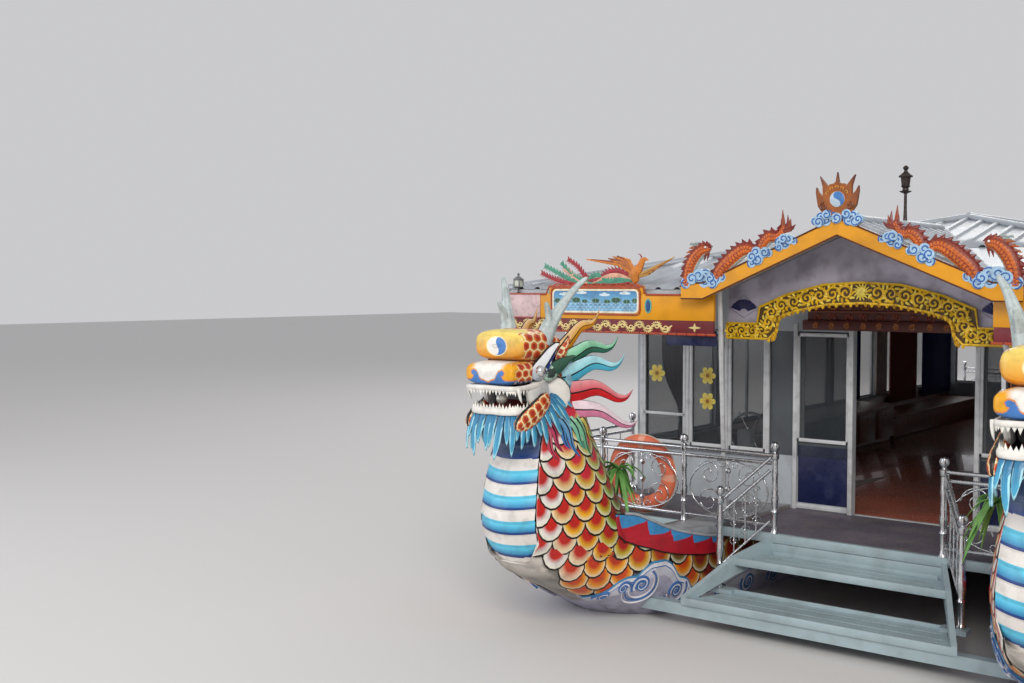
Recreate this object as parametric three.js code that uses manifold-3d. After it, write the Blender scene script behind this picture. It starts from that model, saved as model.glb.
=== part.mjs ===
// Twin-hull dragon boat with a gabled porch, a glazed cabin and boarding steps between two dragons.
// Millimetres, +Z up, bow towards -Y, port towards +X, origin on the waterline amidships.
import * as THREE from 'three';
import { mergeVertices } from 'three/addons/utils/BufferGeometryUtils.js';
import Module from 'manifold-3d';

const wasm = await Module();
wasm.setup();

// Driving dimensions of the whole boat
const GAP = 0.3;
const DECK_ABOVE_WATER = 700;
const BOW_EDGE = -5600;
const DECK_LENGTH = 12600;
const DECK_HALF = 3150;
const DECK_THICK = 60;
const HULL_CENTRE = 2080;
const HULL_LENGTH = 13100;
const KEEL_Z = -1150;
const STERN_BOTTOM = -720;
const FOREDECK_Z = 50;
const CABIN_FRONT = 1380;
const CABIN_REAR = 11460;
const CABIN_HALF = 3050;
const WALL = 60;
const ROOF_FRONT = -240;
const ROOF_REAR = 12750;
const ROOF_HALF = 3600;
const EAVE_Z = 2200;
const RIDGE_Z = 2930;
const ROOF_THICK = 60;
const GABLE_PLANE = -420;
const SIDES = [['s', -1], ['p', 1]];

// Everything is drawn from the middle of the deck's front edge, y aft and z up from the deck's top
const boat = new THREE.Group();
boat.position.set(0, BOW_EDGE, DECK_ABOVE_WATER);

// Geometry helpers
function outward(position, index) {
  let volume = 0;
  const a = new THREE.Vector3();
  const b = new THREE.Vector3();
  const c = new THREE.Vector3();
  for (let i = 0; i < index.length; i += 3) {
    a.fromArray(position, index[i] * 3);
    b.fromArray(position, index[i + 1] * 3);
    c.fromArray(position, index[i + 2] * 3);
    volume += a.dot(b.cross(c));
  }
  if (volume >= 0) return index;
  return [...index].reverse();
}

function closed(position, index) {
  const geometry = new THREE.BufferGeometry();
  geometry.setAttribute('position', new THREE.Float32BufferAttribute(position, 3));
  geometry.setIndex(outward(position, index));
  return geometry;
}

function welded(geometry) {
  const bare = geometry.clone();
  bare.deleteAttribute('normal');
  bare.deleteAttribute('uv');
  const merged = mergeVertices(bare, 1e-3);
  const index = [];
  const all = merged.index.array;
  for (let i = 0; i < all.length; i += 3) {
    const [a, b, c] = [all[i], all[i + 1], all[i + 2]];
    if (a !== b && b !== c && c !== a) index.push(a, b, c);
  }
  return closed([...merged.attributes.position.array], index);
}

function solid(geometry) {
  const g = welded(geometry);
  const mesh = new wasm.Mesh({
    numProp: 3,
    vertProperties: new Float32Array(g.attributes.position.array),
    triVerts: new Uint32Array(g.index.array),
  });
  return new wasm.Manifold(mesh);
}

function geometryOf(manifold) {
  const mesh = manifold.getMesh();
  const geometry = new THREE.BufferGeometry();
  geometry.setAttribute('position', new THREE.Float32BufferAttribute(mesh.vertProperties, 3));
  geometry.setIndex([...mesh.triVerts]);
  return geometry;
}

function joined(...pieces) {
  return geometryOf(pieces.map(solid).reduce((whole, piece) => whole.add(piece)));
}

function cut(body, ...tools) {
  return geometryOf(tools.map(solid).reduce((rest, tool) => rest.subtract(tool), solid(body)));
}

// A cutting tool moved a little each way, so that the piece it cuts keeps clear of it
function withGap(tool) {
  const moves = [[GAP, 0, 0], [-GAP, 0, 0], [0, GAP, 0], [0, -GAP, 0], [0, 0, GAP], [0, 0, -GAP]];
  return moves.map((move) => tool.clone().translate(...move));
}

function common(body, tool) {
  return geometryOf(solid(body).intersect(solid(tool)));
}

function mirrored(geometry) {
  const g = welded(geometry);
  g.scale(-1, 1, 1);
  return closed([...g.attributes.position.array], [...g.index.array]);
}

function box(x0, x1, y0, y1, z0, z1) {
  const geometry = new THREE.BoxGeometry(x1 - x0, y1 - y0, z1 - z0);
  return geometry.translate((x0 + x1) / 2, (y0 + y1) / 2, (z0 + z1) / 2);
}

// A closed body through rings of points, each ring a list of [x, y, z]
function loft(rings) {
  const count = rings[0].length;
  const position = rings.flat(2);
  const index = [];
  for (let r = 0; r + 1 < rings.length; r += 1) {
    for (let i = 0; i < count; i += 1) {
      const j = (i + 1) % count;
      const [a, b, c, d] = [r * count + i, r * count + j, (r + 1) * count + i, (r + 1) * count + j];
      index.push(a, b, d, a, d, c);
    }
  }
  const last = (rings.length - 1) * count;
  for (let i = 1; i + 1 < count; i += 1) {
    index.push(0, i + 1, i, last, last + i, last + i + 1);
  }
  return closed(position, index);
}

// A plate standing across the boat: outline and holes in x and z, from y0 to y1
function plate(outline, y0, y1, holes = []) {
  const shape = new THREE.Shape(outline.map(([x, z]) => new THREE.Vector2(x, z)));
  const geometry = new THREE.ExtrudeGeometry(shape, { depth: y1 - y0, bevelEnabled: false });
  geometry.rotateX(Math.PI / 2).translate(0, y1, 0);
  if (holes.length === 0) return geometry;
  return cut(geometry, ...holes.map((hole) => plate(hole, y0 - 10, y1 + 10)));
}

// A plate standing along the boat: outline and holes in y and z, from x0 to x1
function sidePlate(outline, x0, x1, holes = []) {
  return plate(outline, -x1, -x0, holes).rotateZ(Math.PI / 2);
}

function rectangle(a0, a1, b0, b1) {
  return [[a0, b0], [a1, b0], [a1, b1], [a0, b1]];
}

// A round bar through points [x, y, z]
function bar(points, radius, sides = 6, steps = points.length - 1) {
  const corners = points.map((p) => new THREE.Vector3(...p));
  const straight = new THREE.CurvePath();
  for (let i = 0; i + 1 < corners.length; i += 1) {
    straight.add(new THREE.LineCurve3(corners[i], corners[i + 1]));
  }
  const path = steps > points.length - 1 ? new THREE.CatmullRomCurve3(corners) : straight;
  const section = new THREE.Shape();
  for (let i = 0; i < sides; i += 1) {
    const angle = (i + 0.5) / sides * 2 * Math.PI;
    const point = [radius * Math.cos(angle), radius * Math.sin(angle)];
    if (i === 0) section.moveTo(...point);
    else section.lineTo(...point);
  }
  section.closePath();
  return new THREE.ExtrudeGeometry(section, { steps, extrudePath: path, bevelEnabled: false });
}

// A turned piece standing on z, its profile a list of [radius, z] that starts and ends on the axis
function turned(profile, sides = 10) {
  const points = profile.map(([r, z]) => new THREE.Vector2(r, z));
  return new THREE.LatheGeometry(points, sides).rotateX(Math.PI / 2);
}

// A limb that tapers along points [x, y, z, half width, half height]
function limb(points, sides = 6) {
  const rings = points.map(([x, y, z, wide, high], i) => {
    const before = new THREE.Vector3(...points[Math.max(i - 1, 0)].slice(0, 3));
    const after = new THREE.Vector3(...points[Math.min(i + 1, points.length - 1)].slice(0, 3));
    const along = after.sub(before).normalize();
    const across = new THREE.Vector3(1, 0, 0);
    if (Math.abs(along.x) > 0.9) across.set(0, 1, 0);
    across.addScaledVector(along, -across.dot(along)).normalize();
    const normal = new THREE.Vector3().crossVectors(along, across);
    const ring = [];
    for (let k = 0; k < sides; k += 1) {
      const angle = (k + 0.5) / sides * 2 * Math.PI;
      const u = wide * Math.cos(angle);
      const v = high * Math.sin(angle);
      ring.push([
        x + across.x * u + normal.x * v,
        y + across.y * u + normal.y * v,
        z + across.z * u + normal.z * v,
      ]);
    }
    return ring;
  });
  return loft(rings);
}

const finishes = {
  hull: ['#c9b7c4', 0.6, 0.0],
  neck: ['#d9a21f', 0.5, 0.0],
  head: ['#e2a21c', 0.45, 0.0],
  jaw: ['#bfe3e8', 0.5, 0.0],
  mane: ['#57bcd0', 0.5, 0.0],
  deck: ['#6f6763', 0.7, 0.0],
  steps: ['#b4cfd2', 0.55, 0.2],
  rail: ['#c4c8cc', 0.25, 1.0],
  buoy: ['#d9805c', 0.6, 0.0],
  wall: ['#c8ced4', 0.5, 0.0],
  glass: ['#58636b', 0.08, 0.0],
  roof: ['#d5dde0', 0.5, 0.3],
  yellow: ['#e8a61c', 0.5, 0.0],
  board: ['#8d8698', 0.6, 0.0],
  gold: ['#e6c93a', 0.4, 0.2],
  carving: ['#c4651f', 0.55, 0.0],
  bronze: ['#9a7440', 0.35, 1.0],
  engine: ['#4c5357', 0.6, 0.4],
};
const materials = {};
for (const [name, [color, roughness, metalness]] of Object.entries(finishes)) {
  materials[name] = new THREE.MeshStandardMaterial({ name, color, roughness, metalness });
}

function add(name, geometry, material, x = 0, y = 0, z = 0) {
  const mesh = new THREE.Mesh(geometry, materials[material]);
  mesh.name = name;
  mesh.position.set(x, y, z);
  boat.add(mesh);
}

// Hull: stations [y, half breadth, keel z, deadrise 0 round to 1 sharp], drawn about its own middle
const HULL_STATIONS = [
  [-2100, 230, -30, 0.2],
  [-1930, 290, -190, 0.2],
  [-1600, 400, -350, 0.2],
  [-1280, 500, -510, 0.2],
  [-890, 660, -720, 0.2],
  [-300, 780, -1000, 0.2],
  [400, 880, -1130, 0.2],
  [1800, 1010, KEEL_Z, 0.1],
  [4000, 1095, KEEL_Z, 0],
  [10200, 1095, KEEL_Z, 0],
  [11500, 1050, -1120, 0.1],
  [12000, 1010, STERN_BOTTOM, 0],
  [HULL_LENGTH, 880, STERN_BOTTOM, 0],
];
const ROUND_SECTION = [[0, 0], [0.52, 0.04], [0.84, 0.16], [0.97, 0.45], [1, 1]];
const SHARP_SECTION = [[0, 0], [0.36, 0.22], [0.64, 0.46], [0.86, 0.73], [1, 1]];

function hullRing([y, half, keel, sharp]) {
  const side = ROUND_SECTION.map(([u, v], i) => {
    const x = THREE.MathUtils.lerp(u, SHARP_SECTION[i][0], sharp) * half;
    const z = THREE.MathUtils.lerp(v, SHARP_SECTION[i][1], sharp) * (FOREDECK_Z - keel) + keel;
    return [x, y, z];
  });
  const other = side.slice(1).reverse().map(([x, , z]) => [-x, y, z]);
  return [...side, ...other];
}

// Neck: level sections [z, front y, back y, belly half width, flank half width]
const NECK_SECTIONS = [
  [-50, -2060, -450, 245, 540],
  [100, -2150, -600, 272, 520],
  [300, -2200, -780, 280, 480],
  [600, -2150, -970, 270, 420],
  [900, -2060, -1140, 242, 350],
  [1150, -1960, -1270, 235, 300],
  [1330, -1880, -1380, 235, 260],
];
const NECK_OUTLINE = [[0, 0.62], [0.06, 1], [0.3, 0.84], [0.58, 1], [0.82, 0.86], [1, 0.3]];

function neckRing([z, front, back, belly, flank]) {
  const widths = [belly * 0.62, belly, THREE.MathUtils.lerp(belly, flank, 0.6), flank, flank * 0.8, flank * 0.3];
  const side = NECK_OUTLINE.map(([t], i) => [widths[i], THREE.MathUtils.lerp(front, back, t), z]);
  const other = [...side].reverse().map(([x, y]) => [-x, y, z]);
  return [...side, ...other];
}

const WELL_Y = [9400, 10700];
const WELL_HALF = 360;
const WELL_Z = -950;
const SHAFT_Z = -950;
const SHAFT_BOSS_END = 12150;
const neckWhole = loft(NECK_SECTIONS.map(neckRing));
const farBox = 9000;

function hullShape() {
  const body = loft(HULL_STATIONS.map(hullRing));
  const boss = bar([[0, 11400, SHAFT_Z], [0, SHAFT_BOSS_END, SHAFT_Z]], 60, 8);
  const whole = joined(body, neckWhole, boss);
  return cut(
    whole,
    box(-farBox, farBox, -farBox, 0, FOREDECK_Z, farBox),
    box(-farBox, farBox, -0.5, HULL_LENGTH + farBox, -DECK_THICK - GAP, farBox),
    box(-WELL_HALF, WELL_HALF, ...WELL_Y, WELL_Z, farBox),
  );
}

function neckShape() {
  return common(neckWhole, box(-farBox, farBox, -farBox, -1, FOREDECK_Z + GAP, farBox));
}

const hull = hullShape();
const neck = neckShape();

// Dragon's head: brow roll, snout, skull, two branched horns and two bulging eyes
const NECK_TOP = 1330;
const BROW_ROLL = [
  [0, -2270, 1700, 210, 45], [0, -2240, 1755, 240, 110], [0, -2120, 1760, 250, 125],
  [0, -1900, 1755, 250, 120], [0, -1700, 1700, 225, 110], [0, -1600, 1640, 190, 80],
];
const SNOUT_ROLL = [
  [0, -2390, 1530, 205, 40], [0, -2360, 1525, 240, 84], [0, -2200, 1535, 250, 96],
  [0, -1950, 1540, 240, 100], [0, -1750, 1540, 225, 100],
];
const SKULL = [
  [0, -1860, 1510, 215, 120], [0, -1740, 1500, 240, 165], [0, -1560, 1500, 235, 168], [0, -1440, 1510, 190, 130],
];
const HORN = [
  [190, -1880, 1800, 62, 62], [235, -1840, 1930, 48, 48], [290, -1780, 2070, 36, 36],
  [360, -1710, 2200, 24, 24], [440, -1640, 2300, 6, 6],
];
const HORN_BRANCH = [[230, -1840, 1920, 30, 30], [235, -1890, 2010, 22, 22], [250, -1940, 2100, 5, 5]];
const EYE = [225, -1830, 1620, 52];

function headShape() {
  const [x, y, z, radius] = EYE;
  const eye = new THREE.SphereGeometry(radius, 8, 6).translate(x, y, z);
  const oneSide = joined(limb(HORN, 6), limb(HORN_BRANCH, 4), eye);
  const head = joined(limb(BROW_ROLL, 8), limb(SNOUT_ROLL, 8), limb(SKULL, 8), oneSide, mirrored(oneSide));
  return cut(head, box(-farBox, farBox, -farBox, farBox, 0, NECK_TOP + GAP));
}

// Lower jaw with the pearl in the mouth and the beard hung below the chin
const JAW_ROLL = [
  [0, -2340, 1275, 190, 30], [0, -2310, 1270, 225, 55], [0, -2100, 1265, 235, 60], [0, -1840, 1290, 235, 60],
];
const PEARL = [0, -2210, 1355, 45];
const BEARD_FRONT = [[-235, 1290], [-225, 960], [-180, 1060], [-130, 900], [-70, 1040], [0, 905]];
const BEARD_DEPTH = [-2330, -2250];
const BEARD_SIDE = [[-2330, 1290], [-2300, 930], [-2220, 1060], [-2130, 960], [-2040, 1100], [-1950, 1040], [-1900, 1290]];

function jawShape() {
  const [x, y, z, radius] = PEARL;
  const pearl = new THREE.SphereGeometry(radius, 8, 6).translate(x, y, z);
  const other = [...BEARD_FRONT].reverse().slice(1).map(([u, v]) => [-u, v]);
  const front = plate([...BEARD_FRONT, ...other], ...BEARD_DEPTH);
  const side = sidePlate(BEARD_SIDE, 190, 240);
  return cut(joined(limb(JAW_ROLL, 10), pearl, front, side, mirrored(side)), ...withGap(neck), skullRoom());
}

function skullRoom() {
  return box(-farBox, farBox, -1860, farBox, NECK_TOP, farBox);
}

// Mane: flames [root z, tip z, reach aft, spread outward, half height], on a collar behind the cheeks
const FLAMES = [
  [1730, 2040, 340, 110, 52],
  [1650, 1800, 480, 210, 52],
  [1550, 1650, 520, 250, 56],
  [1430, 1350, 590, 290, 56],
  [1310, 1060, 660, 300, 52],
];
const FLAME_WAVE = [[0, 0, 1], [0.22, 0.35, 1.05], [0.45, -0.1, 0.85], [0.68, -0.55, 0.62], [0.86, 0.1, 0.35], [1, 0.9, 0.08]];
const COLLAR = [[-1640, 1240], [-1530, 1240], [-1525, 1745], [-1640, 1760]];
const FLAME_ROOT = [235, -1630];
const FLAME_THICK = 26;

function flame([rootZ, tipZ, reach, spread, half]) {
  return limb(FLAME_WAVE.map(([t, wave, size]) => [
    FLAME_ROOT[0] + spread * t,
    FLAME_ROOT[1] + reach * t,
    THREE.MathUtils.lerp(rootZ, tipZ, t) + wave * half,
    FLAME_THICK * Math.max(size, 0.3),
    half * size,
  ]), 4);
}

function maneShape(head) {
  const collar = joined(
    sidePlate(COLLAR, 205, 285),
    box(-280, 280, -1590, -1530, 1685, 1740),
    mirrored(sidePlate(COLLAR, 205, 285)),
  );
  const flames = FLAMES.map(flame);
  const all = joined(collar, ...flames, ...flames.map(mirrored));
  return cut(all, ...withGap(head), ...withGap(neck));
}

// Tail: a scaled limb that rises from the stern and ends in a flame
const TAIL = [
  [0, 12860, -200, 420, 190], [0, 12960, 60, 330, 180], [0, 13090, 300, 240, 160], [0, 13230, 520, 170, 130],
  [0, 13300, 760, 120, 100], [0, 13270, 980, 80, 80], [0, 13180, 1140, 50, 60],
];
const TAIL_FLAME = [[13180, 1040], [13330, 1180], [13600, 1250], [13430, 1360], [13560, 1560], [13300, 1450], [13120, 1600], [13090, 1330], [12960, 1300], [13100, 1180]];

function tailShape() {
  const whole = joined(limb(TAIL, 8), sidePlate(TAIL_FLAME, -30, 30));
  return cut(whole, hull.clone().translate(0, 0, GAP), box(-farBox, farBox, 0, farBox * 2, -farBox, -DECK_THICK));
}

const head = headShape();
const jaw = jawShape();
const mane = maneShape(head);
const tail = tailShape();

// Drive under each stern: shaft stub, hub and three blades, a rudder on a stock, and the engine block
const PROPELLER_Y = 12330;
const PROPELLER_RADIUS = 185;
const BLADES = 3;

function propellerShape() {
  const hub = turned([[0, -175], [28, -175], [34, -50], [52, -40], [50, 40], [20, 80], [0, 80]], 10).rotateX(-Math.PI / 2);
  const blades = [];
  for (let i = 0; i < BLADES; i += 1) {
    const blade = limb([[0, 0, 30, 26, 10], [0, 0, 90, 62, 8], [0, 0, 150, 58, 6], [0, 0, PROPELLER_RADIUS, 20, 4]], 8);
    blades.push(blade.rotateZ(0.6).rotateY(i / BLADES * 2 * Math.PI));
  }
  return joined(hub, ...blades);
}

const RUDDER_AXIS_Y = 12760;
const RUDDER_TOP = -765;
const RUDDER_FOOT = -1140;
const RUDDER_STOCK = 26;

function rudderShape() {
  const section = (z, lead, trail) => [
    [0, lead, z], [24, lead + 60, z], [20, lead + 150, z], [5, trail, z], [-5, trail, z], [-20, lead + 150, z], [-24, lead + 60, z],
  ];
  const blade = loft([section(RUDDER_FOOT, -70, 250), section(RUDDER_TOP, -90, 290)]);
  return joined(blade, bar([[0, 0, RUDDER_TOP - 60], [0, 0, STERN_BOTTOM - GAP]], RUDDER_STOCK, 8));
}

const ENGINE_SIZE = [560, 980, 560];
const propeller = propellerShape();
const rudder = rudderShape();
for (const [side, sign] of SIDES) {
  const x = sign * HULL_CENTRE;
  add(`hull_${side}`, hull, 'hull', x);
  add(`dragon_neck_${side}`, neck, 'neck', x);
  add(`dragon_head_${side}`, head, 'head', x);
  add(`dragon_jaw_${side}`, jaw, 'jaw', x);
  add(`dragon_mane_${side}`, mane, 'mane', x);
  add(`dragon_tail_${side}`, tail, 'neck', x);
  add(`propeller_${side}`, propeller, 'bronze', x, PROPELLER_Y, SHAFT_Z);
  add(`rudder_${side}`, rudder, 'hull', x, RUDDER_AXIS_Y, 0);
  const block = box(-ENGINE_SIZE[0] / 2, ENGINE_SIZE[0] / 2, 0, ENGINE_SIZE[1], 0, ENGINE_SIZE[2]);
  add(`engine_${side}`, block, 'engine', x, WELL_Y[0] + 150, WELL_Z + GAP);
}

// Deck with two beams under it between the hulls, and the low beam under the steps
const BEAM_HALF = 960;
const BEAM_YS = [3900, 8900];
const BEAM_SIZE = [140, 160];
const deckPieces = [box(-DECK_HALF, DECK_HALF, 0, DECK_LENGTH, -DECK_THICK, 0)];
for (const y of BEAM_YS) {
  deckPieces.push(box(-BEAM_HALF, BEAM_HALF, y, y + BEAM_SIZE[0], -DECK_THICK - BEAM_SIZE[1], -DECK_THICK + 5));
}
add('deck', joined(...deckPieces), 'deck');
const LOW_BEAM = { y: -860, depth: 100, top: -500, high: 100 };
const hullSides = SIDES.map(([, sign]) => hull.clone().translate(sign * (HULL_CENTRE - 0.5), 0, 0));
const lowBeam = box(-HULL_CENTRE, HULL_CENTRE, LOW_BEAM.y, LOW_BEAM.y + LOW_BEAM.depth, LOW_BEAM.top - LOW_BEAM.high, LOW_BEAM.top);
add('crossbeam_bow', cut(lowBeam, ...hullSides), 'steps');

// Boarding steps: two treads between stringers that spread outward as they go down
const STEP_HALF = 750;
const STEP_SPREAD = 0.43;
const TREADS = [[-380, -5, -160], [-870, -400, -450]];
const TREAD_THICK = 40;
const STRINGER = [[-2, -20], [-380, -140], [-880, -430], [-880, -499.5], [-380, -300], [-2, -190]];
const STRINGER_THICK = 45;
const NEWEL = { x: 1050, y: -420, base: -420, top: 430 };

function spread(geometry, sign) {
  const position = geometry.attributes.position;
  for (let i = 0; i < position.count; i += 1) {
    position.setX(i, position.getX(i) - sign * STEP_SPREAD * position.getY(i));
  }
  return geometry;
}

function stepsShape() {
  const pieces = [];
  for (const [front, back, top] of TREADS) {
    const half = (y) => STEP_HALF - STEP_SPREAD * y + 5;
    const ring = (z) => [[-half(front), front, z], [half(front), front, z], [half(back), back, z], [-half(back), back, z]];
    pieces.push(loft([ring(top - TREAD_THICK), ring(top)]));
  }
  for (const [, sign] of SIDES) {
    const x = [sign * STEP_HALF, sign * (STEP_HALF + STRINGER_THICK)].sort((a, b) => a - b);
    pieces.push(spread(sidePlate(STRINGER, ...x), sign));
    const pad = [sign * 900, sign * (NEWEL.x + 60)].sort((a, b) => a - b);
    pieces.push(box(...pad, NEWEL.y - 60, NEWEL.y + 60, NEWEL.base - 40, NEWEL.base));
  }
  return joined(...pieces);
}

add('boarding_steps', stepsShape(), 'steps');

// Railings: turned posts with ball tops, two top rails, a foot rail and scrolled bars between them
const RAIL = { high: 720, second: 650, low: 90, radius: 16, y: 35 };
const POST = [[0, 0], [34, 0], [34, 30], [22, 45], [22, 740], [32, 770], [0, 820]];
const FRONT_POSTS = [-750, -1680, -2600, -3095];

function post(x, y, z = GAP, lift = 0) {
  const profile = POST.map(([r, h]) => [r, h > 50 ? h + lift : h]);
  return turned(profile, 6).translate(x, y, z);
}

function scrolls(x0, x1, y) {
  const pieces = [];
  const middle = (x0 + x1) / 2;
  const reach = (x1 - x0) / 2;
  for (const turn of [-1, 1]) {
    pieces.push(bar([
      [middle, y, RAIL.second], [middle + turn * reach * 0.5, y, RAIL.second - 130], [middle + turn * reach * 0.75, y, 370],
      [middle + turn * reach * 0.5, y, RAIL.low + 130], [middle, y, RAIL.low],
    ], 8, 4, 6));
  }
  pieces.push(bar([[middle, y, RAIL.low - 10], [middle, y, RAIL.second + 10]], 9, 4));
  return pieces;
}

function frontRailing() {
  const pieces = FRONT_POSTS.map((x) => post(x, RAIL.y));
  const ends = [FRONT_POSTS[FRONT_POSTS.length - 1], FRONT_POSTS[0]];
  for (const z of [RAIL.high, RAIL.second, RAIL.low]) {
    pieces.push(bar([[ends[0], RAIL.y, z], [ends[1], RAIL.y, z]], RAIL.radius));
  }
  for (let i = 0; i + 1 < FRONT_POSTS.length; i += 1) {
    pieces.push(...scrolls(FRONT_POSTS[i + 1], FRONT_POSTS[i], RAIL.y));
  }
  return joined(...pieces);
}

const SIDE_RAIL_X = -3095;
const COLUMN_TOP = 2195;
const COLUMN_RADIUS = 28;

function sideRailing() {
  const [y0, y1] = [RAIL.y + 60, CABIN_FRONT - 40];
  const pieces = [bar([[SIDE_RAIL_X, y0 + 20, GAP], [SIDE_RAIL_X, y0 + 20, COLUMN_TOP]], COLUMN_RADIUS, 8), post(SIDE_RAIL_X, y1)];
  for (const z of [RAIL.high, RAIL.second, RAIL.low]) {
    pieces.push(bar([[SIDE_RAIL_X, y0 + 20, z], [SIDE_RAIL_X, y1, z]], RAIL.radius));
  }
  pieces.push(bar([[SIDE_RAIL_X, (y0 + y1) / 2, RAIL.low], [SIDE_RAIL_X, (y0 + y1) / 2, RAIL.high]], 9));
  return joined(...pieces);
}

function stepHandrail() {
  const high = NEWEL.top - NEWEL.base - 820;
  const newel = post(-NEWEL.x, NEWEL.y, NEWEL.base + GAP, high);
  const pieces = [newel];
  const end = [-STEP_HALF - 24, RAIL.y - 20];
  for (const drop of [0, 110]) {
    pieces.push(bar([
      [-NEWEL.x, NEWEL.y, NEWEL.top - 90 - drop], [end[0], end[1], RAIL.high - 20 - drop],
    ], 14));
  }
  pieces.push(bar([[-NEWEL.x, NEWEL.y, -230], [end[0], end[1], 130]], 10));
  const middle = [(-NEWEL.x + end[0]) / 2, (NEWEL.y + end[1]) / 2];
  pieces.push(bar([[...middle, -50], [...middle, 500]], 9));
  return cut(joined(...pieces), post(FRONT_POSTS[0], RAIL.y).scale(1, 1, 1.001).translate(-0.5, 0, 0));
}

function sternRailing() {
  const y = DECK_LENGTH - 45;
  const posts = [-3095, -2000, -1000, 0, 1000, 2000, 3095];
  const pieces = posts.map((x) => post(x, y));
  for (const z of [RAIL.high, RAIL.second, RAIL.low]) {
    pieces.push(bar([[posts[0], y, z], [posts[posts.length - 1], y, z]], RAIL.radius));
  }
  return joined(...pieces);
}

const handed = [
  ['bow_railing', frontRailing(), 'rail'],
  ['side_railing', sideRailing(), 'rail'],
  ['step_handrail', stepHandrail(), 'rail'],
];
add('stern_railing', sternRailing(), 'rail');

const BUOY = { x: -2190, z: 410, ring: 300, wide: 80, thick: 50 };
const buoyProfile = [];
for (let i = 0; i <= 8; i += 1) {
  const angle = i / 8 * 2 * Math.PI;
  buoyProfile.push([BUOY.ring + BUOY.wide * Math.cos(angle), BUOY.thick * Math.sin(angle)]);
}
const buoyY = RAIL.y + RAIL.radius + BUOY.thick + 12;
add('lifebuoy', turned(buoyProfile, 24).rotateX(Math.PI / 2), 'buoy', BUOY.x, buoyY, BUOY.z);

// Cabin walls, with their windows and doorways cut through
const DOOR_HALF = 580;
const DOOR_HIGH = 1820;
const SIDE_PANEL = [620, 1160];
const SILL = 550;
const MID_RAIL = 690;
const HEAD_Z = 1760;
const WINDOWS_X = [[1500, 1920], [1980, 2380], [2440, 2960]];
const WALL_TOP = 2250;
const FRONT_WALL_TOP = 2500;
const REAR_WALL_TOP = 2430;

// A wall across the cabin whose top follows the roof's side slopes up to a level line
function crossWall(top, y0, y1, holes) {
  const slope = (RIDGE_Z - EAVE_Z) / ROOF_HALF;
  const levelHalf = CABIN_HALF - (top - WALL_TOP) / slope;
  const half = [[CABIN_HALF, GAP], [CABIN_HALF, WALL_TOP], [levelHalf, top]];
  return plate([...half, ...[...half].reverse().map(([x, z]) => [-x, z])], y0, y1, holes);
}

function frontWall() {
  const holes = [rectangle(-DOOR_HALF, DOOR_HALF, -10, DOOR_HIGH)];
  for (const [, sign] of SIDES) {
    const spans = [[...SIDE_PANEL, MID_RAIL], ...WINDOWS_X.map((span) => [...span, SILL])];
    for (const [a, b, low] of spans) {
      const [x0, x1] = [sign * a, sign * b].sort((p, q) => p - q);
      holes.push(rectangle(x0, x1, low, HEAD_Z));
    }
  }
  return crossWall(FRONT_WALL_TOP, CABIN_FRONT, CABIN_FRONT + WALL, holes);
}

const REAR_DOOR = { half: 450, high: 1820 };

function rearWall() {
  const holes = [rectangle(-REAR_DOOR.half, REAR_DOOR.half, -10, REAR_DOOR.high)];
  for (const [, sign] of SIDES) {
    for (const [a, b] of [[700, 1650], [1750, 2900]]) {
      const [x0, x1] = [sign * a, sign * b].sort((p, q) => p - q);
      holes.push(rectangle(x0, x1, SILL, HEAD_Z));
    }
  }
  return crossWall(REAR_WALL_TOP, CABIN_REAR - WALL, CABIN_REAR, holes);
}

const SIDE_WINDOWS = 6;

function sideWall() {
  const [y0, y1] = [CABIN_FRONT + WALL + GAP, CABIN_REAR - WALL - GAP];
  const pitch = (y1 - y0) / SIDE_WINDOWS;
  const holes = [];
  for (let i = 0; i < SIDE_WINDOWS; i += 1) {
    holes.push(rectangle(y0 + i * pitch + 70, y0 + (i + 1) * pitch - 70, SILL, HEAD_Z));
  }
  return sidePlate(rectangle(y0, y1, GAP, WALL_TOP), -CABIN_HALF, -CABIN_HALF + WALL, holes);
}

add('wall_front', frontWall(), 'wall');
add('wall_rear', rearWall(), 'wall');
const GLASS = 8;
const glassZ = [SILL - 20, HEAD_Z + 20];
const sideGlassX = -CABIN_HALF + WALL + GAP;
const frontGlass = box(-2985, -605, CABIN_FRONT - GAP - GLASS, CABIN_FRONT - GAP, ...glassZ);
const sideGlass = box(sideGlassX, sideGlassX + GLASS, CABIN_FRONT + 120, CABIN_REAR - 120, ...glassZ);
handed.push(['wall_side', sideWall(), 'wall'], ['glass_front', frontGlass, 'glass'], ['glass_side', sideGlass, 'glass']);

// Sliding leaves of the bow doorway, parked behind the fixed side panels, and the hinged stern door
const LEAF = { x: [600, 1180], y: [CABIN_FRONT + WALL + 8, CABIN_FRONT + WALL + 38], z: [8, 1845] };

// A door with its pane set into the middle of the frame
function glazedDoor(outline, opening, y0, y1) {
  const middle = (y0 + y1) / 2;
  const pane = plate(opening, middle - GLASS / 2, middle + GLASS / 2);
  return joined(plate(outline, y0, y1, [opening]), pane);
}

const leafOpening = rectangle(-LEAF.x[1] + 50, -LEAF.x[0] - 50, MID_RAIL, HEAD_Z);
const leafOutline = rectangle(-LEAF.x[1], -LEAF.x[0], ...LEAF.z);
handed.push(['door_leaf', glazedDoor(leafOutline, leafOpening, ...LEAF.y), 'wall']);
const rearOpening = rectangle(-REAR_DOOR.half + 110, REAR_DOOR.half - 110, MID_RAIL, HEAD_Z - 80);
const rearDoorOutline = rectangle(-REAR_DOOR.half + 6, REAR_DOOR.half - 6, 8, REAR_DOOR.high - 6);
add('rear_door', glazedDoor(rearDoorOutline, rearOpening, CABIN_REAR - 45, CABIN_REAR - 5), 'wall');

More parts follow.
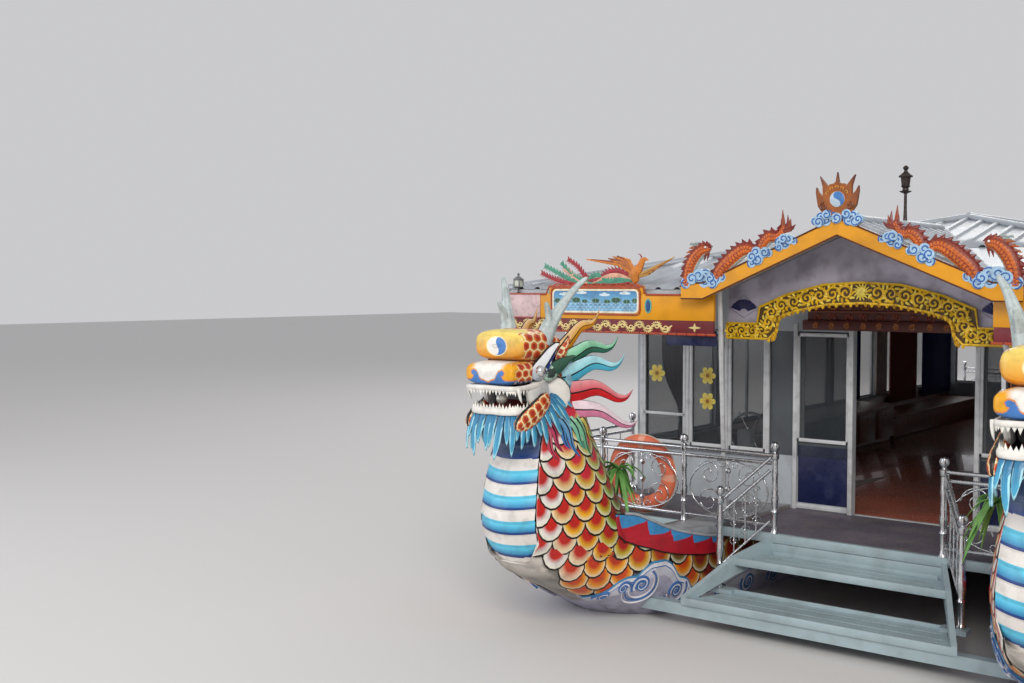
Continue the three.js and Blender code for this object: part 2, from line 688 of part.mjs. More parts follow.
// Helm: a pedestal behind the starboard window and a spoked wheel on its aft face
const HELM = { x: -1900, y: 1700, hubZ: 650, radius: 270 };
const pedestal = joined(
  box(-70, 70, -60, 60, GAP, HELM.hubZ + 60),
  box(-140, 140, -120, 120, GAP, 60),
);
add('helm_pedestal', pedestal, 'wall', HELM.x, HELM.y, 0);
const SPOKES = 6;

function wheelShape() {
  const rim = [];
  for (let i = 0; i <= 5; i += 1) {
    const angle = i / 5 * 2 * Math.PI;
    rim.push([HELM.radius - 40 + 15 * Math.cos(angle), 15 * Math.sin(angle)]);
  }
  const hub = turned([[0, -30], [45, -30], [45, 30], [0, 30]], 8).rotateX(Math.PI / 2);
  const pieces = [turned(rim, 18).rotateX(Math.PI / 2), hub];
  for (let i = 0; i < SPOKES; i += 1) {
    pieces.push(bar([[0, 0, 20], [0, 0, HELM.radius]], 9, 4).rotateY(i / SPOKES * 2 * Math.PI));
  }
  return joined(...pieces);
}

add('steering_wheel', wheelShape(), 'rail', HELM.x, HELM.y + 60 + 36, HELM.hubZ);

// Hipped main roof with its eaves boards, and the porch roof that runs into it
const RIDGE_YS = [2900, 9600];
const EAVES_DROP = 260;

function hip(lift, floor) {
  const corners = (z) => [
    [-ROOF_HALF, ROOF_FRONT, z], [ROOF_HALF, ROOF_FRONT, z], [ROOF_HALF, ROOF_REAR, z], [-ROOF_HALF, ROOF_REAR, z],
  ];
  const ridge = (z) => RIDGE_YS.map((y) => [0, y, z]);
  const slopes = [[0, 1, 4], [1, 2, 5], [1, 5, 4], [2, 3, 5], [3, 0, 4], [3, 4, 5]];
  const low = floor === undefined ? [...corners(EAVE_Z + lift - ROOF_THICK), ...ridge(RIDGE_Z + lift - ROOF_THICK)]
    : [...corners(floor), ...ridge(floor)];
  const position = [...corners(EAVE_Z + lift), ...ridge(RIDGE_Z + lift), ...low].flat();
  const index = [];
  for (const [a, b, c] of slopes) index.push(a, b, c, a + 6, c + 6, b + 6);
  for (const [a, b] of [[0, 1], [1, 2], [2, 3], [3, 0]]) index.push(b, a, a + 6, b, a + 6, b + 6);
  return closed(position, index);
}

// Each slope is a slab of its own, cut from the whole hip along its corner lines
const planLine = (outline) => loft([1000, 4000].map((z) => outline.map(([x, y]) => [x, y, z])));
const eaveZs = [EAVE_Z - EAVES_DROP, EAVE_Z - ROOF_THICK + 5];
const [RIDGE_FRONT, RIDGE_REAR] = RIDGE_YS;
const sideOutline = [[0.2, RIDGE_FRONT], [ROOF_HALF, ROOF_FRONT], [ROOF_HALF, ROOF_REAR], [0.2, RIDGE_REAR]];
const sideSlope = joined(
  common(hip(0), planLine(sideOutline)),
  box(ROOF_HALF - 40, ROOF_HALF, ROOF_FRONT + 41, ROOF_REAR - 41, ...eaveZs),
);
const frontOutline = [[-ROOF_HALF + 0.6, ROOF_FRONT], [ROOF_HALF - 0.6, ROOF_FRONT], [0, RIDGE_FRONT - 0.6]];
const rearOutline = [[ROOF_HALF - 0.6, ROOF_REAR], [-ROOF_HALF + 0.6, ROOF_REAR], [0, RIDGE_REAR + 0.6]];
const rearSlope = joined(
  common(hip(0), planLine(rearOutline)),
  box(-ROOF_HALF + 46, ROOF_HALF - 46, ROOF_REAR - 40, ROOF_REAR, ...eaveZs),
);
add('roof_side_p', sideSlope, 'roof');
add('roof_side_s', mirrored(sideSlope), 'roof');
add('roof_rear', rearSlope, 'roof');

const GABLE = { apex: 2780, kink: 2250, kinkX: 1240, endX: 1460, board: 130 };
const ARCH_Y = 110;
const gableLine = (drop) => [
  [-GABLE.endX, GABLE.kink - drop], [-GABLE.kinkX, GABLE.kink - drop], [0, GABLE.apex - drop],
  [GABLE.kinkX, GABLE.kink - drop], [GABLE.endX, GABLE.kink - drop],
];
const band = (top, bottom) => [...gableLine(top), ...gableLine(bottom).reverse()];
const porch = cut(plate(band(0, 30), GABLE_PLANE + 45, 2400), hip(0.5, 1000));
add('roof_portico', porch, 'roof');
const porchRoom = plate([[-GABLE.kinkX, 1500], [GABLE.kinkX, 1500], ...gableLine(30).slice(1, 4).reverse()], ROOF_FRONT - 100, CABIN_FRONT - 0.5);
add('roof_front', cut(common(hip(0), planLine(frontOutline)), porchRoom), 'roof');
add('gable_board', plate(band(-15, GABLE.board), GABLE_PLANE, GABLE_PLANE + 44.5), 'yellow');

// Carved arch under the gable and the grey board behind it
const ARCH_OUTER = [[1280, 1760], [1280, 1895], [975, 1895], [953, 2046], [690, 2158], [343, 2246], [0, 2265]];
const ARCH_INNER = [[1280, 1760], [860, 1760], [790, 1830], [750, 1960], [600, 2015], [300, 2075], [0, 2090]];
const both = (half) => [...half, ...[...half].reverse().slice(1).map(([x, z]) => [-x, z])];
const archOutline = [...both(ARCH_OUTER), ...both(ARCH_INNER).reverse().slice(1, -1)];
add('arch_lintel', plate(archOutline, ARCH_Y, ARCH_Y + 24), 'gold');
const archRoom = both([[1240, 1700], [1240, 1850], [940, 1850], [915, 2020], [670, 2130], [330, 2215], [0, 2235]]);
const tympanumOutline = [[-1280, 1850], [1280, 1850], [1280, 2215], [1240, 2215], [0, 2745], [-1240, 2215], [-1280, 2215]];
const tympanum = cut(
  plate(tympanumOutline, ARCH_Y + 24.5, ARCH_Y + 60),
  plate(archRoom, ARCH_Y, ARCH_Y + 90),
);
add('tympanum', tympanum, 'board');

// Front fascia on each side of the gable: board, raised panel, valance and a corner lantern
const FASCIA = { x: [-3600, -1205], y: [-280, -240.5], z: [1920, 2160], panel: [-3030, -1950], panelTop: 2240, valance: 1790 };
function fasciaShape() {
  const [x0, x1] = FASCIA.x;
  const board = plate([
    [x0, FASCIA.z[0]], [x1, FASCIA.z[0]], [x1, FASCIA.z[1]], [FASCIA.panel[1], FASCIA.z[1]], [FASCIA.panel[1], FASCIA.panelTop],
    [FASCIA.panel[0], FASCIA.panelTop], [FASCIA.panel[0], FASCIA.z[1]], [x0, FASCIA.z[1]],
  ], ...FASCIA.y);
  const valance = box(x0, x1, FASCIA.y[0] + 15, FASCIA.y[1], FASCIA.valance, FASCIA.z[0] + 5);
  const lantern = turned([
    [0, -10], [15, -10], [15, 65], [50, 80], [42, 90], [42, 150], [65, 160], [20, 200], [0, 215],
  ], 6).translate(-3440, (FASCIA.y[0] + FASCIA.y[1]) / 2, FASCIA.z[1]);
  return joined(board, valance, lantern);
}

handed.push(['fascia_front', fasciaShape(), 'yellow']);

// Carvings above the eaves: ridge dragon, phoenix and the flaming pearl
const RIDGE_DRAGON = [
  [-1460, 2266], [-1235, 2266], [-340, 2650], [-380, 2750], [-340, 2780], [-440, 2790], [-490, 2890], [-530, 2790],
  [-560, 2720], [-640, 2745], [-720, 2690], [-770, 2640], [-840, 2660], [-940, 2620], [-1040, 2540], [-1120, 2450],
  [-1150, 2540], [-1160, 2600], [-1270, 2630], [-1400, 2560], [-1420, 2450], [-1460, 2400],
];
const PHOENIX = [
  [-3200, 2241], [-1750, 2241], [-1710, 2320], [-1760, 2390], [-1840, 2370], [-1960, 2400], [-2010, 2480], [-2100, 2420],
  [-2200, 2430], [-2260, 2510], [-2420, 2500], [-2480, 2410], [-2600, 2370], [-2760, 2410], [-2830, 2490], [-2960, 2510],
  [-2880, 2410], [-3050, 2460], [-3160, 2520], [-3120, 2410], [-3240, 2350],
];
const PEARL_FLAME = [
  [-130, 2785], [-200, 2790], [-205, 2850], [-150, 2875], [-185, 2960], [-200, 3030], [-140, 3000], [-150, 3110], [-80, 3050],
  [-35, 3080], [0, 3165],
];

const underGable = plate(band(-15.5, 400), GABLE_PLANE - 50, GABLE_PLANE + 200);
handed.push(['ridge_dragon', cut(plate(RIDGE_DRAGON, GABLE_PLANE, GABLE_PLANE + 44), underGable), 'carving']);
const phoenixRoom = box(-farBox, farBox, -farBox, farBox, 0, FASCIA.panelTop + GAP);
const phoenix = cut(plate(PHOENIX, FASCIA.y[0], FASCIA.y[1]), phoenixRoom, box(-3030, 0, -400, 0, 0, 2200));
handed.push(['phoenix', phoenix, 'carving']);
const pearlOutline = [...PEARL_FLAME, ...[...PEARL_FLAME].reverse().slice(1).map(([x, z]) => [-x, z])];
const pearlDisc = turned([[0, 0], [65, 0], [75, 12], [75, 68], [65, 80], [0, 80]], 16).rotateX(Math.PI / 2);
const finial = joined(
  plate(pearlOutline, GABLE_PLANE, GABLE_PLANE + 60),
  pearlDisc.translate(0, GABLE_PLANE + 70, 2945),
);
add('pearl_finial', cut(finial, underGable), 'carving');

// Light mast on the porch ridge, and the leaning poles under the gable
const MAST = [
  [0, 0], [60, 0], [60, 15], [20, 25], [16, 330], [60, 345], [60, 360], [50, 370], [50, 450], [70, 465], [20, 520], [0, 560],
];
const mast = cut(turned(MAST, 8).translate(0, 1100, GABLE.apex - 15), plate(band(-GAP, 600), 900, 1300));
add('light_mast', mast, 'board');
const POLE = [[-1500, 510, -40], [-1170, -245, 2300]];
const underPorch = plate([...gableLine(30 + GAP), [GABLE.endX, 3000], [-GABLE.endX, 3000]], GABLE_PLANE, 600);
const poleRoom = [box(-farBox, farBox, -farBox, farBox, -200, GAP), underPorch];
handed.push(['portico_column', cut(bar(POLE, 22, 8), ...poleRoom), 'rail']);

for (const [name, geometry, material] of handed) {
  add(`${name}_s`, geometry, material);
  add(`${name}_p`, mirrored(geometry), material);
}

export default boat;
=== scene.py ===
"""The looks of a twin-hull dragon boat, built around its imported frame. Metres, +Z up, bow towards -Y."""
import math
import random

import bmesh
import bpy
from mathutils import Matrix, Vector
from mathutils.bvhtree import BVHTree


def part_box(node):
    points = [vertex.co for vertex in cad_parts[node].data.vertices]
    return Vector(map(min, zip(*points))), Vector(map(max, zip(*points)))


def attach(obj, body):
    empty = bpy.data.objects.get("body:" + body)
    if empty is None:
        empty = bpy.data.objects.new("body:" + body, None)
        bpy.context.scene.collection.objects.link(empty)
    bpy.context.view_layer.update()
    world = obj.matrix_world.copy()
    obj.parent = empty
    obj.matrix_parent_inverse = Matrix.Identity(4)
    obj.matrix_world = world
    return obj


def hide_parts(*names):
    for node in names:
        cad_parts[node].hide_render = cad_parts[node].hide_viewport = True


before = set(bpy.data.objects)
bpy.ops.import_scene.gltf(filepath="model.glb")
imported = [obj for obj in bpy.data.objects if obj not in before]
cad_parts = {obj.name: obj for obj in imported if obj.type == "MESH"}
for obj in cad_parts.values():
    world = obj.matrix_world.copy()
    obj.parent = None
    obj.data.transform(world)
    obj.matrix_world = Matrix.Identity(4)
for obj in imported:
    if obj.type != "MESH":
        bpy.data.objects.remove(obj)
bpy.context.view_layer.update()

# The view of the photograph: the camera stands off the port bow, about three metres above the water,
# with the horizon a little above the middle of the frame.
CAMERA_AT = (4.03, -15.38, 2.95)
CAMERA_YAW = 38.4
CAMERA_DOWN = 2.73
CAMERA_LENS = 42.19
bpy.ops.object.select_all(action="DESELECT")
bpy.ops.object.camera_add(
    location=CAMERA_AT,
    rotation=(math.radians(90 - CAMERA_DOWN), 0, math.radians(CAMERA_YAW)),
)
camera = bpy.context.object
camera.data.lens = CAMERA_LENS
camera.data.clip_end = 200
bpy.context.scene.camera = camera

# The stage: a wide pale floor at the still waterline, a pale sky, and three soft studio lamps
# that stand high off the port bow, low off the starboard bow and behind the stern.
FLOOR_SIZE = 160
bpy.ops.mesh.primitive_plane_add(size=FLOOR_SIZE, location=(0, 0, 0))
floor = bpy.context.object
floor.name = "floor"
floor_paint = bpy.data.materials.new("floor_paint")
floor_paint.use_nodes = True
floor_shader = floor_paint.node_tree.nodes["Principled BSDF"]
floor_shader.inputs["Base Color"].default_value = (0.62, 0.61, 0.60, 1)
floor_shader.inputs["Roughness"].default_value = 0.85
floor.data.materials.append(floor_paint)
sky = bpy.data.worlds.new("sky")
bpy.context.scene.world = sky
bpy.context.scene.view_settings.view_transform = "Standard"
sky.use_nodes = True
sky.node_tree.nodes["Background"].inputs["Color"].default_value = (0.90, 0.90, 0.93, 1)
sky.node_tree.nodes["Background"].inputs["Strength"].default_value = 0.66
# Columns: name, place, aimed at, width, watts, colour
LAMPS = [
    ("key_lamp", (8, -20, 11), (0, -5, 1.5), 7, 2000, (1.0, 0.96, 0.90)),
    ("fill_lamp", (-12, -17, 6), (-1, -6, 1.5), 10, 650, (0.92, 0.95, 1.0)),
    ("rear_lamp", (-6, 16, 14), (0, 2, 1), 12, 1500, (1.0, 0.97, 0.94)),
]
for name, place, target, width, watts, colour in LAMPS:
    bpy.ops.object.light_add(type="AREA", location=place)
    lamp = bpy.context.object
    lamp.name = name
    lamp.data.shape = "SQUARE"
    lamp.data.size = width
    lamp.data.energy = watts
    lamp.data.color = colour
    aim = Vector(target) - Vector(place)
    lamp.rotation_euler = aim.to_track_quat("-Z", "Y").to_euler()


# The two hulls: smooth painted steel, spoon-shaped at the bow with a bare weathered stem, and a flat
# transom. Their plating follows the frame's cross sections, about each hull's own middle line.
DECK_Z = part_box("deck")[1].z
DECK_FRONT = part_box("deck")[0].y
HULL_X = (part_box("hull_p")[0].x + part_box("hull_p")[1].x) / 2
SIDES = (("s", -1), ("p", 1))
# Columns: place aft of the deck's front edge, half breadth, keel height from the deck's top, sharpness
HULL = [
    (-2.10, 0.230, -0.03, 0.2), (-1.93, 0.290, -0.19, 0.2), (-1.60, 0.400, -0.35, 0.2), (-1.28, 0.500, -0.51, 0.2),
    (-0.89, 0.660, -0.72, 0.2), (-0.30, 0.780, -1.00, 0.2), (0.40, 0.880, -1.13, 0.2), (1.80, 1.010, -1.15, 0.1),
    (4.00, 1.095, -1.15, 0.0), (10.20, 1.095, -1.15, 0.0), (11.50, 1.050, -1.12, 0.1), (12.00, 1.010, -0.72, 0.0),
    (13.10, 0.880, -0.72, 0.0),
]
# Columns: place from keel to top, then breadth and height of the round and of the sharp section
SECTION = [
    (0.00, 0.00, 0.00, 0.00, 0.00), (0.25, 0.52, 0.04, 0.36, 0.22), (0.50, 0.84, 0.16, 0.64, 0.46),
    (0.75, 0.97, 0.45, 0.86, 0.73), (1.00, 1.00, 1.00, 1.00, 1.00),
]
FOREDECK = 0.05
UNDER_DECK = -0.0603
STRAIGHT_FROM = 10.2


def aft(distance):
    """A place along the boat, from the deck's front edge."""
    return DECK_FRONT + distance


def up(height):
    """A height, from the deck's top."""
    return DECK_Z + height


def tone(code):
    """A paint's colour from its six-figure web code."""
    parts = [int(code[i:i + 2], 16) / 255 for i in (1, 3, 5)]
    return tuple(c / 12.92 if c <= 0.04045 else ((c + 0.055) / 1.055) ** 2.4 for c in parts) + (1.0,)


def mixed(a, b, share):
    """A colour, or a point, between two."""
    share = min(max(share, 0.0), 1.0)
    return tuple(p + (q - p) * share for p, q in zip(a, b))


def between(rows, key):
    """A row of a table at a value of its first column, straight between the rows."""
    low, high = rows[0], rows[-1]
    for first, second in zip(rows, rows[1:]):
        if first[0] <= key <= second[0]:
            low, high = first, second
            break
    span = high[0] - low[0]
    return mixed(low, high, (key - low[0]) / span if span else 0)


def eased(rows, key):
    """A row of a table at a value of its first column, on smooth curves through the rows."""
    i = max(k for k in range(len(rows) - 1) if rows[k][0] <= key or k == 0)
    a, b, c, d = (rows[min(max(i + k, 0), len(rows) - 1)] for k in (-1, 0, 1, 2))
    t = min(max((key - b[0]) / (c[0] - b[0]), 0), 1)
    return [
        0.5 * (2 * q + (r - p) * t + (2 * p - 5 * q + 4 * r - s) * t * t + (3 * q - p - 3 * r + s) * t ** 3)
        for p, q, r, s in zip(a, b, c, d)
    ]


def row_at(points, key):
    """A row of a table at a place counted in rows, on smooth curves through them."""
    return eased([(i, *point) for i, point in enumerate(points)], key)[1:]


def paint_layer(piece):
    """A colour for each corner of each face of a piece."""
    return piece.data.color_attributes.new("paint", "FLOAT_COLOR", "CORNER")


def shaped_grid(name, across, along, place, colour=None, by_face=False):
    """A sheet of faces whose corners lie where place(u, v) says, u and v running from 0 to 1, and its paint."""
    bpy.ops.object.select_all(action="DESELECT")
    bpy.ops.mesh.primitive_grid_add(x_subdivisions=across, y_subdivisions=along, size=2)
    piece = bpy.context.object
    piece.name = piece.data.name = name
    spots = [((v.co.x + 1) / 2, (v.co.y + 1) / 2) for v in piece.data.vertices]
    for v, spot in zip(piece.data.vertices, spots):
        v.co = place(*spot)
    if colour:
        paint = paint_layer(piece)
        for face in piece.data.polygons:
            middle = [sum(spots[i][k] for i in face.vertices) / len(face.vertices) for k in (0, 1)]
            for i, corner in zip(face.loop_indices, face.vertices):
                paint.data[i].color = colour(*(middle if by_face else spots[corner]))
    return piece


def alone(piece):
    """Selects one piece and nothing else."""
    bpy.ops.object.select_all(action="DESELECT")
    piece.select_set(True)
    bpy.context.view_layer.objects.active = piece


MERGE = 2e-5
# The gap that keeps a face of one piece from lying in the plane of another piece's face
CLEAR = 0.0005


def settled(piece, angle=40, merge=MERGE):
    """Merges doubles, turns the faces outward and smooths all but the sharp edges."""
    alone(piece)
    bpy.ops.object.mode_set(mode="EDIT")
    bpy.ops.mesh.select_all(action="SELECT")
    bpy.ops.mesh.remove_doubles(threshold=merge)
    bpy.ops.mesh.normals_make_consistent(inside=False)
    bpy.ops.object.mode_set(mode="OBJECT")
    bpy.ops.object.transform_apply(location=True, rotation=True, scale=True)
    bpy.ops.object.shade_smooth_by_angle(angle=math.radians(angle))
    return piece


def joined(pieces, name):
    """Several pieces as one."""
    bpy.ops.object.select_all(action="DESELECT")
    for piece in pieces:
        piece.select_set(True)
    bpy.context.view_layer.objects.active = pieces[0]
    if len(pieces) > 1:
        bpy.ops.object.join()
    whole = bpy.context.object
    whole.name = whole.data.name = name
    return whole


def copied(piece, name, flip=False, move=(0, 0, 0)):
    """A copy with a mesh of its own, mirrored across the middle plane and then moved."""
    other = piece.copy()
    other.data = piece.data.copy()
    other.name = other.data.name = name
    bpy.context.scene.collection.objects.link(other)
    matrix = Matrix.Translation(move)
    if flip:
        matrix = matrix @ Matrix.Scale(-1, 4, (1, 0, 0))
    other.data.transform(matrix)
    if flip:
        other.data.flip_normals()
    return other


def flip_copy(piece, name):
    """A mirror image of a piece."""
    return copied(piece, name, flip=True)


def brushed(piece, colour_at):
    """Paints each point of a piece with colour_at(place)."""
    paint = paint_layer(piece)
    for loop, spot in zip(piece.data.loops, paint.data):
        spot.color = colour_at(piece.data.vertices[loop.vertex_index].co)
    return piece


def face_brushed(piece, colour_at):
    """Paints each face of a piece with colour_at(its middle)."""
    paint = paint_layer(piece)
    for face in piece.data.polygons:
        colour = colour_at(face.center)
        for i in face.loop_indices:
            paint.data[i].color = colour
    return piece


def placed(piece, slot, material, *nodes, body="boat"):
    """Gives a finished piece its material and its body, and hides the solids that it stands for."""
    piece.data.materials.clear()
    piece.data.materials.append(material)
    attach(piece, body)
    if nodes:
        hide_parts(*nodes)
    return piece


patterns = []


def on_hulls(piece, name, slot, material, node=None):
    """Places a copy of a pattern about each hull's middle line."""
    for side, sign in SIDES:
        other = copied(piece, f"{name}_{side}", move=(sign * HULL_X, 0, 0))
        placed(other, slot, material, *([f"{node}_{side}"] if node else []))
    patterns.append(piece)


def on_sides(piece, name, slot, material, node=None):
    """Places a starboard pattern and its mirror image."""
    for side, sign in SIDES:
        placed(copied(piece, f"{name}_{side}", flip=sign > 0), slot, material, *([f"{node}_{side}"] if node else []))
    patterns.append(piece)


def finish(name, colour=None, rough=0.5, metal=0.0, cloud=0.25, cloud_size=1.5, dirt=None, bump=0.15,
           bump_size=60.0, coat=0.0, stretch=(1, 1, 1)):
    """A finish of one colour, or of the paint attribute: clouded, soiled, with uneven gloss and fine relief."""
    material = bpy.data.materials.new(name)
    material.use_nodes = True
    nodes, links = material.node_tree.nodes, material.node_tree.links
    shader = nodes["Principled BSDF"]
    shader.inputs["Metallic"].default_value = metal
    shader.inputs["Coat Weight"].default_value = coat
    where = nodes.new("ShaderNodeTexCoord")
    mapping = nodes.new("ShaderNodeMapping")
    mapping.inputs["Scale"].default_value = stretch
    links.new(where.outputs["Object"], mapping.inputs["Vector"])

    def noise(size, detail):
        node = nodes.new("ShaderNodeTexNoise")
        node.inputs["Scale"].default_value = size
        node.inputs["Detail"].default_value = detail
        links.new(mapping.outputs["Vector"], node.inputs["Vector"])
        return node.outputs["Fac"]

    def ranged(source, low, high, first, last):
        node = nodes.new("ShaderNodeMapRange")
        for socket, value in zip(("From Min", "From Max", "To Min", "To Max"), (low, high, first, last)):
            node.inputs[socket].default_value = value
        links.new(source, node.inputs["Value"])
        return node.outputs["Result"]

    fine = noise(bump_size, 4)
    tinted = nodes.new("ShaderNodeVectorMath")
    tinted.operation = "SCALE"
    links.new(ranged(noise(cloud_size, 6), 0.3, 0.7, 1 - cloud, 1 + cloud * 0.4), tinted.inputs["Scale"])
    if colour is None:
        source = nodes.new("ShaderNodeAttribute")
        source.attribute_name = "paint"
        links.new(source.outputs["Color"], tinted.inputs[0])
    else:
        tinted.inputs[0].default_value = colour[:3]
    last = tinted.outputs["Vector"]
    if dirt:
        mix = nodes.new("ShaderNodeMix")
        mix.data_type = "RGBA"
        mix.inputs["B"].default_value = dirt[0]
        links.new(ranged(noise(cloud_size * 3.1, 9), 0.48, 0.70, 0, dirt[1]), mix.inputs["Factor"])
        links.new(last, mix.inputs["A"])
        last = mix.outputs["Result"]
    links.new(last, shader.inputs["Base Color"])
    links.new(ranged(fine, 0.3, 0.7, max(rough - 0.1, 0.03), min(rough + 0.12, 1)), shader.inputs["Roughness"])
    relief = nodes.new("ShaderNodeBump")
    relief.inputs["Strength"].default_value = bump
    relief.inputs["Distance"].default_value = 0.004
    links.new(fine, relief.inputs["Height"])
    links.new(relief.outputs["Normal"], shader.inputs["Normal"])
    return material


def hull_side(y, share):
    """A point of the port side of a hull at y, share running from the keel to the top."""
    _, half, keel, sharp = eased(HULL, y) if y < STRAIGHT_FROM else between(HULL, y)
    _, round_out, round_up, sharp_out, sharp_up = eased(SECTION, share)
    out = (round_out + (sharp_out - round_out) * sharp) * half
    return Vector((out, aft(y), up(keel + (round_up + (sharp_up - round_up) * sharp) * (FOREDECK - keel))))


def hull_share(y, height):
    """How far up a hull's side a height is."""
    low, high = 0.0, 1.0
    for _ in range(22):
        middle = (low + high) / 2
        if hull_side(y, middle).z < up(height):
            low = middle
        else:
            high = middle
    return low


HULL_YS = [-2.1 + 2.1 * (i / 42) for i in range(43)] + [0.001 + 4.0 * i / 14 for i in range(15)]
HULL_YS += [4.0 + 6.2 * i / 6 for i in range(1, 7)] + [10.2 + 1.8 * i / 12 for i in range(1, 13)] + [12.4, 12.8, 13.1]
HULL_ROWS = 28
hull_tops = [1.0 if y <= 0 else hull_share(y, UNDER_DECK) for y in HULL_YS]


def hull_skin(u, v):
    """The plating from sheer to sheer, round the keel."""
    i = round(v * (len(HULL_YS) - 1))
    side = 2 * u - 1
    point = hull_side(HULL_YS[i], abs(side) * hull_tops[i])
    point.x = math.copysign(point.x, side) if abs(side) > 1e-6 else 0
    return point


def capped(piece):
    """Closes every open rim of a piece with flat faces."""
    alone(piece)
    bpy.ops.object.mode_set(mode="EDIT")
    bpy.ops.mesh.select_all(action="SELECT")
    bpy.ops.mesh.remove_doubles(threshold=MERGE)
    bpy.ops.mesh.select_all(action="DESELECT")
    bpy.ops.mesh.select_mode(type="EDGE")
    bpy.ops.mesh.select_non_manifold(extend=False, use_wire=False, use_multi_face=False, use_non_contiguous=False,
                                     use_verts=False)
    bpy.ops.mesh.edge_face_add()
    bpy.ops.mesh.select_mode(type="VERT")
    bpy.ops.object.mode_set(mode="OBJECT")
    return piece


STEM_GREY, WAVE_LILAC, BOTTOM_DARK = tone("#9c978f"), tone("#b4b2c6"), tone("#4a4f58")
BODY_ORANGE, OUTLINE = tone("#8a4f16"), tone("#15110f")
# Columns: place aft, height of the waves' upper edge
WAVE_LINE = [
    (-2.2, -0.70), (-1.40, -0.52), (-1.35, -0.42), (-1.26, -0.33), (-1.22, -0.29), (-1.14, -0.26), (-1.05, -0.26),
    (-0.99, -0.20), (-0.92, -0.155), (-0.77, -0.155), (-0.69, -0.20), (-0.63, -0.27), (-0.59, -0.33), (-0.48, -0.36),
    (-0.42, -0.43), (-0.38, -0.50), (-0.10, -0.50), (0.5, -0.40), (14, -0.40),
]
# Columns: place aft, height of the bare stem's upper edge
STEM_LINE = [(-2.2, 0.06), (-2.04, -0.06), (-1.96, -0.06), (-1.77, -0.13), (-1.68, -0.25), (-1.58, -0.32),
             (-1.44, -0.40), (-1.23, -0.52), (-1.0, -0.80), (14, -0.90)]


def hull_colour(place):
    """Bare grey along the stem, lilac waves at the waterline and dark gaps between the scales above."""
    y, z, out = place.y - DECK_FRONT, place.z - DECK_Z, abs(place.x)
    if z > -0.058 and y > -2.0:
        return tone("#a3a8ae") if z > 0.045 or y > -0.75 else OUTLINE
    line = between(WAVE_LINE, y)[1]
    if z < -0.80:
        return BOTTOM_DARK
    colour = WAVE_LILAC if z < line else OUTLINE if y < -0.6 else BODY_ORANGE
    if y < -1.1:
        colour = mixed(colour, STEM_GREY, (between(STEM_LINE, y)[1] + 0.02 - z) / 0.03 * min((-1.1 - y) / 0.12, 1))
        if y < -1.60 and out < 0.255:
            colour = mixed(tone("#d9d1c7"), colour, (-0.10 - z) / 0.12)
    return colour


hull = capped(shaped_grid("hull", HULL_ROWS * 2, len(HULL_YS) - 1, hull_skin))
settled(hull, 35)
brushed(hull, hull_colour)
GRIME = tone("#37302a")
hull_paint = finish("hull_paint", rough=0.5, cloud=0.2, cloud_size=2.2, dirt=(GRIME, 0.5), bump=0.25)
on_hulls(hull, "painted_hull", "hull_paint", hull_paint, "hull")


# The dragons' necks: plastered and painted columns that rise from the bows. The belly has lapped bands of
# cream and blue, and the flanks and the bow below them are covered with rows of raised scales.
# Columns: height, front, back, belly half width, flank half width
NECK = [
    (-0.05, -2.06, -0.45, 0.245, 0.54), (0.10, -2.15, -0.60, 0.272, 0.52), (0.30, -2.20, -0.78, 0.280, 0.48),
    (0.60, -2.15, -0.97, 0.270, 0.42), (0.90, -2.06, -1.14, 0.242, 0.35), (1.15, -1.96, -1.27, 0.235, 0.30),
    (1.33, -1.88, -1.38, 0.235, 0.26),
]
# Columns: share from belly to back, place from front to back, belly's and flank's part of the width
FLANK_CURVE = [
    (0.00, 0.06, 1.00, 0.00), (0.28, 0.30, 0.40, 0.60), (0.55, 0.58, 0.00, 1.00), (0.80, 0.82, 0.00, 0.82),
    (0.94, 0.97, 0.00, 0.38), (1.00, 1.00, 0.00, 0.00),
]
NECK_FOOT, NECK_TOP = NECK[0][0], NECK[-1][0]


def belly_point(height, share):
    """A point of the belly, share running from -1 to 1 across it."""
    _, front, back, belly, _ = eased(NECK, height)
    edge = 0.06 * (back - front)
    bulge = (edge + 0.015) * (1 - abs(share) ** 2.2)
    return Vector((share * belly, aft(front + edge - bulge), up(height)))


def flank_point(height, share):
    """A point of the port flank, share running from the belly's edge to the middle of the back."""
    _, front, back, belly, flank = eased(NECK, height)
    _, along, of_belly, of_flank = eased(FLANK_CURVE, share)
    return Vector((max(of_belly * belly + of_flank * flank, 0), aft(front + (back - front) * along), up(height)))


BAND_PITCH = 0.203
BAND_START = 0.03


def belly_skin(u, v):
    """The bands droop in the middle and each stands a little proud at its lower edge."""
    height = NECK_FOOT + (NECK_TOP - NECK_FOOT) * v
    droop = 0.025 * (1 - (2 * u - 1) ** 2)
    point = belly_point(height - droop * min(v * 6, 1), 2 * u - 1)
    phase = ((height - BAND_START) / BAND_PITCH * 2) % 1
    point.y -= 0.004 + 0.012 * (1 - phase) ** 0.7
    return point


CREAM, SKY_BLUE, SEA_BLUE, INK_BLUE = tone("#e2dcd6"), tone("#5cc3e2"), tone("#2c7fb4"), tone("#143a80")
SLATE = tone("#3d547c")


def belly_colour(place):
    """Cream bands between blue ones that end in a dark line."""
    across = place.x / 0.28
    height = place.z - DECK_Z + 0.025 * (1 - across * across)
    phase = ((height - BAND_START) / BAND_PITCH) % 1
    if height > 0.842:
        return mixed(INK_BLUE, SLATE, (height - 0.86) / 0.05)
    if phase > 0.56:
        return CREAM
    if phase < 0.12:
        return INK_BLUE
    return mixed(SEA_BLUE, SKY_BLUE, (phase - 0.12) / 0.25)


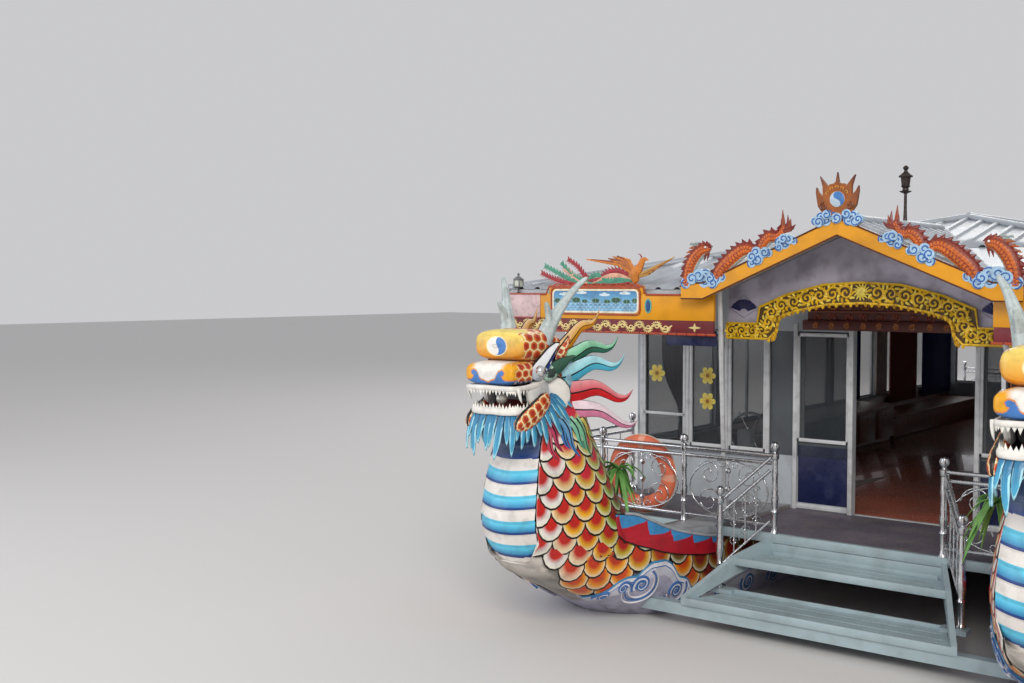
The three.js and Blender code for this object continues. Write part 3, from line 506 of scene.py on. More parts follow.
belly = settled(shaped_grid("belly", 22, 136, belly_skin), 60)
face_brushed(belly, belly_colour)
port_flank = shaped_grid(
    "port_flank", 30, 30, lambda u, v: flank_point(NECK_FOOT + (NECK_TOP - NECK_FOOT) * v, u))
flanks = settled(joined([port_flank, flip_copy(port_flank, "other_flank")], "flanks"), 60)
brushed(flanks, lambda place: OUTLINE)
hand_paint = finish("hand_paint", rough=0.36, cloud=0.14, cloud_size=4, dirt=(GRIME, 0.22), bump=0.2)


def skin_of(*pieces):
    """A search tree of some pieces' surfaces, to lay other pieces on."""
    corners, faces = [], []
    for piece in pieces:
        start = len(corners)
        corners += [v.co.copy() for v in piece.data.vertices]
        faces += [[start + i for i in face.vertices] for face in piece.data.polygons]
    return BVHTree.FromPolygons(corners, faces)


body_skin = skin_of(flanks, hull)


def laid(skin, point, normal, lift):
    """The place on a skin under a point, raised by lift."""
    hit, facing, _, _ = skin.ray_cast(point + normal * 0.25, -normal, 0.7)
    if hit is None:
        hit, facing, _, _ = skin.find_nearest(point)
    if facing.dot(normal) < 0:
        facing = -facing
    return hit + facing.lerp(normal, 0.4).normalized() * lift


SCALE_RINGS = [0.0, 0.44, 0.70, 0.91, 1.0]


def scale_faces(mesh, paint, skin, centre, normal, down, half, long, colours, sides=15, lifts=(-0.004, 0.014),
                dome=0.006):
    """Adds one scale to a mesh: a shallow disc laid on the skin, ringed with core, field, rim and outline colours."""
    down = (down - normal * down.dot(normal)).normalized()
    across = down.cross(normal)
    rings = []
    for ring in SCALE_RINGS:
        row = []
        for k in range(sides if ring else 1):
            angle = 2 * math.pi * (k + 0.5) / sides
            u, v = ring * math.sin(angle), ring * math.cos(angle)
            spot = centre + across * u * half + down * (v - 0.24 * (1 - ring)) * long
            lift = lifts[0] + (lifts[1] - lifts[0]) * (v + 1) / 2 + dome * (1 - ring * ring)
            row.append(mesh.verts.new(laid(skin, spot, normal, lift)))
        rings.append(row)
    core, field, rim = colours
    tones = [(core, core), (core, field), (field, rim), (OUTLINE, OUTLINE)]
    for (inner, outer), (first, last) in zip(zip(rings, rings[1:]), tones):
        for k in range(sides):
            j = (k + 1) % sides
            corners = [(outer[k], last), (outer[j], last), (inner[j % len(inner)], first)]
            if len(inner) > 1:
                corners.append((inner[k], first))
            face = mesh.faces.new([corner for corner, _ in corners])
            face.smooth = True
            for loop, (_, colour) in zip(face.loops, corners):
                loop[paint] = colour


def as_piece(made, name):
    """A mesh built corner by corner, as a piece of the scene."""
    bpy.ops.object.select_all(action="DESELECT")
    bpy.ops.mesh.primitive_plane_add(size=0.1)
    piece = bpy.context.object
    made.to_mesh(piece.data)
    made.free()
    piece.name = piece.data.name = name
    return piece


def row_of(points, start, pitch):
    """Places at an even pitch along a line of points."""
    spots, run, wanted = [], 0.0, start
    for first, second in zip(points, points[1:]):
        step = (second - first).length
        while step > 0 and wanted <= run + step:
            spots.append((first.lerp(second, (wanted - run) / step), wanted))
            wanted += pitch
        run += step
    return spots


RED, WHITE, YELLOW, GREEN = tone("#c41f17"), tone("#e8e3de"), tone("#eeb016"), tone("#86a92c")
ROSE, DARK_GREEN, ORANGE, DEEP_RED = tone("#cf3650"), tone("#2d4c1e"), tone("#ec9712"), tone("#7c1f17")
PALE_RIM, BURNT = tone("#f0ecd2"), tone("#cf4a16")


# Columns: distance behind the belly, paint of a scale's field and of its core
FIELD_PAINTS = [
    (0.0, *WHITE), (0.15, *WHITE), (0.30, *YELLOW), (0.56, *YELLOW), (0.84, *GREEN), (1.12, *DARK_GREEN),
    (9.0, *DARK_GREEN),
]
CORE_PAINTS = [(0.0, *RED), (0.60, *RED), (0.95, *DEEP_RED), (9.0, *DEEP_RED)]


def scale_colours(distance, height):
    """Core, field and rim of a scale, from its distance behind the belly and its height above the deck."""
    distance = distance if height > 0.2 else distance - min((0.2 - height) * 0.9, 0.20)
    field, core = between(FIELD_PAINTS, distance)[1:], between(CORE_PAINTS, distance)[1:]
    if height > 0.45:
        core = mixed(core, ROSE, (height - 0.45) / 0.4 * min(distance * 1.6, 1))
        field = mixed(field, tone("#8fb56a"), (height - 0.45) / 0.5 * min(max(distance - 0.2, 0) * 2.4, 1))
    if height < 0.02:
        field = mixed(field, ORANGE, (0.02 - height) / 0.2 * (1 if distance < 1.2 else 0.3))
        core = mixed(core, BURNT, (0.02 - height) / 0.25 * (1 if distance < 1.2 else 0))
    return core, field, mixed(field, PALE_RIM, 0.72)


ROW_PITCH = 0.128
SCALE_PITCH = 0.236
NECK_ROWS = 10
HULL_SCALE_ROWS = 4
scale_mesh = bmesh.new()
scale_paint_layer = scale_mesh.loops.layers.float_color.new("paint")
chance = random.Random(7)
for row in range(NECK_ROWS + HULL_SCALE_ROWS):
    height = 1.19 - row * ROW_PITCH
    start = 0.02 + (0.5 * SCALE_PITCH if row % 2 else 0)
    if height > 0:
        line = [flank_point(height, i / 40) for i in range(41)]
    else:
        ys = [-2.1 + 15.1 * (i / 300) ** 1.4 for i in range(301)]
        line = [hull_side(y, hull_share(y, height)) for y in ys if hull_side(y, 0).z < up(height - 0.02)]
        line = [point for point in line if point.x > 0.235]
    for spot, distance in row_of(line, start, SCALE_PITCH):
        y, z = spot.y - DECK_FRONT, height
        in_waves = z < max(between(WAVE_LINE, y)[1], between(STEM_LINE, y)[1]) + 0.02
        if z < 0 and (in_waves or z > -0.16 and (y > -0.5 or y < -1.76)):
            continue
        hit, normal, _, _ = body_skin.find_nearest(spot)
        if normal.x < 0 and spot.x > 0.01:
            normal = -normal
        tilt = 0.0 if z > 0.2 else min((0.2 - z) * 1.1, 0.55)
        lean = Vector((0, math.sin(tilt), -math.cos(tilt)))
        grown = 1 + chance.uniform(-0.05, 0.05)
        scale_faces(scale_mesh, scale_paint_layer, body_skin, hit, normal, lean, 0.132 * grown, 0.150 * grown,
                    scale_colours(distance, z), lifts=(-0.004, 0.018 if -0.3 < z < 0.1 else 0.014))
scales = as_piece(scale_mesh, "scales")
scales = joined([scales, flip_copy(scales, "other_scales")], "scales")
on_hulls(flanks, "painted_neck", "scale_paint", hand_paint, "dragon_neck")
on_hulls(belly, "belly_bands", "scale_paint", hand_paint)
on_hulls(scales, "body_scales", "scale_paint", hand_paint)


# The dragons' heads: carved and painted wood in two stacked rolls, a brow above a snout, with six-sided scales
# on their sides, a leaf round each chromed eye, a round white cheek, and a pair of branched horns.
# Columns, here and for every limb: place of the middle line across, aft and up, half width and half height
BROW = [
    (0, -2.270, 1.752, 0.020, 0.006), (0, -2.269, 1.752, 0.130, 0.042), (0, -2.262, 1.752, 0.205, 0.078),
    (0, -2.236, 1.752, 0.243, 0.107), (0, -2.18, 1.756, 0.251, 0.124), (0, -2.05, 1.750, 0.250, 0.134),
    (0, -1.90, 1.742, 0.249, 0.134), (0, -1.78, 1.728, 0.240, 0.118), (0, -1.68, 1.690, 0.218, 0.105),
    (0, -1.61, 1.650, 0.185, 0.080),
]
SNOUT = [
    (0, -2.391, 1.531, 0.020, 0.005), (0, -2.390, 1.531, 0.140, 0.032), (0, -2.384, 1.531, 0.210, 0.058),
    (0, -2.362, 1.531, 0.243, 0.081), (0, -2.31, 1.533, 0.250, 0.094), (0, -2.18, 1.536, 0.250, 0.097),
    (0, -2.00, 1.540, 0.243, 0.099), (0, -1.88, 1.540, 0.236, 0.100), (0, -1.76, 1.540, 0.225, 0.098),
]
SKULL = [
    (0, -1.93, 1.46, 0.17, 0.10), (0, -1.86, 1.48, 0.215, 0.15), (0, -1.74, 1.505, 0.238, 0.165),
    (0, -1.56, 1.505, 0.233, 0.166), (0, -1.46, 1.510, 0.19, 0.130), (0, -1.435, 1.510, 0.12, 0.08),
]
CELL = 0.078
SCALE_RED, SCALE_ORANGE, SCALE_CREAM = tone("#a82a17"), tone("#d8742a"), tone("#efe3b4")
# The brow's yellow is painted light on its top and painted shade towards its foot.
BROW_LIT_TOP, BROW_SHADED_FOOT, IVORY = tone("#e8cf6a"), tone("#d98a10"), tone("#e6e3dc")
MOTIF_BLUE, LEAF_WHITE = tone("#3f78bd"), tone("#dfe3e6")


def section_spot(u, power):
    """The place round a section that is round at power 2 and squarer above, as parts of its half sizes."""
    c, s = math.cos(2 * math.pi * u), math.sin(2 * math.pi * u)
    out = (abs(c) ** power + abs(s) ** power) ** (-1 / power)
    return c * out, s * out


def limb(name, points, around=24, steps=5, power=2.0, upright=False, colour=None, by_face=False, relief=None):
    """A closed body along points of place, half width and half height, round or squarer in section."""
    rows = [(i, *point) for i, point in enumerate(points)]
    count = steps * (len(points) - 1)

    def place(u, v):
        k = v * (count + 2) - 1
        key = min(max(k / steps, 0), len(points) - 1)
        row = eased(rows, key)
        ahead, behind = eased(rows, min(key + 0.02, len(points) - 1)), eased(rows, max(key - 0.02, 0))
        tangent = (Vector(ahead[1:4]) - Vector(behind[1:4])).normalized()
        first = Vector((0, 0, 1)) if upright else Vector((1, 0, 0))
        first = (first - tangent * first.dot(tangent)).normalized()
        second = tangent.cross(first)
        size = (row[5], row[4]) if upright else (row[4], row[5])
        c, s = section_spot(u, power)
        spread = 1 if -0.5 < k < count + 0.5 else 0
        raised = relief(u, v, row[2]) if relief and spread else 0
        out, high = c * (size[0] * spread + raised), s * (size[1] * spread + raised)
        return Vector((row[1], aft(row[2]), up(row[3]))) + first * out + second * high

    return settled(shaped_grid(name, around, count + 2, place, colour, by_face), 70)


def cell_at(a, b, pitch=CELL):
    """Where a spot lies in its six-sided cell, 0 in the middle and 1 at the edge, and where that middle is."""
    high = pitch * 0.87
    row = round(b / high)
    near = []
    for r in (row - 1, row, row + 1):
        shift = pitch / 2 if r % 2 else 0
        c = round((a - shift) / pitch)
        for k in (-1, 0, 1):
            near.append((math.hypot(a - (c + k) * pitch - shift, b - r * high), (c + k) * pitch + shift, r * high))
    near.sort()
    return near[0][0] * 2 / (near[0][0] + near[1][0] + 1e-9), near[0][1], near[0][2]


def cell(a, b, pitch=CELL):
    """How near a spot lies to the edge of its six-sided cell."""
    return cell_at(a, b, pitch)[0]


def cell_colour(share):
    """Red in the middle of a scale, orange further out and cream at its edge."""
    if share > 0.86:
        return SCALE_CREAM
    return mixed(SCALE_RED, SCALE_ORANGE, (share - 0.40) / 0.4)


def station(points, v, steps=5):
    """The row of a limb's table at a share of its length."""
    count = steps * (len(points) - 1)
    key = min(max((v * (count + 2) - 1) / steps, 0), len(points) - 1)
    return row_at(points, key)


HEAD_STEPS = 12
BROW_POWER = 3.6


def roll_spot(points, u, v):
    """A spot on one of the head's rolls: place aft, out and up, and the way round the section from its middle."""
    _, y, _, half, tall = station(points, v, HEAD_STEPS)
    x, z = section_spot(u, BROW_POWER)
    wide, high = abs(x) * half, -z * tall
    return y, x * half, high, high if abs(x) > abs(z) else math.copysign(tall + half - wide, high)


def scaled_there(middle, row):
    """Whether the brow has a scale at a cell: on its sides, and all round further aft."""
    return middle > -1.655 and (abs(row) < 0.20 or middle > -1.53)


def brow_relief(u, v, y):
    """How far a scale of the brow stands out."""
    y, wide, high, turn = roll_spot(BROW, u, v)
    share, middle, row = cell_at(y / 1.35, turn)
    return 0.005 * (1 - share ** 3) if y > -2.23 and scaled_there(middle, row) else 0


def brow_colour(u, v):
    """A ringed disc on the forehead, scales on the sides and further aft, and yellow between them, painted light at its
    top and painted shade towards its foot.
    """
    y, wide, high, turn = roll_spot(BROW, u, v)
    if y < -2.23:
        ring = (wide / 0.098) ** 2 + (high / 0.073) ** 2
        if ring < 1.22:
            if ring > 1:
                return SCALE_CREAM
            return MOTIF_BLUE if wide > 0.004 - 0.014 * math.sin(45 * high) else IVORY
    share, middle, row = cell_at(y / 1.35, turn)
    if y > -2.23 and scaled_there(middle, row):
        return cell_colour(share)
    # Painted light on the top of the brow, fading to painted shade at its foot.
    return mixed(BROW_SHADED_FOOT, BROW_LIT_TOP, (high + 0.09) / 0.19)


def snout_colour(u, v):
    """Blue crests and curls on ivory in front, scales behind, over a striped edge."""
    y, side, high, turn = roll_spot(SNOUT, u, v)
    wide = abs(side)
    if high < -0.088:
        return tone("#2a1214")
    share, middle, row = cell_at(y / 1.3, turn, 0.068)
    if y > -2.335 and (high < -0.062 and wide > 0.2 or y > -2.04):
        return mixed(tone("#223f7c"), IVORY, 0.9 if math.sin(90 * y + 60 * high) > 0.4 else 0)
    if y > -2.345 and middle > -1.80 and (abs(row) < 0.15 or middle > -1.63):
        return cell_colour(share)
    crest = -0.050 + 0.075 * math.exp(-((wide - 0.118) / 0.030) ** 2) - 0.018 * math.exp(-(wide / 0.03) ** 2)
    curl = math.hypot(wide - 0.146, high - 0.012) < 0.022
    if high < crest or curl:
        return MOTIF_BLUE
    if high < crest + 0.012 or math.hypot(wide - 0.146, high - 0.012) < 0.031:
        return tone("#e08a3c")
    return mixed(IVORY, tone("#e9a510"), (wide - 0.105 - 0.3 * high) / 0.05)


brow = limb("brow", BROW, 176, HEAD_STEPS, BROW_POWER, colour=brow_colour, relief=brow_relief)
snout = limb("snout", SNOUT, 160, HEAD_STEPS, BROW_POWER, colour=snout_colour)
skull = limb("skull", SKULL, 64, 8, 2.6, by_face=True,
             colour=lambda u, v: cell_colour(cell(station(SKULL, v, 8)[1], 1.2 * u, 0.09)))

HORN = [
    (0.180, -1.90, 1.77, 0.080, 0.070), (0.205, -1.868, 1.86, 0.076, 0.062), (0.235, -1.835, 1.95, 0.064, 0.052),
    (0.290, -1.78, 2.07, 0.046, 0.038), (0.360, -1.71, 2.20, 0.032, 0.026), (0.425, -1.652, 2.285, 0.022, 0.018),
    (0.446, -1.634, 2.308, 0.006, 0.005),
]
HORN_BRANCH = [
    (0.228, -1.85, 1.88, 0.044, 0.040), (0.236, -1.885, 2.00, 0.032, 0.028), (0.248, -1.93, 2.085, 0.020, 0.018),
    (0.253, -1.944, 2.106, 0.005, 0.005),
]
HORN_GREY, HORN_PALE = tone("#97a6a8"), tone("#ccd6d4")


def horn_colour(u, v):
    """Grey streaks that fade towards the tip."""
    return mixed(HORN_PALE, HORN_GREY, 0.5 + 0.5 * math.sin(14 * math.pi * u + 3 * v) * (1 - v))


horn = joined([
    limb("horn", HORN, 14, 5, colour=horn_colour),
    limb("horn_branch", HORN_BRANCH, 10, 5, colour=horn_colour),
], "horn")

CHEEK = (0.212, -1.795, 1.330)
CHEEK_RADIUS = 0.158
CHEEK_TURN = -38


def ball(name, middle, radii, colour, rings=20, turn=0):
    """A closed ball with its own three radii, turned about its upright axis, painted by colour(direction)."""
    turned = Matrix.Rotation(math.radians(turn), 3, "Z")

    def place(u, v):
        a, b = 2 * math.pi * u, math.pi * v
        way = Vector((math.sin(b) * math.cos(a), math.sin(b) * math.sin(a), -math.cos(b)))
        way = Vector([part * radius for part, radius in zip(way, radii)])
        return Vector((middle[0], aft(middle[1]), up(middle[2]))) + turned @ way

    def painted(u, v):
        a, b = 2 * math.pi * u, math.pi * v
        return colour(Vector((math.sin(b) * math.cos(a), math.sin(b) * math.sin(a), -math.cos(b))))

    return settled(shaped_grid(name, rings * 2, rings, place, painted), 80)


cheek = ball("cheek", CHEEK, (0.062, CHEEK_RADIUS, CHEEK_RADIUS * 1.06),
             lambda way: mixed(tone("#2d6fb0"), IVORY, 0.85 + 1.3 * way.y + 0.9 * way.z) if way.x > 0.40 else OUTLINE,
             26, CHEEK_TURN)

# The eye's middle, and how far the leaves behind it turn outward
EYE = (0.268, -2.045, 1.548)
PLATE_TURN = 0.30
EYE_RADIUS = 0.052


def leaf_plate(name, points, thick, colour, x):
    """A leaf cut from board and crowned in the middle, along points of y, z and half width."""
    rows = [(i, *point) for i, point in enumerate(points)]
    steps = 4 * (len(points) - 1)

    def place(u, v):
        key = v * (len(points) - 1)
        _, y, z, half = eased(rows, key)
        ahead, behind = eased(rows, min(key + 0.05, len(points) - 1)), eased(rows, max(key - 0.05, 0))
        way = Vector((0, ahead[1] - behind[1], ahead[2] - behind[2])).normalized()
        over = Vector((0, -way.z, way.y))
        a = 2 * math.pi * u
        lean = math.cos(a)
        crown = Vector((thick * math.sin(a) * (1.3 - 0.3 * abs(lean)), 0, 0))
        spot = Vector((x, aft(y), up(z))) + over * (half * lean) + crown
        spot.x += PLATE_TURN * (spot.y - aft(points[0][0]) - 0.10)
        return spot

    return settled(shaped_grid(name, 28, steps, place, colour, by_face=True), 50)


def eye_leaf_colour(u, v):
    """White on one half and blue strokes on the other, with a dark edge and vein."""
    lean = math.cos(2 * math.pi * u)
    if abs(lean) > 0.88 or v > 0.96 or v > 0.42 and abs(lean + 0.1) < 0.07:
        return OUTLINE
    if v < 0.42:
        return mixed(tone("#8494a2"), LEAF_WHITE, v * 2)
    return LEAF_WHITE if lean > -0.1 or math.sin(46 * v + 3 * lean) > 0.86 else tone("#24428f")


def ear_colour(u, v):
    """Small scales in a dark edge."""
    return OUTLINE if abs(math.cos(2 * math.pi * u)) > 0.86 else cell_colour(cell(v * 0.25, u * 0.3, 0.05))


def spot_leaf_colour(u, v):
    """Pale green with a dark spot, a darker tip and a dark edge."""
    lean = math.cos(2 * math.pi * u)
    if abs(lean) > 0.88:
        return OUTLINE
    if math.hypot(lean * 0.9, (v - 0.36) * 3.6) < 0.52:
        return tone("#2f3f3c")
    return tone("#2c5a48") if v > 0.52 else tone("#a9c9b6")


LEAF_X = 0.262
eye_leaf = leaf_plate("eye_leaf", [
    (-2.110, 1.480, 0.012), (-2.086, 1.505, 0.058), (-2.045, 1.550, 0.076), (-1.985, 1.625, 0.064),
    (-1.927, 1.705, 0.043), (-1.868, 1.778, 0.004),
], 0.030, eye_leaf_colour, LEAF_X)
ear = leaf_plate("ear", [
    (-1.79, 1.58, 0.01), (-1.76, 1.62, 0.045), (-1.725, 1.68, 0.05), (-1.68, 1.76, 0.03), (-1.655, 1.82, 0.004),
], 0.02, ear_colour, LEAF_X)
spot_leaf = leaf_plate("spot_leaf", [
    (-1.97, 1.475, 0.01), (-1.93, 1.500, 0.055), (-1.865, 1.545, 0.066), (-1.77, 1.600, 0.050), (-1.66, 1.66, 0.004),
], 0.024, spot_leaf_colour, LEAF_X)

# The open mouth: ivory lips set with cut teeth, a near-black throat that is painted shade deep in the
# mouth, and a pearl that rests on the tongue.
UPPER_LIP = [
    (0.236, -1.92, 1.475, 0.012, 0.018), (0.246, -2.05, 1.438, 0.015, 0.026), (0.248, -2.20, 1.422, 0.016, 0.022),
    (0.242, -2.31, 1.420, 0.016, 0.020), (0.205, -2.364, 1.420, 0.016, 0.020), (0.10, -2.377, 1.421, 0.016, 0.021),
    (0, -2.378, 1.423, 0.016, 0.020),
]
LOWER_LIP = [
    (0.236, -1.94, 1.385, 0.012, 0.018), (0.244, -2.04, 1.300, 0.015, 0.034), (0.244, -2.15, 1.243, 0.016, 0.032),
    (0.234, -2.27, 1.232, 0.016, 0.028), (0.195, -2.320, 1.230, 0.016, 0.028), (0.10, -2.335, 1.228, 0.016, 0.030),
    (0, -2.336, 1.230, 0.016, 0.028),
]
# The throat's near-black is painted shade inside the open mouth; the tongue's dark red is its own colour.
THROAT_SHADE, TONGUE = tone("#0f0b0c"), tone("#5c1718")


def whole_lip(points):
    """The points of a lip and of its mirror image."""
    return points + [(-x, y, z, wide, high) for x, y, z, wide, high in points[-2::-1]]


def lip_colour(u, v):
    """Ivory with a dark line along the inside."""
    return OUTLINE if abs(math.sin(2 * math.pi * u)) < 0.10 and math.cos(2 * math.pi * u) < 0 else IVORY


upper_lip = limb("upper_lip", whole_lip(UPPER_LIP), 16, 4, 2.4, upright=True, colour=lip_colour, by_face=True)
lower_lip = limb("lower_lip", whole_lip(LOWER_LIP), 16, 4, 2.4, upright=True, colour=lip_colour, by_face=True)


def teeth(name, points, sign, count, high):
    """A row of small pointed teeth along a lip."""
    made = bmesh.new()
    layer = made.loops.layers.float_color.new("paint")
    rows = [(i, *point) for i, point in enumerate(whole_lip(points))]
    last = len(rows) - 1
    for i in range(count):
        key = 1.1 + (last - 2.2) * (i + 0.5) / count
        _, x, y, z, wide, tall = eased(rows, key)
        ahead = eased(rows, key + 0.05)
        way = (Vector(ahead[1:3]) - Vector((x, y))).normalized() * 0.019
        root = Vector((x, aft(y), up(z) + sign * tall * 0.7))
        over = Vector((-way.y, way.x)) * 0.45
        long = high * (1.0 + 0.25 * math.sin(i * 2.3))
        way, over = Vector((*way, 0)), Vector((*over, 0))
        corners = [root + way, root + over, root - way, root - over]
        tip = made.verts.new(root + Vector((0, 0, sign * long)))
        ring = [made.verts.new(c) for c in corners]
        inner = [made.verts.new(c - Vector((0, 0, sign * 0.01))) for c in corners]
        for k in range(4):
            j = (k + 1) % 4
            made.faces.new((ring[k], ring[j], tip))
            made.faces.new((inner[k], inner[j], ring[j], ring[k]))
        made.faces.new(inner)
    for face in made.faces:
        for loop in face.loops:
            loop[layer] = tone("#eceae2")
    return settled(as_piece(made, name), 30)


FANG = [(0.258, -2.322, 1.430, 0.016, 0.018), (0.262, -2.310, 1.385, 0.014, 0.016),
        (0.262, -2.292, 1.335, 0.009, 0.010),
        (0.260, -2.270, 1.300, 0.001, 0.001)]
fang = limb("fang", FANG, 10, 4, colour=lambda u, v: tone("#f0efe8"))
LIP_SKIN = [
    (0.222, -2.145, 1.330, 0.018, 0.062), (0.228, -2.11, 1.342, 0.027, 0.098), (0.228, -2.03, 1.366, 0.028, 0.108),
    (0.224, -1.95, 1.395, 0.027, 0.092), (0.212, -1.88, 1.42, 0.018, 0.050),
]
lip_skin = limb("lip_skin", LIP_SKIN, 24, 5, 2.6, colour=lambda u, v: mixed(IVORY, tone("#c9cdd2"), v))
# The throat's back wall is painted near-black, as painted shade.
THROAT_BODY = [(0, -2.06, 1.34, 0.18, 0.08), (0, -2.04, 1.34, 0.205, 0.11), (0, -1.96, 1.35, 0.21, 0.12),
               (0, -1.86, 1.38, 0.20, 0.11)]
throat = limb("throat", THROAT_BODY, 24, 3, 3.0, colour=lambda u, v: THROAT_SHADE)
TONGUE_BODY = [(0, -2.27, 1.255, 0.07, 0.012), (0, -2.24, 1.258, 0.12, 0.018), (0, -2.12, 1.265, 0.14, 0.022),
               (0, -1.98, 1.30, 0.14, 0.03)]
tongue = limb("tongue", TONGUE_BODY, 20, 3, 2.4, colour=lambda u, v: TONGUE)
JAW_FLOOR = [(0, -2.322, 1.225, 0.17, 0.02), (0, -2.29, 1.222, 0.213, 0.026), (0, -2.10, 1.225, 0.228, 0.032),
             (0, -1.90, 1.265, 0.228, 0.06), (0, -1.84, 1.28, 0.20, 0.05)]
# The jaw floor's upper face, inside the mouth, is painted near-black as painted shade; its underside is pale blue.
jaw_floor = limb("jaw_floor", JAW_FLOOR, 28, 4, 3.0,
                 colour=lambda u, v: THROAT_SHADE if math.sin(2 * math.pi * u) < 0 else tone("#8fb8cc"))
JAW_CRESCENT = [
    (0.248, -2.325, 1.085, 0.012, 0.014), (0.254, -2.295, 1.118, 0.036, 0.060), (0.260, -2.225, 1.158, 0.044, 0.082),
    (0.262, -2.130, 1.203, 0.046, 0.085), (0.262, -2.040, 1.258, 0.044, 0.080), (0.258, -1.962, 1.312, 0.038, 0.064),
    (0.250, -1.920, 1.352, 0.012, 0.018),
]
jaw_crescent = limb(
    "jaw_crescent", JAW_CRESCENT, 48, 10, 2.3, upright=False,
    colour=lambda u, v: OUTLINE if v < 0.02 or v > 0.98 or math.sin(2 * math.pi * u) < -0.93 else
    cell_colour(cell(v * 0.52, u * 0.42, 0.074)), by_face=True,
    relief=lambda u, v, y: 0.004 * (1 - cell(v * 0.52, u * 0.42, 0.074) ** 3))

# The beard and ruff: one pleated sheet of carved locks that hangs from the chin and turns up behind the jaws.
# Columns: place of the upper edge, then of the lower edge, from the middle of the chin to behind the cheek
BEARD = [
    (0.000, -2.300, 1.225, 0.000, -2.372, 0.915), (0.120, -2.300, 1.225, 0.125, -2.368, 0.915),
    (0.205, -2.285, 1.215, 0.225, -2.350, 0.920), (0.238, -2.220, 1.180, 0.268, -2.270, 0.930),
    (0.242, -2.120, 1.195, 0.290, -2.120, 0.940), (0.244, -2.020, 1.260, 0.300, -1.950, 0.960),
    (0.244, -1.930, 1.320, 0.308, -1.800, 1.040), (0.236, -1.860, 1.350, 0.306, -1.700, 1.150),
    (0.226, -1.810, 1.380, 0.300, -1.640, 1.250),
]
LOCKS = 32
BEARD_COLUMNS = 8
lock_chance = random.Random(11)
lock_lengths = []
for i in range(LOCKS):
    long = lock_chance.uniform(0.90, 1.14) if i % 2 else lock_chance.uniform(0.60, 0.82)
    lock_lengths.append(long + 0.10 * (1 - abs(2 * i / LOCKS - 1)))
lock_leans = [lock_chance.uniform(-0.5, 0.5) for _ in range(LOCKS)]
# The beard's deep navy is painted shade in the creases between the locks, and also tints darker strokes along each
# lock.
BEARD_BLUE, BEARD_PALE, BEARD_STROKE_AND_SHADE = tone("#3f9fc9"), tone("#a5dcea"), tone("#123049")


def beard_spot(u):
    """The lock that a place round the beard is in, and its place across that lock."""
    i = min(int(u * LOCKS), LOCKS - 1)
    return i, u * LOCKS - i


def beard_place(u, v):
    """A spot on the pleated sheet, u round the jaws and v down the locks."""
    i, f = beard_spot(u)
    side = 2 * u - 1
    x0, y0, z0, x1, y1, z1 = row_at(BEARD, abs(side) * (len(BEARD) - 1))
    sign = 1 if side >= 0 else -1
    top, foot = Vector((sign * x0, aft(y0), up(z0))), Vector((sign * x1, aft(y1), up(z1)))
    long = lock_lengths[i] - 0.62 * abs(2 * f - 1) ** 1.6
    share = v * long
    point = top.lerp(foot, share)
    outward = Vector((sign * min(abs(side) * 3.2, 1.0), -max(1 - abs(side) * 2.2, 0.12), 0)).normalized()
    ridge = 0.020 * math.cos(math.pi * (f - 0.5)) * min(v * 5, 1) * (1 - 0.5 * v)
    billow = 0.022 * math.sin(math.pi * share)
    point += outward * (ridge + billow)
    along = Vector((outward.y, -outward.x, 0))
    point += along * lock_leans[i] * 0.05 * share * share
    return point


def beard_colour(u, v):
    """Blue locks with pale tips and darker strokes, and painted shade in the dark creases between the locks."""
    i, f = beard_spot(u)
    edge = abs(2 * f - 1)
    # Painted shade: dark navy in the creases where the locks meet.
    if edge > 0.78 and v < 0.90:
        return BEARD_STROKE_AND_SHADE
    if v > 0.88 or edge > 0.62 and v > 0.45:
        return BEARD_PALE
    if 0.18 < edge < 0.34 and v < 0.7:
        return mixed(BEARD_BLUE, BEARD_STROKE_AND_SHADE, 0.45)
    return mixed(tone("#1f6796"), tone("#449fc4"), v * 1.2)


def thickened(piece, thick, offset=-1.0):
    """Gives a sheet its thickness."""
    alone(piece)
    solidify = piece.modifiers.new("thickness", "SOLIDIFY")
    solidify.thickness = thick
    solidify.offset = offset
    bpy.ops.object.modifier_apply(modifier=solidify.name)
    return piece


beard = settled(shaped_grid("beard", LOCKS * BEARD_COLUMNS, 12, beard_place, beard_colour, True), 50)
beard = thickened(beard, 0.014, 0)

# The mane: five pairs of flame-shaped tongues, sawn and carved from board, that stream aft from behind the cheeks
# Columns: root height, tip height, reach aft, spread outward, half height, upper paint, lower paint
FLAMES = [
    (1.720, 2.00, 0.34, 0.11, 0.070, tone("#e3ab45"), tone("#d88d10")),
    (1.610, 1.76, 0.48, 0.21, 0.080, tone("#79cda0"), tone("#2c6a55")),
    (1.490, 1.60, 0.52, 0.25, 0.088, tone("#9be0ec"), tone("#49b0cd")),
    (1.360, 1.29, 0.59, 0.29, 0.090, tone("#e0606c"), tone("#cf1119")),
    (1.240, 1.03, 0.66, 0.30, 0.078, tone("#ecd3de"), tone("#d67d9f")),
]
FLAME_ROOT = (0.225, -1.70)
FLAME_WAVE = [
    (0, -0.10, 0.95), (0.12, -0.06, 1.05), (0.26, 0.18, 0.98), (0.40, 0.46, 0.84), (0.52, 0.46, 0.70),
    (0.64, 0.12, 0.58), (0.76, -0.28, 0.46), (0.87, -0.30, 0.33), (0.94, 0.02, 0.20), (1.0, 0.62, 0.02),
]


def flame_points(root, tip, reach, spread, half):
    """The points of one tongue of the mane, from its root aft."""
    points = []
    for t, wave, size in FLAME_WAVE:
        x, y, z = FLAME_ROOT[0] + spread * t, FLAME_ROOT[1] + (reach + 0.07) * t, root + (tip - root) * t + wave * half
        points.append((x, y, z, 0.026 * max(size, 0.08), half * size))
    return points


def flame_painter(upper, lower):
    """Two paints on a tongue, parted by a dark vein and edged in black."""
    def painted(u, v):
        lean = -math.sin(2 * math.pi * u)
        if abs(lean) > 0.93 or abs(lean + 0.05) < 0.085:
            return OUTLINE
        return mixed(upper, tone("#ffffff"), 0.25 * lean) if lean > 0 else lower
    return painted


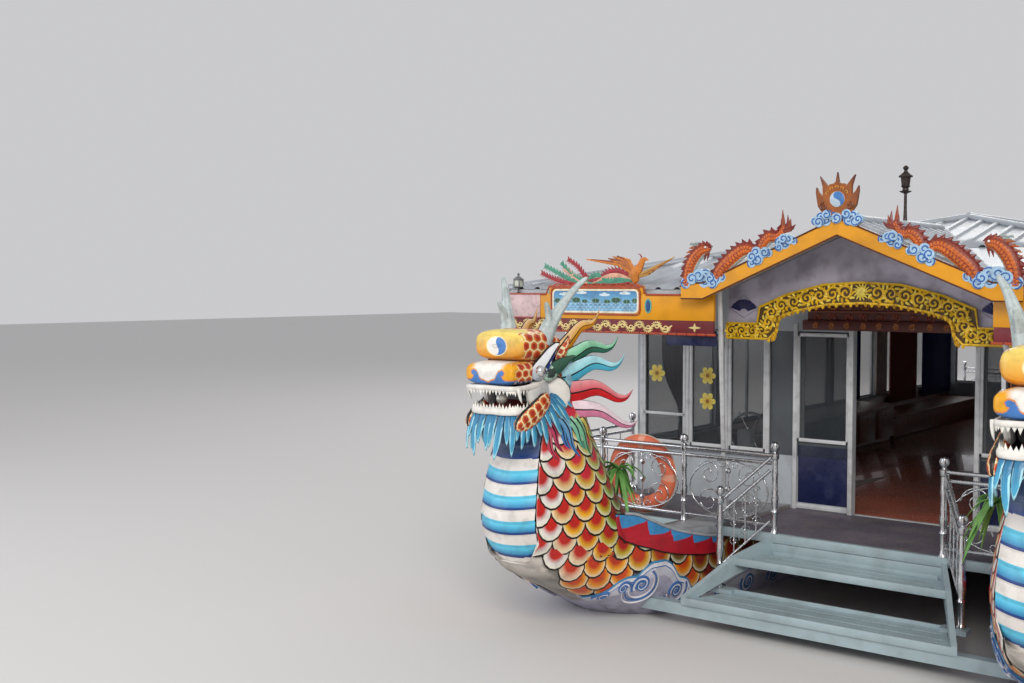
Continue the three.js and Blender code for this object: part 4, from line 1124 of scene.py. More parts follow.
flames = joined([
    limb(f"flame_{i}", flame_points(*row[:5]), 40, 4, 2.0, colour=flame_painter(*row[5:]), by_face=True)
    for i, row in enumerate(FLAMES)
], "flames")
COLLAR = [
    (0.225, -1.70, 1.26, 0.016, 0.04), (0.243, -1.66, 1.33, 0.034, 0.055), (0.246, -1.63, 1.45, 0.036, 0.055),
    (0.246, -1.61, 1.60, 0.034, 0.052), (0.236, -1.60, 1.72, 0.024, 0.045), (0.22, -1.59, 1.77, 0.010, 0.02),
]
collar = limb("collar", COLLAR, 20, 5, 2.4,
              colour=lambda u, v: mixed(tone("#2f7d9c"), tone("#bfe4ee"), 0.5 + 0.5 * math.sin(70 * v)))

# Ribbon locks that hang from under the lowest flame and lie on the neck.
# Columns: root and tip places along and up the flank, half width, paint
NECK_LOCKS = [
    (-2.00, 1.12, -1.84, 0.79, 0.050, tone("#c22f4c"), tone("#e07a8c")),
    (-1.94, 1.14, -1.76, 0.83, 0.040, tone("#a6274a"), tone("#d2567a")),
    (-1.86, 1.15, -1.68, 0.85, 0.046, tone("#2a68b3"), tone("#67a9dc")),
    (-1.79, 1.15, -1.61, 0.80, 0.046, tone("#2f78b8"), tone("#8fc6e6")),
    (-1.70, 1.14, -1.50, 0.83, 0.050, tone("#57b193"), tone("#a8e0c2")),
    (-1.62, 1.13, -1.43, 0.76, 0.050, tone("#4ea37a"), tone("#9fdcb0")),
    (-1.52, 1.13, -1.37, 0.90, 0.046, tone("#bfae3c"), tone("#e3d27c")),
]
neck_skin = skin_of(flanks)
ribbons = []
for k, (y0, z0, y1, z1, half, dark, light) in enumerate(NECK_LOCKS):
    def ribbon_place(u, v, y0=y0, z0=z0, y1=y1, z1=z1, half=half):
        bend = 0.025 * math.sin(2 * math.pi * v)
        across = (2 * u - 1) * half * (1 - v ** 1.6) ** 0.8
        y, z = y0 + (y1 - y0) * v + across + bend, z0 + (z1 - z0) * v + across * 0.35
        lift = 0.012 + 0.016 * math.cos(math.pi * (u - 0.5)) * (1 - v)
        return laid(neck_skin, Vector((0.35, aft(y), up(z))), Vector((1, 0, 0)), lift)

    def ribbon_colour(u, v, dark=dark, light=light):
        if abs(2 * u - 1) > 0.8 or abs(u - 0.5) < 0.06:
            return OUTLINE
        return mixed(light, dark, v * 0.9 + (0.3 if u < 0.5 else 0))

    ribbon = settled(shaped_grid(f"ribbon_{k}", 12, 16, ribbon_place, ribbon_colour, True), 60)
    ribbons.append(thickened(ribbon, 0.008))
ribbons = joined(ribbons, "ribbons")


def beads(name, lines, sides=6, flat=1.0, normal=Vector((0, -1, 0))):
    """Many thin rounded bars in one piece. Each line is its points of place and radius, and its paint."""
    made = bmesh.new()
    layer = made.loops.layers.float_color.new("paint")
    for points, colour in lines:
        spots = [Vector(point[:3]) for point in points]
        rings = []
        for i, spot in enumerate(spots):
            way = (spots[min(i + 1, len(spots) - 1)] - spots[max(i - 1, 0)]).normalized()
            out = (normal - way * normal.dot(way))
            out = out.normalized() if out.length > 1e-4 else way.orthogonal().normalized()
            over = way.cross(out)
            radius = points[i][3]
            ring = []
            for k in range(sides):
                a = 2 * math.pi * (k + 0.5) / sides
                ring.append(made.verts.new(spot + over * radius * math.cos(a) + out * radius * flat * math.sin(a)))
            rings.append(ring)
        faces = []
        for first, second in zip(rings, rings[1:]):
            for k in range(sides):
                j = (k + 1) % sides
                faces.append(made.faces.new((first[k], first[j], second[j], second[k])))
        faces += [made.faces.new(rings[0][::-1]), made.faces.new(rings[-1])]
        for face in faces:
            for loop in face.loops:
                loop[layer] = colour
    return settled(as_piece(made, name), 50, 1e-6)


eyes = ball("eyes", EYE, (EYE_RADIUS,) * 3, lambda way: IVORY)
eyes = joined([eyes, flip_copy(eyes, "other_eye")], "eyes")
pearl = ball("pearl", (0, -2.205, 1.322), (0.047,) * 3, lambda way: IVORY)
eye_chrome = finish("eye_chrome", (0.78, 0.79, 0.80, 1), rough=0.12, metal=1.0, cloud=0.05, bump=0.05)
pearl_gloss = finish("pearl_gloss", (0.72, 0.70, 0.62, 1), rough=0.18, metal=0.4, cloud=0.15, cloud_size=18, bump=0.05)
horn_paint = finish("horn_paint", rough=0.55, cloud=0.22, cloud_size=9, dirt=(GRIME, 0.25), bump=0.35, bump_size=30)
head_parts = [brow, snout, skull, cheek, eye_leaf, ear, spot_leaf]
head_parts += [flip_copy(part, f"{part.name}_s") for part in (cheek, eye_leaf, ear, spot_leaf)]
head_whole = joined(head_parts, "head_whole")
horns = joined([horn, flip_copy(horn, "other_horn")], "horns")
mouth_parts = [upper_lip, teeth("upper_teeth", UPPER_LIP, -1, 30, 0.040), fang, flip_copy(fang, "other_fang"), lip_skin,
               flip_copy(lip_skin, "other_skin"), throat]
mouth_whole = joined(mouth_parts, "mouth_whole")
jaw_parts = [lower_lip, teeth("lower_teeth", LOWER_LIP, 1, 30, 0.042), tongue, jaw_floor, jaw_crescent,
             flip_copy(jaw_crescent, "other_crescent"), beard]
jaw_whole = joined(jaw_parts, "jaw_whole")
mane_whole = joined([flames, flip_copy(flames, "other_flames"), collar, flip_copy(collar, "other_collar")],
                    "mane_whole")
ribbons = joined([ribbons, flip_copy(ribbons, "other_ribbons")], "ribbons")
on_hulls(head_whole, "painted_head", "head_paint", hand_paint, "dragon_head")
on_hulls(horns, "horns", "head_paint", horn_paint)
on_hulls(mouth_whole, "upper_mouth", "head_paint", hand_paint)
on_hulls(eyes, "eyes", "head_paint", eye_chrome)
on_hulls(pearl, "mouth_pearl", "jaw_paint", pearl_gloss)
on_hulls(jaw_whole, "jaw_and_beard", "jaw_paint", hand_paint, "dragon_jaw")
on_hulls(mane_whole, "flame_mane", "mane_paint", hand_paint, "dragon_mane")
on_hulls(ribbons, "neck_ribbons", "mane_paint", hand_paint)

# Painted reliefs on the bows: a red crest board with blue teeth that runs aft from each neck under a grey bead, and
# a lilac plate of waves with raised curls low down on the planking. All are cut from thin sheet and riveted on.


def hull_spot(y, height, lift=0.01):
    """A place on the port side of a hull, raised by lift."""
    low, high = hull_side(y, hull_share(y, height) - 0.02), hull_side(y, hull_share(y, height) + 0.02)
    side = hull_side(y, hull_share(y, height))
    ahead = hull_side(y + 0.02, hull_share(y + 0.02, height))
    normal = (ahead - side).cross(high - low).normalized()
    if normal.x < 0:
        normal = -normal
    return side + normal * lift


def curl(x, z, radius, start, turns, hand, count=18, inner=0.16):
    """Flat places on a spiral, from its outside in."""
    spots = []
    for i in range(count + 1):
        t = i / count
        a = math.radians(start) + hand * turns * 2 * math.pi * t
        r = radius * (1 - (1 - inner) * t)
        spots.append((x + r * math.cos(a), z + r * math.sin(a)))
    return spots


def oval(x, z, wide, high, count, part=1):
    """Flat places round an oval, or round the first part of it."""
    angles = [2 * math.pi * part * i / count for i in range(count + 1)]
    return [(x + wide * math.cos(a), z + high * math.sin(a)) for a in angles]


def drawn(spots, y, radius, colour, taper=0):
    """A line of beads on a board across the boat, through flat places, that may thin towards its end."""
    last = len(spots) - 1
    return [(a, aft(y), up(b), radius * (1 - taper * k / last)) for k, (a, b) in enumerate(spots)], colour


def carved(y, *lines):
    """Lines of beads on a board across the boat. Each line is its flat places with radii, and its paint."""
    return [([(a, aft(y), up(b), radius) for a, b, radius in points], colour) for points, colour in lines]


def ray(x, z, y, stops, colour):
    """A line of beads that runs out from a place on a board. Stops: reach, angle, how far aft of y, radius."""
    return [(x + r * math.cos(a), aft(y + d), up(z + r * math.sin(a)), radius) for r, a, d, radius in stops], colour


WAVE_BLUE, WAVE_PALE = tone("#3f6fae"), tone("#e4e4ec")
# Columns: place along the hull and height of a curl's middle, radius, start, turns, hand
WAVE_CURLS = [
    (-1.00, -0.345, 0.088, 215, 1.5, -1), (-1.28, -0.415, 0.045, 200, 1.3, -1), (-1.155, -0.355, 0.055, 20, 1.3, 1),
    (-0.60, -0.455, 0.080, 200, 1.6, -1), (-0.30, -0.62, 0.09, 160, 1.6, 1), (0.05, -0.60, 0.09, 200, 1.5, -1),
    (0.45, -0.56, 0.11, 160, 1.6, 1), (0.90, -0.56, 0.11, 200, 1.5, -1), (1.35, -0.56, 0.11, 160, 1.5, 1),
]
WAVE_ROWS = (0, 0.018, 0.052, 0.062, 0.14, 0.26, 9)


def wave_top(y):
    """The upper edge of the waves, which ripples along the straight part of the hull."""
    return between(WAVE_LINE, y)[1] + (0.05 * abs(math.sin(y * 3.3)) ** 0.6 - 0.03 if y > 0 else 0)


def wave_plate_place(u, v):
    """A spot on the wave plate, u down the planking and v aft."""
    y = -1.42 + 14.46 * v ** 2.2
    foot = max(eased(HULL, min(y, 10))[2] + 0.03, -0.80)
    row = round(u * (len(WAVE_ROWS) - 1))
    return hull_spot(y, max(wave_top(y) - WAVE_ROWS[row], foot), 0.024 if row < 6 else 0.004)


def wave_plate_colour(u, v):
    """Stripes of blue and white over lilac."""
    row = int(u * (len(WAVE_ROWS) - 1))
    return (tone("#3f86b4"), WAVE_PALE, WAVE_BLUE, tone("#cfcfdb"), WAVE_LILAC, WAVE_LILAC)[min(row, 5)]


wave_plate = settled(shaped_grid("wave_plate", len(WAVE_ROWS) - 1, 200, wave_plate_place, wave_plate_colour, True), 60)
wave_plate = thickened(wave_plate, 0.012, -1)
wave_lines = []
for y, z, radius, start, turns, hand in WAVE_CURLS:
    for grown, colour in ((1.0, WAVE_BLUE), (0.78, WAVE_PALE), (0.60, WAVE_BLUE)):
        spots = curl(y, z, radius * grown, start, turns, hand, 26)
        line = [(*hull_spot(a, b, 0.030), 0.016 * (1 - 0.5 * i / 26)) for i, (a, b) in enumerate(spots)]
        wave_lines.append((line, colour))
for y, z, radius in ((-1.00, -0.345, 0.088), (-0.60, -0.455, 0.08)):
    for k, colour in ((1, WAVE_PALE), (2, WAVE_BLUE), (3, WAVE_PALE)):
        reach, angles = radius + 0.024 * k, [math.radians(a) for a in range(-165, 61, 12)]
        spots = [(y + reach * math.cos(a), z + reach * math.sin(a)) for a in angles]
        wave_lines.append(([(*hull_spot(a, b, 0.028), 0.009) for a, b in spots if b < wave_top(a) - 0.03], colour))
waves = beads("waves", wave_lines, 6, 0.55, Vector((1, 0, 0)))

# Columns: place aft, lower and upper edge of the crest board
CREST = [
    (-1.29, 0.11, 0.300), (-1.22, 0.055, 0.292), (-1.085, -0.005, 0.270), (-0.97, -0.04, 0.216), (-0.825, -0.09, 0.146),
    (-0.65, -0.135, 0.080), (-0.505, -0.160, 0.038), (-0.26, -0.195, -0.020), (0, -0.205, -0.060),
]


def crest_out(y, z):
    """How far out the crest board stands: clear of the gunwale and of the neck."""
    hit = body_skin.ray_cast(Vector((1.2, aft(y), up(z))), Vector((-1, 0, 0)), 1.2)[0]
    return max(eased(HULL, y)[1] - 0.01, hit.x if hit else 0) + 0.027


def crest_place(u, v):
    """A spot on the crest board, u up it and v aft."""
    y = -1.29 + 1.285 * v
    _, foot, top = between(CREST, y)
    return Vector((crest_out(y, foot + (top - foot) * u), aft(y), up(foot + (top - foot) * u)))


def crest_colour(u, v):
    """Blue teeth on red, edged in black."""
    tooth = ((1.285 * v - 0.03) / 0.27) % 1
    if u > 0.95 or u < 0.05:
        return OUTLINE
    deep = (0.60 - 0.20 * v) * min(tooth / 0.10, 1) ** 0.5 * (1 - tooth) ** 0.6
    return tone("#3f8cc4") if u > 1 - deep else tone("#b51c2c")


crest_board = thickened(settled(shaped_grid("crest_board", 40, 250, crest_place, crest_colour, True), 60), 0.012, -1)
crest_rail = []
for i in range(40):
    y = -1.20 + 1.19 * i / 39
    top = between(CREST, y)[2]
    crest_rail.append((crest_out(y, top - 0.01), aft(y), up(top) + 0.004, 0.013))
reliefs = joined([waves, wave_plate, crest_board, beads("crest_rail", [(crest_rail, tone("#a3a8ae"))], 8)], "reliefs")
reliefs = joined([reliefs, flip_copy(reliefs, "other_reliefs")], "reliefs")
on_hulls(reliefs, "wave_reliefs", "hull_paint", hand_paint)

# The tails: a scaled limb that rises from each stern and ends in a flame of sheet metal.
TAIL = [
    (0, 12.80, -0.26, 0.44, 0.16), (0, 12.86, -0.20, 0.42, 0.185), (0, 12.96, 0.06, 0.33, 0.178),
    (0, 13.09, 0.30, 0.24, 0.158), (0, 13.23, 0.52, 0.17, 0.128), (0, 13.30, 0.76, 0.12, 0.10),
    (0, 13.27, 0.98, 0.08, 0.08), (0, 13.18, 1.14, 0.05, 0.06), (0, 13.14, 1.19, 0.02, 0.02),
]


def tail_cell(u, v):
    """The cells of the tail's scales, smaller towards the tip."""
    return cell(v * 1.7, u * 0.9 * (1.2 - v), 0.12)


def tail_colour(u, v):
    """Red scales with yellow rims, green further up, in dark outlines."""
    share = tail_cell(u, v)
    return OUTLINE if share > 0.9 else mixed(RED, YELLOW if v < 0.7 else GREEN, share * 1.4)


tail = limb("tail", TAIL, 60, 12, 2.2, colour=tail_colour, by_face=True,
            relief=lambda u, v, y: 0.006 * (1 - tail_cell(u, v) ** 3))
TAIL_FLAMES = [
    [(0, 13.16, 1.06, 0.03, 0.07), (0, 13.28, 1.17, 0.03, 0.07), (0, 13.42, 1.21, 0.025, 0.05),
     (0, 13.59, 1.26, 0.01, 0.008)],
    [(0, 13.16, 1.12, 0.03, 0.08), (0, 13.30, 1.27, 0.03, 0.08), (0, 13.46, 1.40, 0.025, 0.055),
     (0, 13.56, 1.55, 0.01, 0.008)],
    [(0, 13.15, 1.10, 0.03, 0.09), (0, 13.18, 1.28, 0.03, 0.09), (0, 13.21, 1.45, 0.025, 0.05),
     (0, 13.12, 1.59, 0.01, 0.008)],
    [(0, 13.14, 1.08, 0.03, 0.07), (0, 13.08, 1.20, 0.03, 0.06), (0, 13.01, 1.28, 0.02, 0.03),
     (0, 12.97, 1.31, 0.006, 0.006)],
]
tail_paints = [(tone("#e0606c"), tone("#cf1119")), (tone("#e3ab45"), tone("#d88d10")),
               (tone("#79cda0"), tone("#2c6a55")),
               (tone("#9be0ec"), tone("#49b0cd"))]
tail = joined([tail] + [
    limb(f"tail_flame_{i}", points, 24, 5, 2.0, colour=flame_painter(*paints), by_face=True)
    for i, (points, paints) in enumerate(zip(TAIL_FLAMES, tail_paints))
], "tail")
on_hulls(tail, "painted_tail", "scale_paint", hand_paint, "dragon_tail")

# The drive under each stern: a cast bronze propeller, a steel rudder blade on its stock, and a painted engine
# block in its well.


def recoated(material, *nodes):
    """Gives carried-over solids a material."""
    for node in nodes:
        for slot in bpy.data.objects[node].material_slots:
            slot.material = material


bronze = finish("bronze", tone("#8a6432"), rough=0.32, metal=1.0, cloud=0.3, cloud_size=9, dirt=(tone("#3f5a48"), 0.6))
rudder_paint = finish("rudder_paint", tone("#6f6a72"), rough=0.6, cloud=0.3, cloud_size=5, dirt=(GRIME, 0.6))
engine_paint = finish("engine_paint", tone("#38504f"), rough=0.5, metal=0.2, cloud=0.25, cloud_size=6,
                      dirt=(GRIME, 0.6))
recoated(bronze, "propeller_s", "propeller_p")
recoated(rudder_paint, "rudder_s", "rudder_p")
recoated(engine_paint, "engine_s", "engine_p")

# The deck: brown-grey steel plating with a raised pale angle along its front edge, over two beams, and the low
# crossbeam between the bows.
deck_paint = finish("deck_paint", tone("#6e6672"), rough=0.55, cloud=0.35, cloud_size=1.3, dirt=(tone("#8d857c"), 0.45),
                    bump=0.3, bump_size=35)
step_paint = finish("step_paint", tone("#a3b6bc"), rough=0.40, metal=0.1, cloud=0.12, cloud_size=2.0,
                    dirt=(tone("#7a8284"), 0.35), bump=0.15, bump_size=50)
recoated(deck_paint, "deck")
recoated(step_paint, "crossbeam_bow", "boarding_steps")


def slab(name, low, high, edge=0.003, colour=None):
    """A block with eased edges between two corners, in metres aft and up."""
    bpy.ops.object.select_all(action="DESELECT")
    middle = [(a + b) / 2 for a, b in zip(low, high)]
    bpy.ops.mesh.primitive_cube_add(size=1, location=(middle[0], aft(middle[1]), up(middle[2])))
    piece = bpy.context.object
    piece.name = piece.data.name = name
    piece.scale = [b - a for a, b in zip(low, high)]
    bpy.ops.object.transform_apply(location=True, rotation=True, scale=True)
    bpy.ops.object.mode_set(mode="EDIT")
    bpy.ops.mesh.select_all(action="SELECT")
    bpy.ops.mesh.bevel(offset=edge, segments=2)
    bpy.ops.object.mode_set(mode="OBJECT")
    bpy.ops.object.shade_smooth_by_angle(angle=math.radians(40))
    return face_brushed(piece, lambda place: colour) if colour else piece


deck_trims = [slab("front_angle", (-3.15, -0.004, -0.058), (3.15, 0.05, 0.022))]
for x in (-3.148, 3.098):
    deck_trims.append(slab("side_angle", (x, 0.06, CLEAR), (x + 0.05, 12.59, 0.028)))
deck_trims.append(slab("rear_angle", (-3.09, 12.55, CLEAR), (3.09, 12.598, 0.028)))
placed(joined(deck_trims, "deck_trims"), "step_paint", step_paint)

# The boarding steps: two folded-steel treads between raking stringers, with rolled nosings and screwed plates.
step_trims = []
for front, back, top in ((-0.38, -0.005, -0.16), (-0.87, -0.40, -0.45)):
    half = 0.75 - 0.43 * front
    step_trims.append(slab("nosing", (-half - 0.01, front - 0.012, top - 0.055),
                           (half + 0.01, front + 0.022, top + 0.012),
                           0.006))
    half = 0.75 - 0.43 * back
    step_trims.append(slab("rear_lip", (-half + 0.02, back - 0.02, top - 0.03), (half - 0.02, back + 0.004, top + 0.03),
                           0.004))
    for share in (0.35, 0.68):
        y = front + (back - front) * share
        half = 0.75 - 0.43 * y - 0.03
        step_trims.append(slab("seam", (-half, y - 0.004, top), (half, y + 0.004, top + 0.004), 0.001))
for sign in (-1, 1):
    for y, top in ((-0.30, -0.16), (-0.80, -0.45)):
        for inset in (0.10, 0.55):
            x = sign * (0.75 - 0.43 * y - inset)
            step_trims.append(slab("bolt", (x - 0.012, y - 0.012, top), (x + 0.012, y + 0.012, top + 0.007), 0.004))
step_trims.append(slab("riser", (-0.76, -0.014, -0.156), (0.76, -0.0045, -0.060), 0.002))
placed(joined(step_trims, "step_trims"), "step_paint", step_paint)

# The railings: polished steel tube on turned posts with ball finials, the panels between them filled with
# scrolls of bent rod and small cast rosettes.
steel = finish("steel", (0.62, 0.63, 0.65, 1), rough=0.22, metal=1.0, cloud=0.10, cloud_size=6, dirt=(GRIME, 0.12),
               bump=0.05)
RAIL_Y, RAIL_TOP, RAIL_SECOND, RAIL_FOOT = 0.035, 0.72, 0.65, 0.09
POST_PROFILE = [
    (0.038, 0.0), (0.040, 0.02), (0.028, 0.04), (0.025, 0.10), (0.027, 0.20), (0.034, 0.215), (0.027, 0.23),
    (0.025, 0.26), (0.033, 0.30), (0.035, 0.34), (0.026, 0.38), (0.030, 0.40), (0.026, 0.42), (0.025, 0.52),
    (0.032, 0.55), (0.026, 0.58), (0.025, 0.68), (0.036, 0.695), (0.037, 0.735), (0.018, 0.755), (0.034, 0.772),
    (0.042, 0.800), (0.033, 0.830), (0.006, 0.846),
]
POST_HIGH = POST_PROFILE[-1][1]


def spun(name, profile, foot, sides=20, colour=None, way="Z"):
    """A turned piece: its profile of radius and height, spun about an axis through its foot."""
    rows = len(profile)

    def place(u, v):
        i = min(round(v * (rows + 1)), rows + 1)
        radius, high = profile[min(max(i - 1, 0), rows - 1)]
        if i in (0, rows + 1):
            radius = 0
        a = 2 * math.pi * u
        local = Vector((radius * math.cos(a), radius * math.sin(a), high))
        if way == "Y":
            local = Vector((local.x, local.z, local.y))
        return Vector((foot[0], aft(foot[1]), up(foot[2]))) + local

    return settled(shaped_grid(name, sides, rows + 1, place, (lambda u, v: colour) if colour else None), 35)


def turned_post(name, x, y, z=0.0, high=POST_HIGH):
    """A turned post standing at a place, drawn to its own height."""
    rise = high - POST_HIGH
    return spun(name, [(r, h + (rise if h > 0.3 else 0)) for r, h in POST_PROFILE], (x, y, z + CLEAR), 16)


def tubes(name, lines, sides=10):
    """Straight or bent steel tubes. Each line is its points, in metres aft and up, and its radius."""
    made = []
    for points, radius in lines:
        made.append(([(x, aft(y), up(z), radius) for x, y, z in points], (0.6, 0.6, 0.6, 1)))
    return beads(name, made, sides, 1.0, Vector((0.01, 0.02, 1)).normalized())


def scroll_lines(x0, x1, low, high, y):
    """The scrolls of one railing panel: four spirals round a rosette, leaf ends and a middle rod."""
    middle, centre = (x0 + x1) / 2, (low + high) / 2
    wide, tall = (x1 - x0) / 2, (high - low) / 2
    lines = []
    for sx in (-1, 1):
        for sz in (-1, 1):
            big = min(wide * 0.42, tall * 0.46)
            spots = curl(middle + sx * wide * 0.46, centre + sz * tall * 0.46, big, 90 - sx * sz * 90, 1.5, sx * sz, 22)
            lines.append(([(a, y, b) for a, b in spots], 0.006))
            small = big * 0.5
            spots = curl(middle + sx * small * 0.9, centre + sz * tall * 0.80, small * 0.8, 180 if sx > 0 else 0, 1.2,
                         -sx * sz, 14)
            lines.append(([(a, y, b) for a, b in spots], 0.005))
    lines.append(([(middle, y, low), (middle, y, high)], 0.008))
    lines.append(([(a, y, b) for a, b in oval(middle, centre, wide * 0.92, tall * 0.95, 28)], 0.007))
    return lines


FRONT_POSTS = (-3.095, -2.60, -1.68, -0.75)
rail_lines = [([(FRONT_POSTS[0], RAIL_Y, z), (FRONT_POSTS[-1], RAIL_Y, z)], 0.017)
              for z in (RAIL_TOP, RAIL_SECOND, RAIL_FOOT)]
rosettes = []
for x0, x1 in zip(FRONT_POSTS, FRONT_POSTS[1:]):
    rail_lines += scroll_lines(x0 + 0.03, x1 - 0.03, RAIL_FOOT, RAIL_SECOND, RAIL_Y)
    for z in (0.20, 0.37, 0.54):
        rosettes.append(spun("rosette", [(0.002, -0.020), (0.022, -0.014), (0.028, 0), (0.022, 0.014), (0.002, 0.020)],
                             ((x0 + x1) / 2, RAIL_Y, z), 12, way="Y"))
bow_posts = [turned_post("post", x, RAIL_Y) for x in FRONT_POSTS]
bow_rail = joined([tubes("bow_rail", rail_lines)] + bow_posts + rosettes, "bow_rail")
SIDE_X, SIDE_Y0, SIDE_Y1 = -3.095, 0.115, 1.34
side_lines = [([(SIDE_X, SIDE_Y0, z), (SIDE_X, SIDE_Y1, z)], 0.016) for z in (RAIL_TOP, RAIL_SECOND, RAIL_FOOT)]
side_lines.append(([(SIDE_X, SIDE_Y0, 0.001), (SIDE_X, SIDE_Y0, 2.194)], 0.028))
for y in (0.36, 0.60, 0.85, 1.10):
    side_lines.append(([(SIDE_X, y, RAIL_FOOT), (SIDE_X, y, RAIL_SECOND)], 0.008))
side_rail = joined([tubes("side_rail", side_lines), turned_post("post", SIDE_X, SIDE_Y1)], "side_rail")
NEWEL = (-1.05, -0.42, -0.42)
TOP_END = (-0.782, 0.008)
hand_lines = [([(NEWEL[0], NEWEL[1], 0.34 - d), (TOP_END[0], TOP_END[1], 0.70 - d)], 0.015) for d in (0, 0.11)]
hand_lines.append(([(NEWEL[0], NEWEL[1], -0.23), (TOP_END[0], TOP_END[1], 0.13)], 0.011))
for share in (0.28, 0.5, 0.72):
    x, y = (a + (b - a) * share for a, b in zip(NEWEL[:2], TOP_END))
    hand_lines.append(([(x, y, -0.23 + 0.36 * share), (x, y, 0.23 + 0.36 * share)], 0.007))
    for low, r in ((-0.12, 0.055), (0.04, 0.05), (0.16, 0.04)):
        spots = curl(0, low + 0.36 * share, r, 0, 1.4, 1, 14)
        hand_lines.append(([(x + a * 0.53, y + a * 0.85, b) for a, b in spots], 0.005))
hand_rail = joined([tubes("hand_rail", hand_lines), turned_post("newel", NEWEL[0], NEWEL[1], NEWEL[2], 0.90)],
                   "hand_rail")
for name, piece in (("bow_railing", bow_rail), ("side_railing", side_rail), ("step_handrail", hand_rail)):
    on_sides(piece, f"steel_{name}", "stainless", steel, name)
STERN_Y = 12.555
STERN_POSTS = (-3.095, -2.0, -1.0, 0, 1.0, 2.0, 3.095)
stern_lines = [([(STERN_POSTS[0], STERN_Y, z), (STERN_POSTS[-1], STERN_Y, z)], 0.017)
               for z in (RAIL_TOP, RAIL_SECOND, RAIL_FOOT)]
for x0, x1 in zip(STERN_POSTS, STERN_POSTS[1:]):
    stern_lines += scroll_lines(x0 + 0.03, x1 - 0.03, RAIL_FOOT, RAIL_SECOND, STERN_Y)
stern_parts = [tubes("stern_rail", stern_lines)] + [turned_post("post", x, STERN_Y) for x in STERN_POSTS]
placed(joined(stern_parts, "steel_stern_railing"), "stainless", steel, "stern_railing")

# The lifebuoy: a salmon plastic ring with faded white bands and a grab line clipped round it.
buoy_shell = finish("buoy_shell", rough=0.55, cloud=0.2, cloud_size=5, dirt=(tone("#8f7f75"), 0.35), bump=0.15)
BUOY = (-2.19, 0.113, 0.41)
BUOY_RING, BUOY_WIDE, BUOY_THICK = 0.30, 0.08, 0.05


def buoy_place(u, v):
    """A spot on the ring."""
    a, b = 2 * math.pi * u, 2 * math.pi * v
    r = BUOY_RING + BUOY_WIDE * math.cos(b)
    return Vector((BUOY[0] + r * math.cos(a), aft(BUOY[1]) + BUOY_THICK * math.sin(b), up(BUOY[2]) + r * math.sin(a)))


def buoy_colour(u, v):
    """Four faded bands on salmon."""
    return tone("#dd9a80") if (u * 4 + 0.1) % 1 < 0.14 else tone("#df6f4c")


buoy = settled(shaped_grid("buoy", 96, 28, buoy_place, buoy_colour, True), 60)
grab = []
for i in range(4):
    points = []
    for k in range(13):
        a = 2 * math.pi * (i + k / 12) / 4 + 0.3
        r = BUOY_RING + BUOY_WIDE + 0.004 - 0.002 * math.sin(math.pi * k / 12)
        points.append((BUOY[0] + r * math.cos(a), aft(BUOY[1]), up(BUOY[2]) + r * math.sin(a), 0.006))
    grab.append((points, tone("#cfc6b8")))
placed(joined([buoy, beads("grab_line", grab, 6)], "painted_lifebuoy"), "buoy_shell", buoy_shell, "lifebuoy")

# The cabin: welded walls of pale painted steel with aluminium window frames, and dark glass inside them.
wall_paint = finish("wall_paint", tone("#b9c0c6"), rough=0.45, cloud=0.16, cloud_size=1.6, dirt=(tone("#7e7a76"), 0.35),
                    bump=0.18,
                    stretch=(1, 1, 0.6))
frame_paint = finish("frame_paint", tone("#d6d8da"), rough=0.38, metal=0.1, cloud=0.12, cloud_size=4,
                     dirt=(GRIME, 0.25), bump=0.1)
navy_paint = finish("navy_paint", tone("#141c48"), rough=0.35, cloud=0.3, cloud_size=2.5, dirt=(tone("#5e6480"), 0.25),
                    bump=0.1)
timber = finish("timber", tone("#74402f"), rough=0.4, cloud=0.4, cloud_size=3, dirt=(tone("#3a2018"), 0.5), bump=0.4,
                bump_size=22,
                stretch=(1, 6, 1))
glass = bpy.data.materials.new("dark_glass")
glass.use_nodes = True
glass_shader = glass.node_tree.nodes["Principled BSDF"]
glass_shader.inputs["Base Color"].default_value = (0.05, 0.06, 0.07, 1)
glass_shader.inputs["Roughness"].default_value = 0.06
glass_shader.inputs["IOR"].default_value = 1.45
glass_shader.inputs["Alpha"].default_value = 0.38
smudge = glass.node_tree.nodes.new("ShaderNodeTexNoise")
smudge.inputs["Scale"].default_value = 3.0
smudge.inputs["Detail"].default_value = 6
smudge_place = glass.node_tree.nodes.new("ShaderNodeTexCoord")
smudge_range = glass.node_tree.nodes.new("ShaderNodeMapRange")
smudge_range.inputs["To Min"].default_value = 0.03
smudge_range.inputs["To Max"].default_value = 0.22
glass.node_tree.links.new(smudge_place.outputs["Object"], smudge.inputs["Vector"])
glass.node_tree.links.new(smudge.outputs["Fac"], smudge_range.inputs["Value"])
glass.node_tree.links.new(smudge_range.outputs["Result"], glass_shader.inputs["Roughness"])
recoated(wall_paint, "wall_front", "wall_rear", "wall_side_s", "wall_side_p", "helm_pedestal")
recoated(glass, "glass_front_s", "glass_front_p", "glass_side_s", "glass_side_p")

WALL_FRONT, WALL_REAR, WALL_X = 1.38, 11.46, 3.05
SILL, WINDOW_HEAD, PANEL_SILL = 0.55, 1.76, 0.69
FRONT_WINDOWS = ((1.50, 1.92), (1.98, 2.38), (2.44, 2.96))


def window_frame(x0, x1, low, high, y, bar_at=None, deep=0.03):
    """A frame of four bars round an opening in a wall across the boat, with a bar across it if asked."""
    wide = 0.028
    parts = [
        slab("bar", (x0 - 0.008, y - deep, low - 0.008), (x0 + wide, y, high + 0.008), 0.004),
        slab("bar", (x1 - wide, y - deep, low - 0.008), (x1 + 0.008, y, high + 0.008), 0.004),
        slab("bar", (x0, y - deep, low - 0.008), (x1, y, low + wide), 0.004),
        slab("bar", (x0, y - deep, high - wide), (x1, y, high + 0.008), 0.004),
    ]
    if bar_at:
        parts.append(slab("bar", (x0, y - deep, bar_at - 0.015), (x1, y, bar_at + 0.015), 0.004))
    return parts


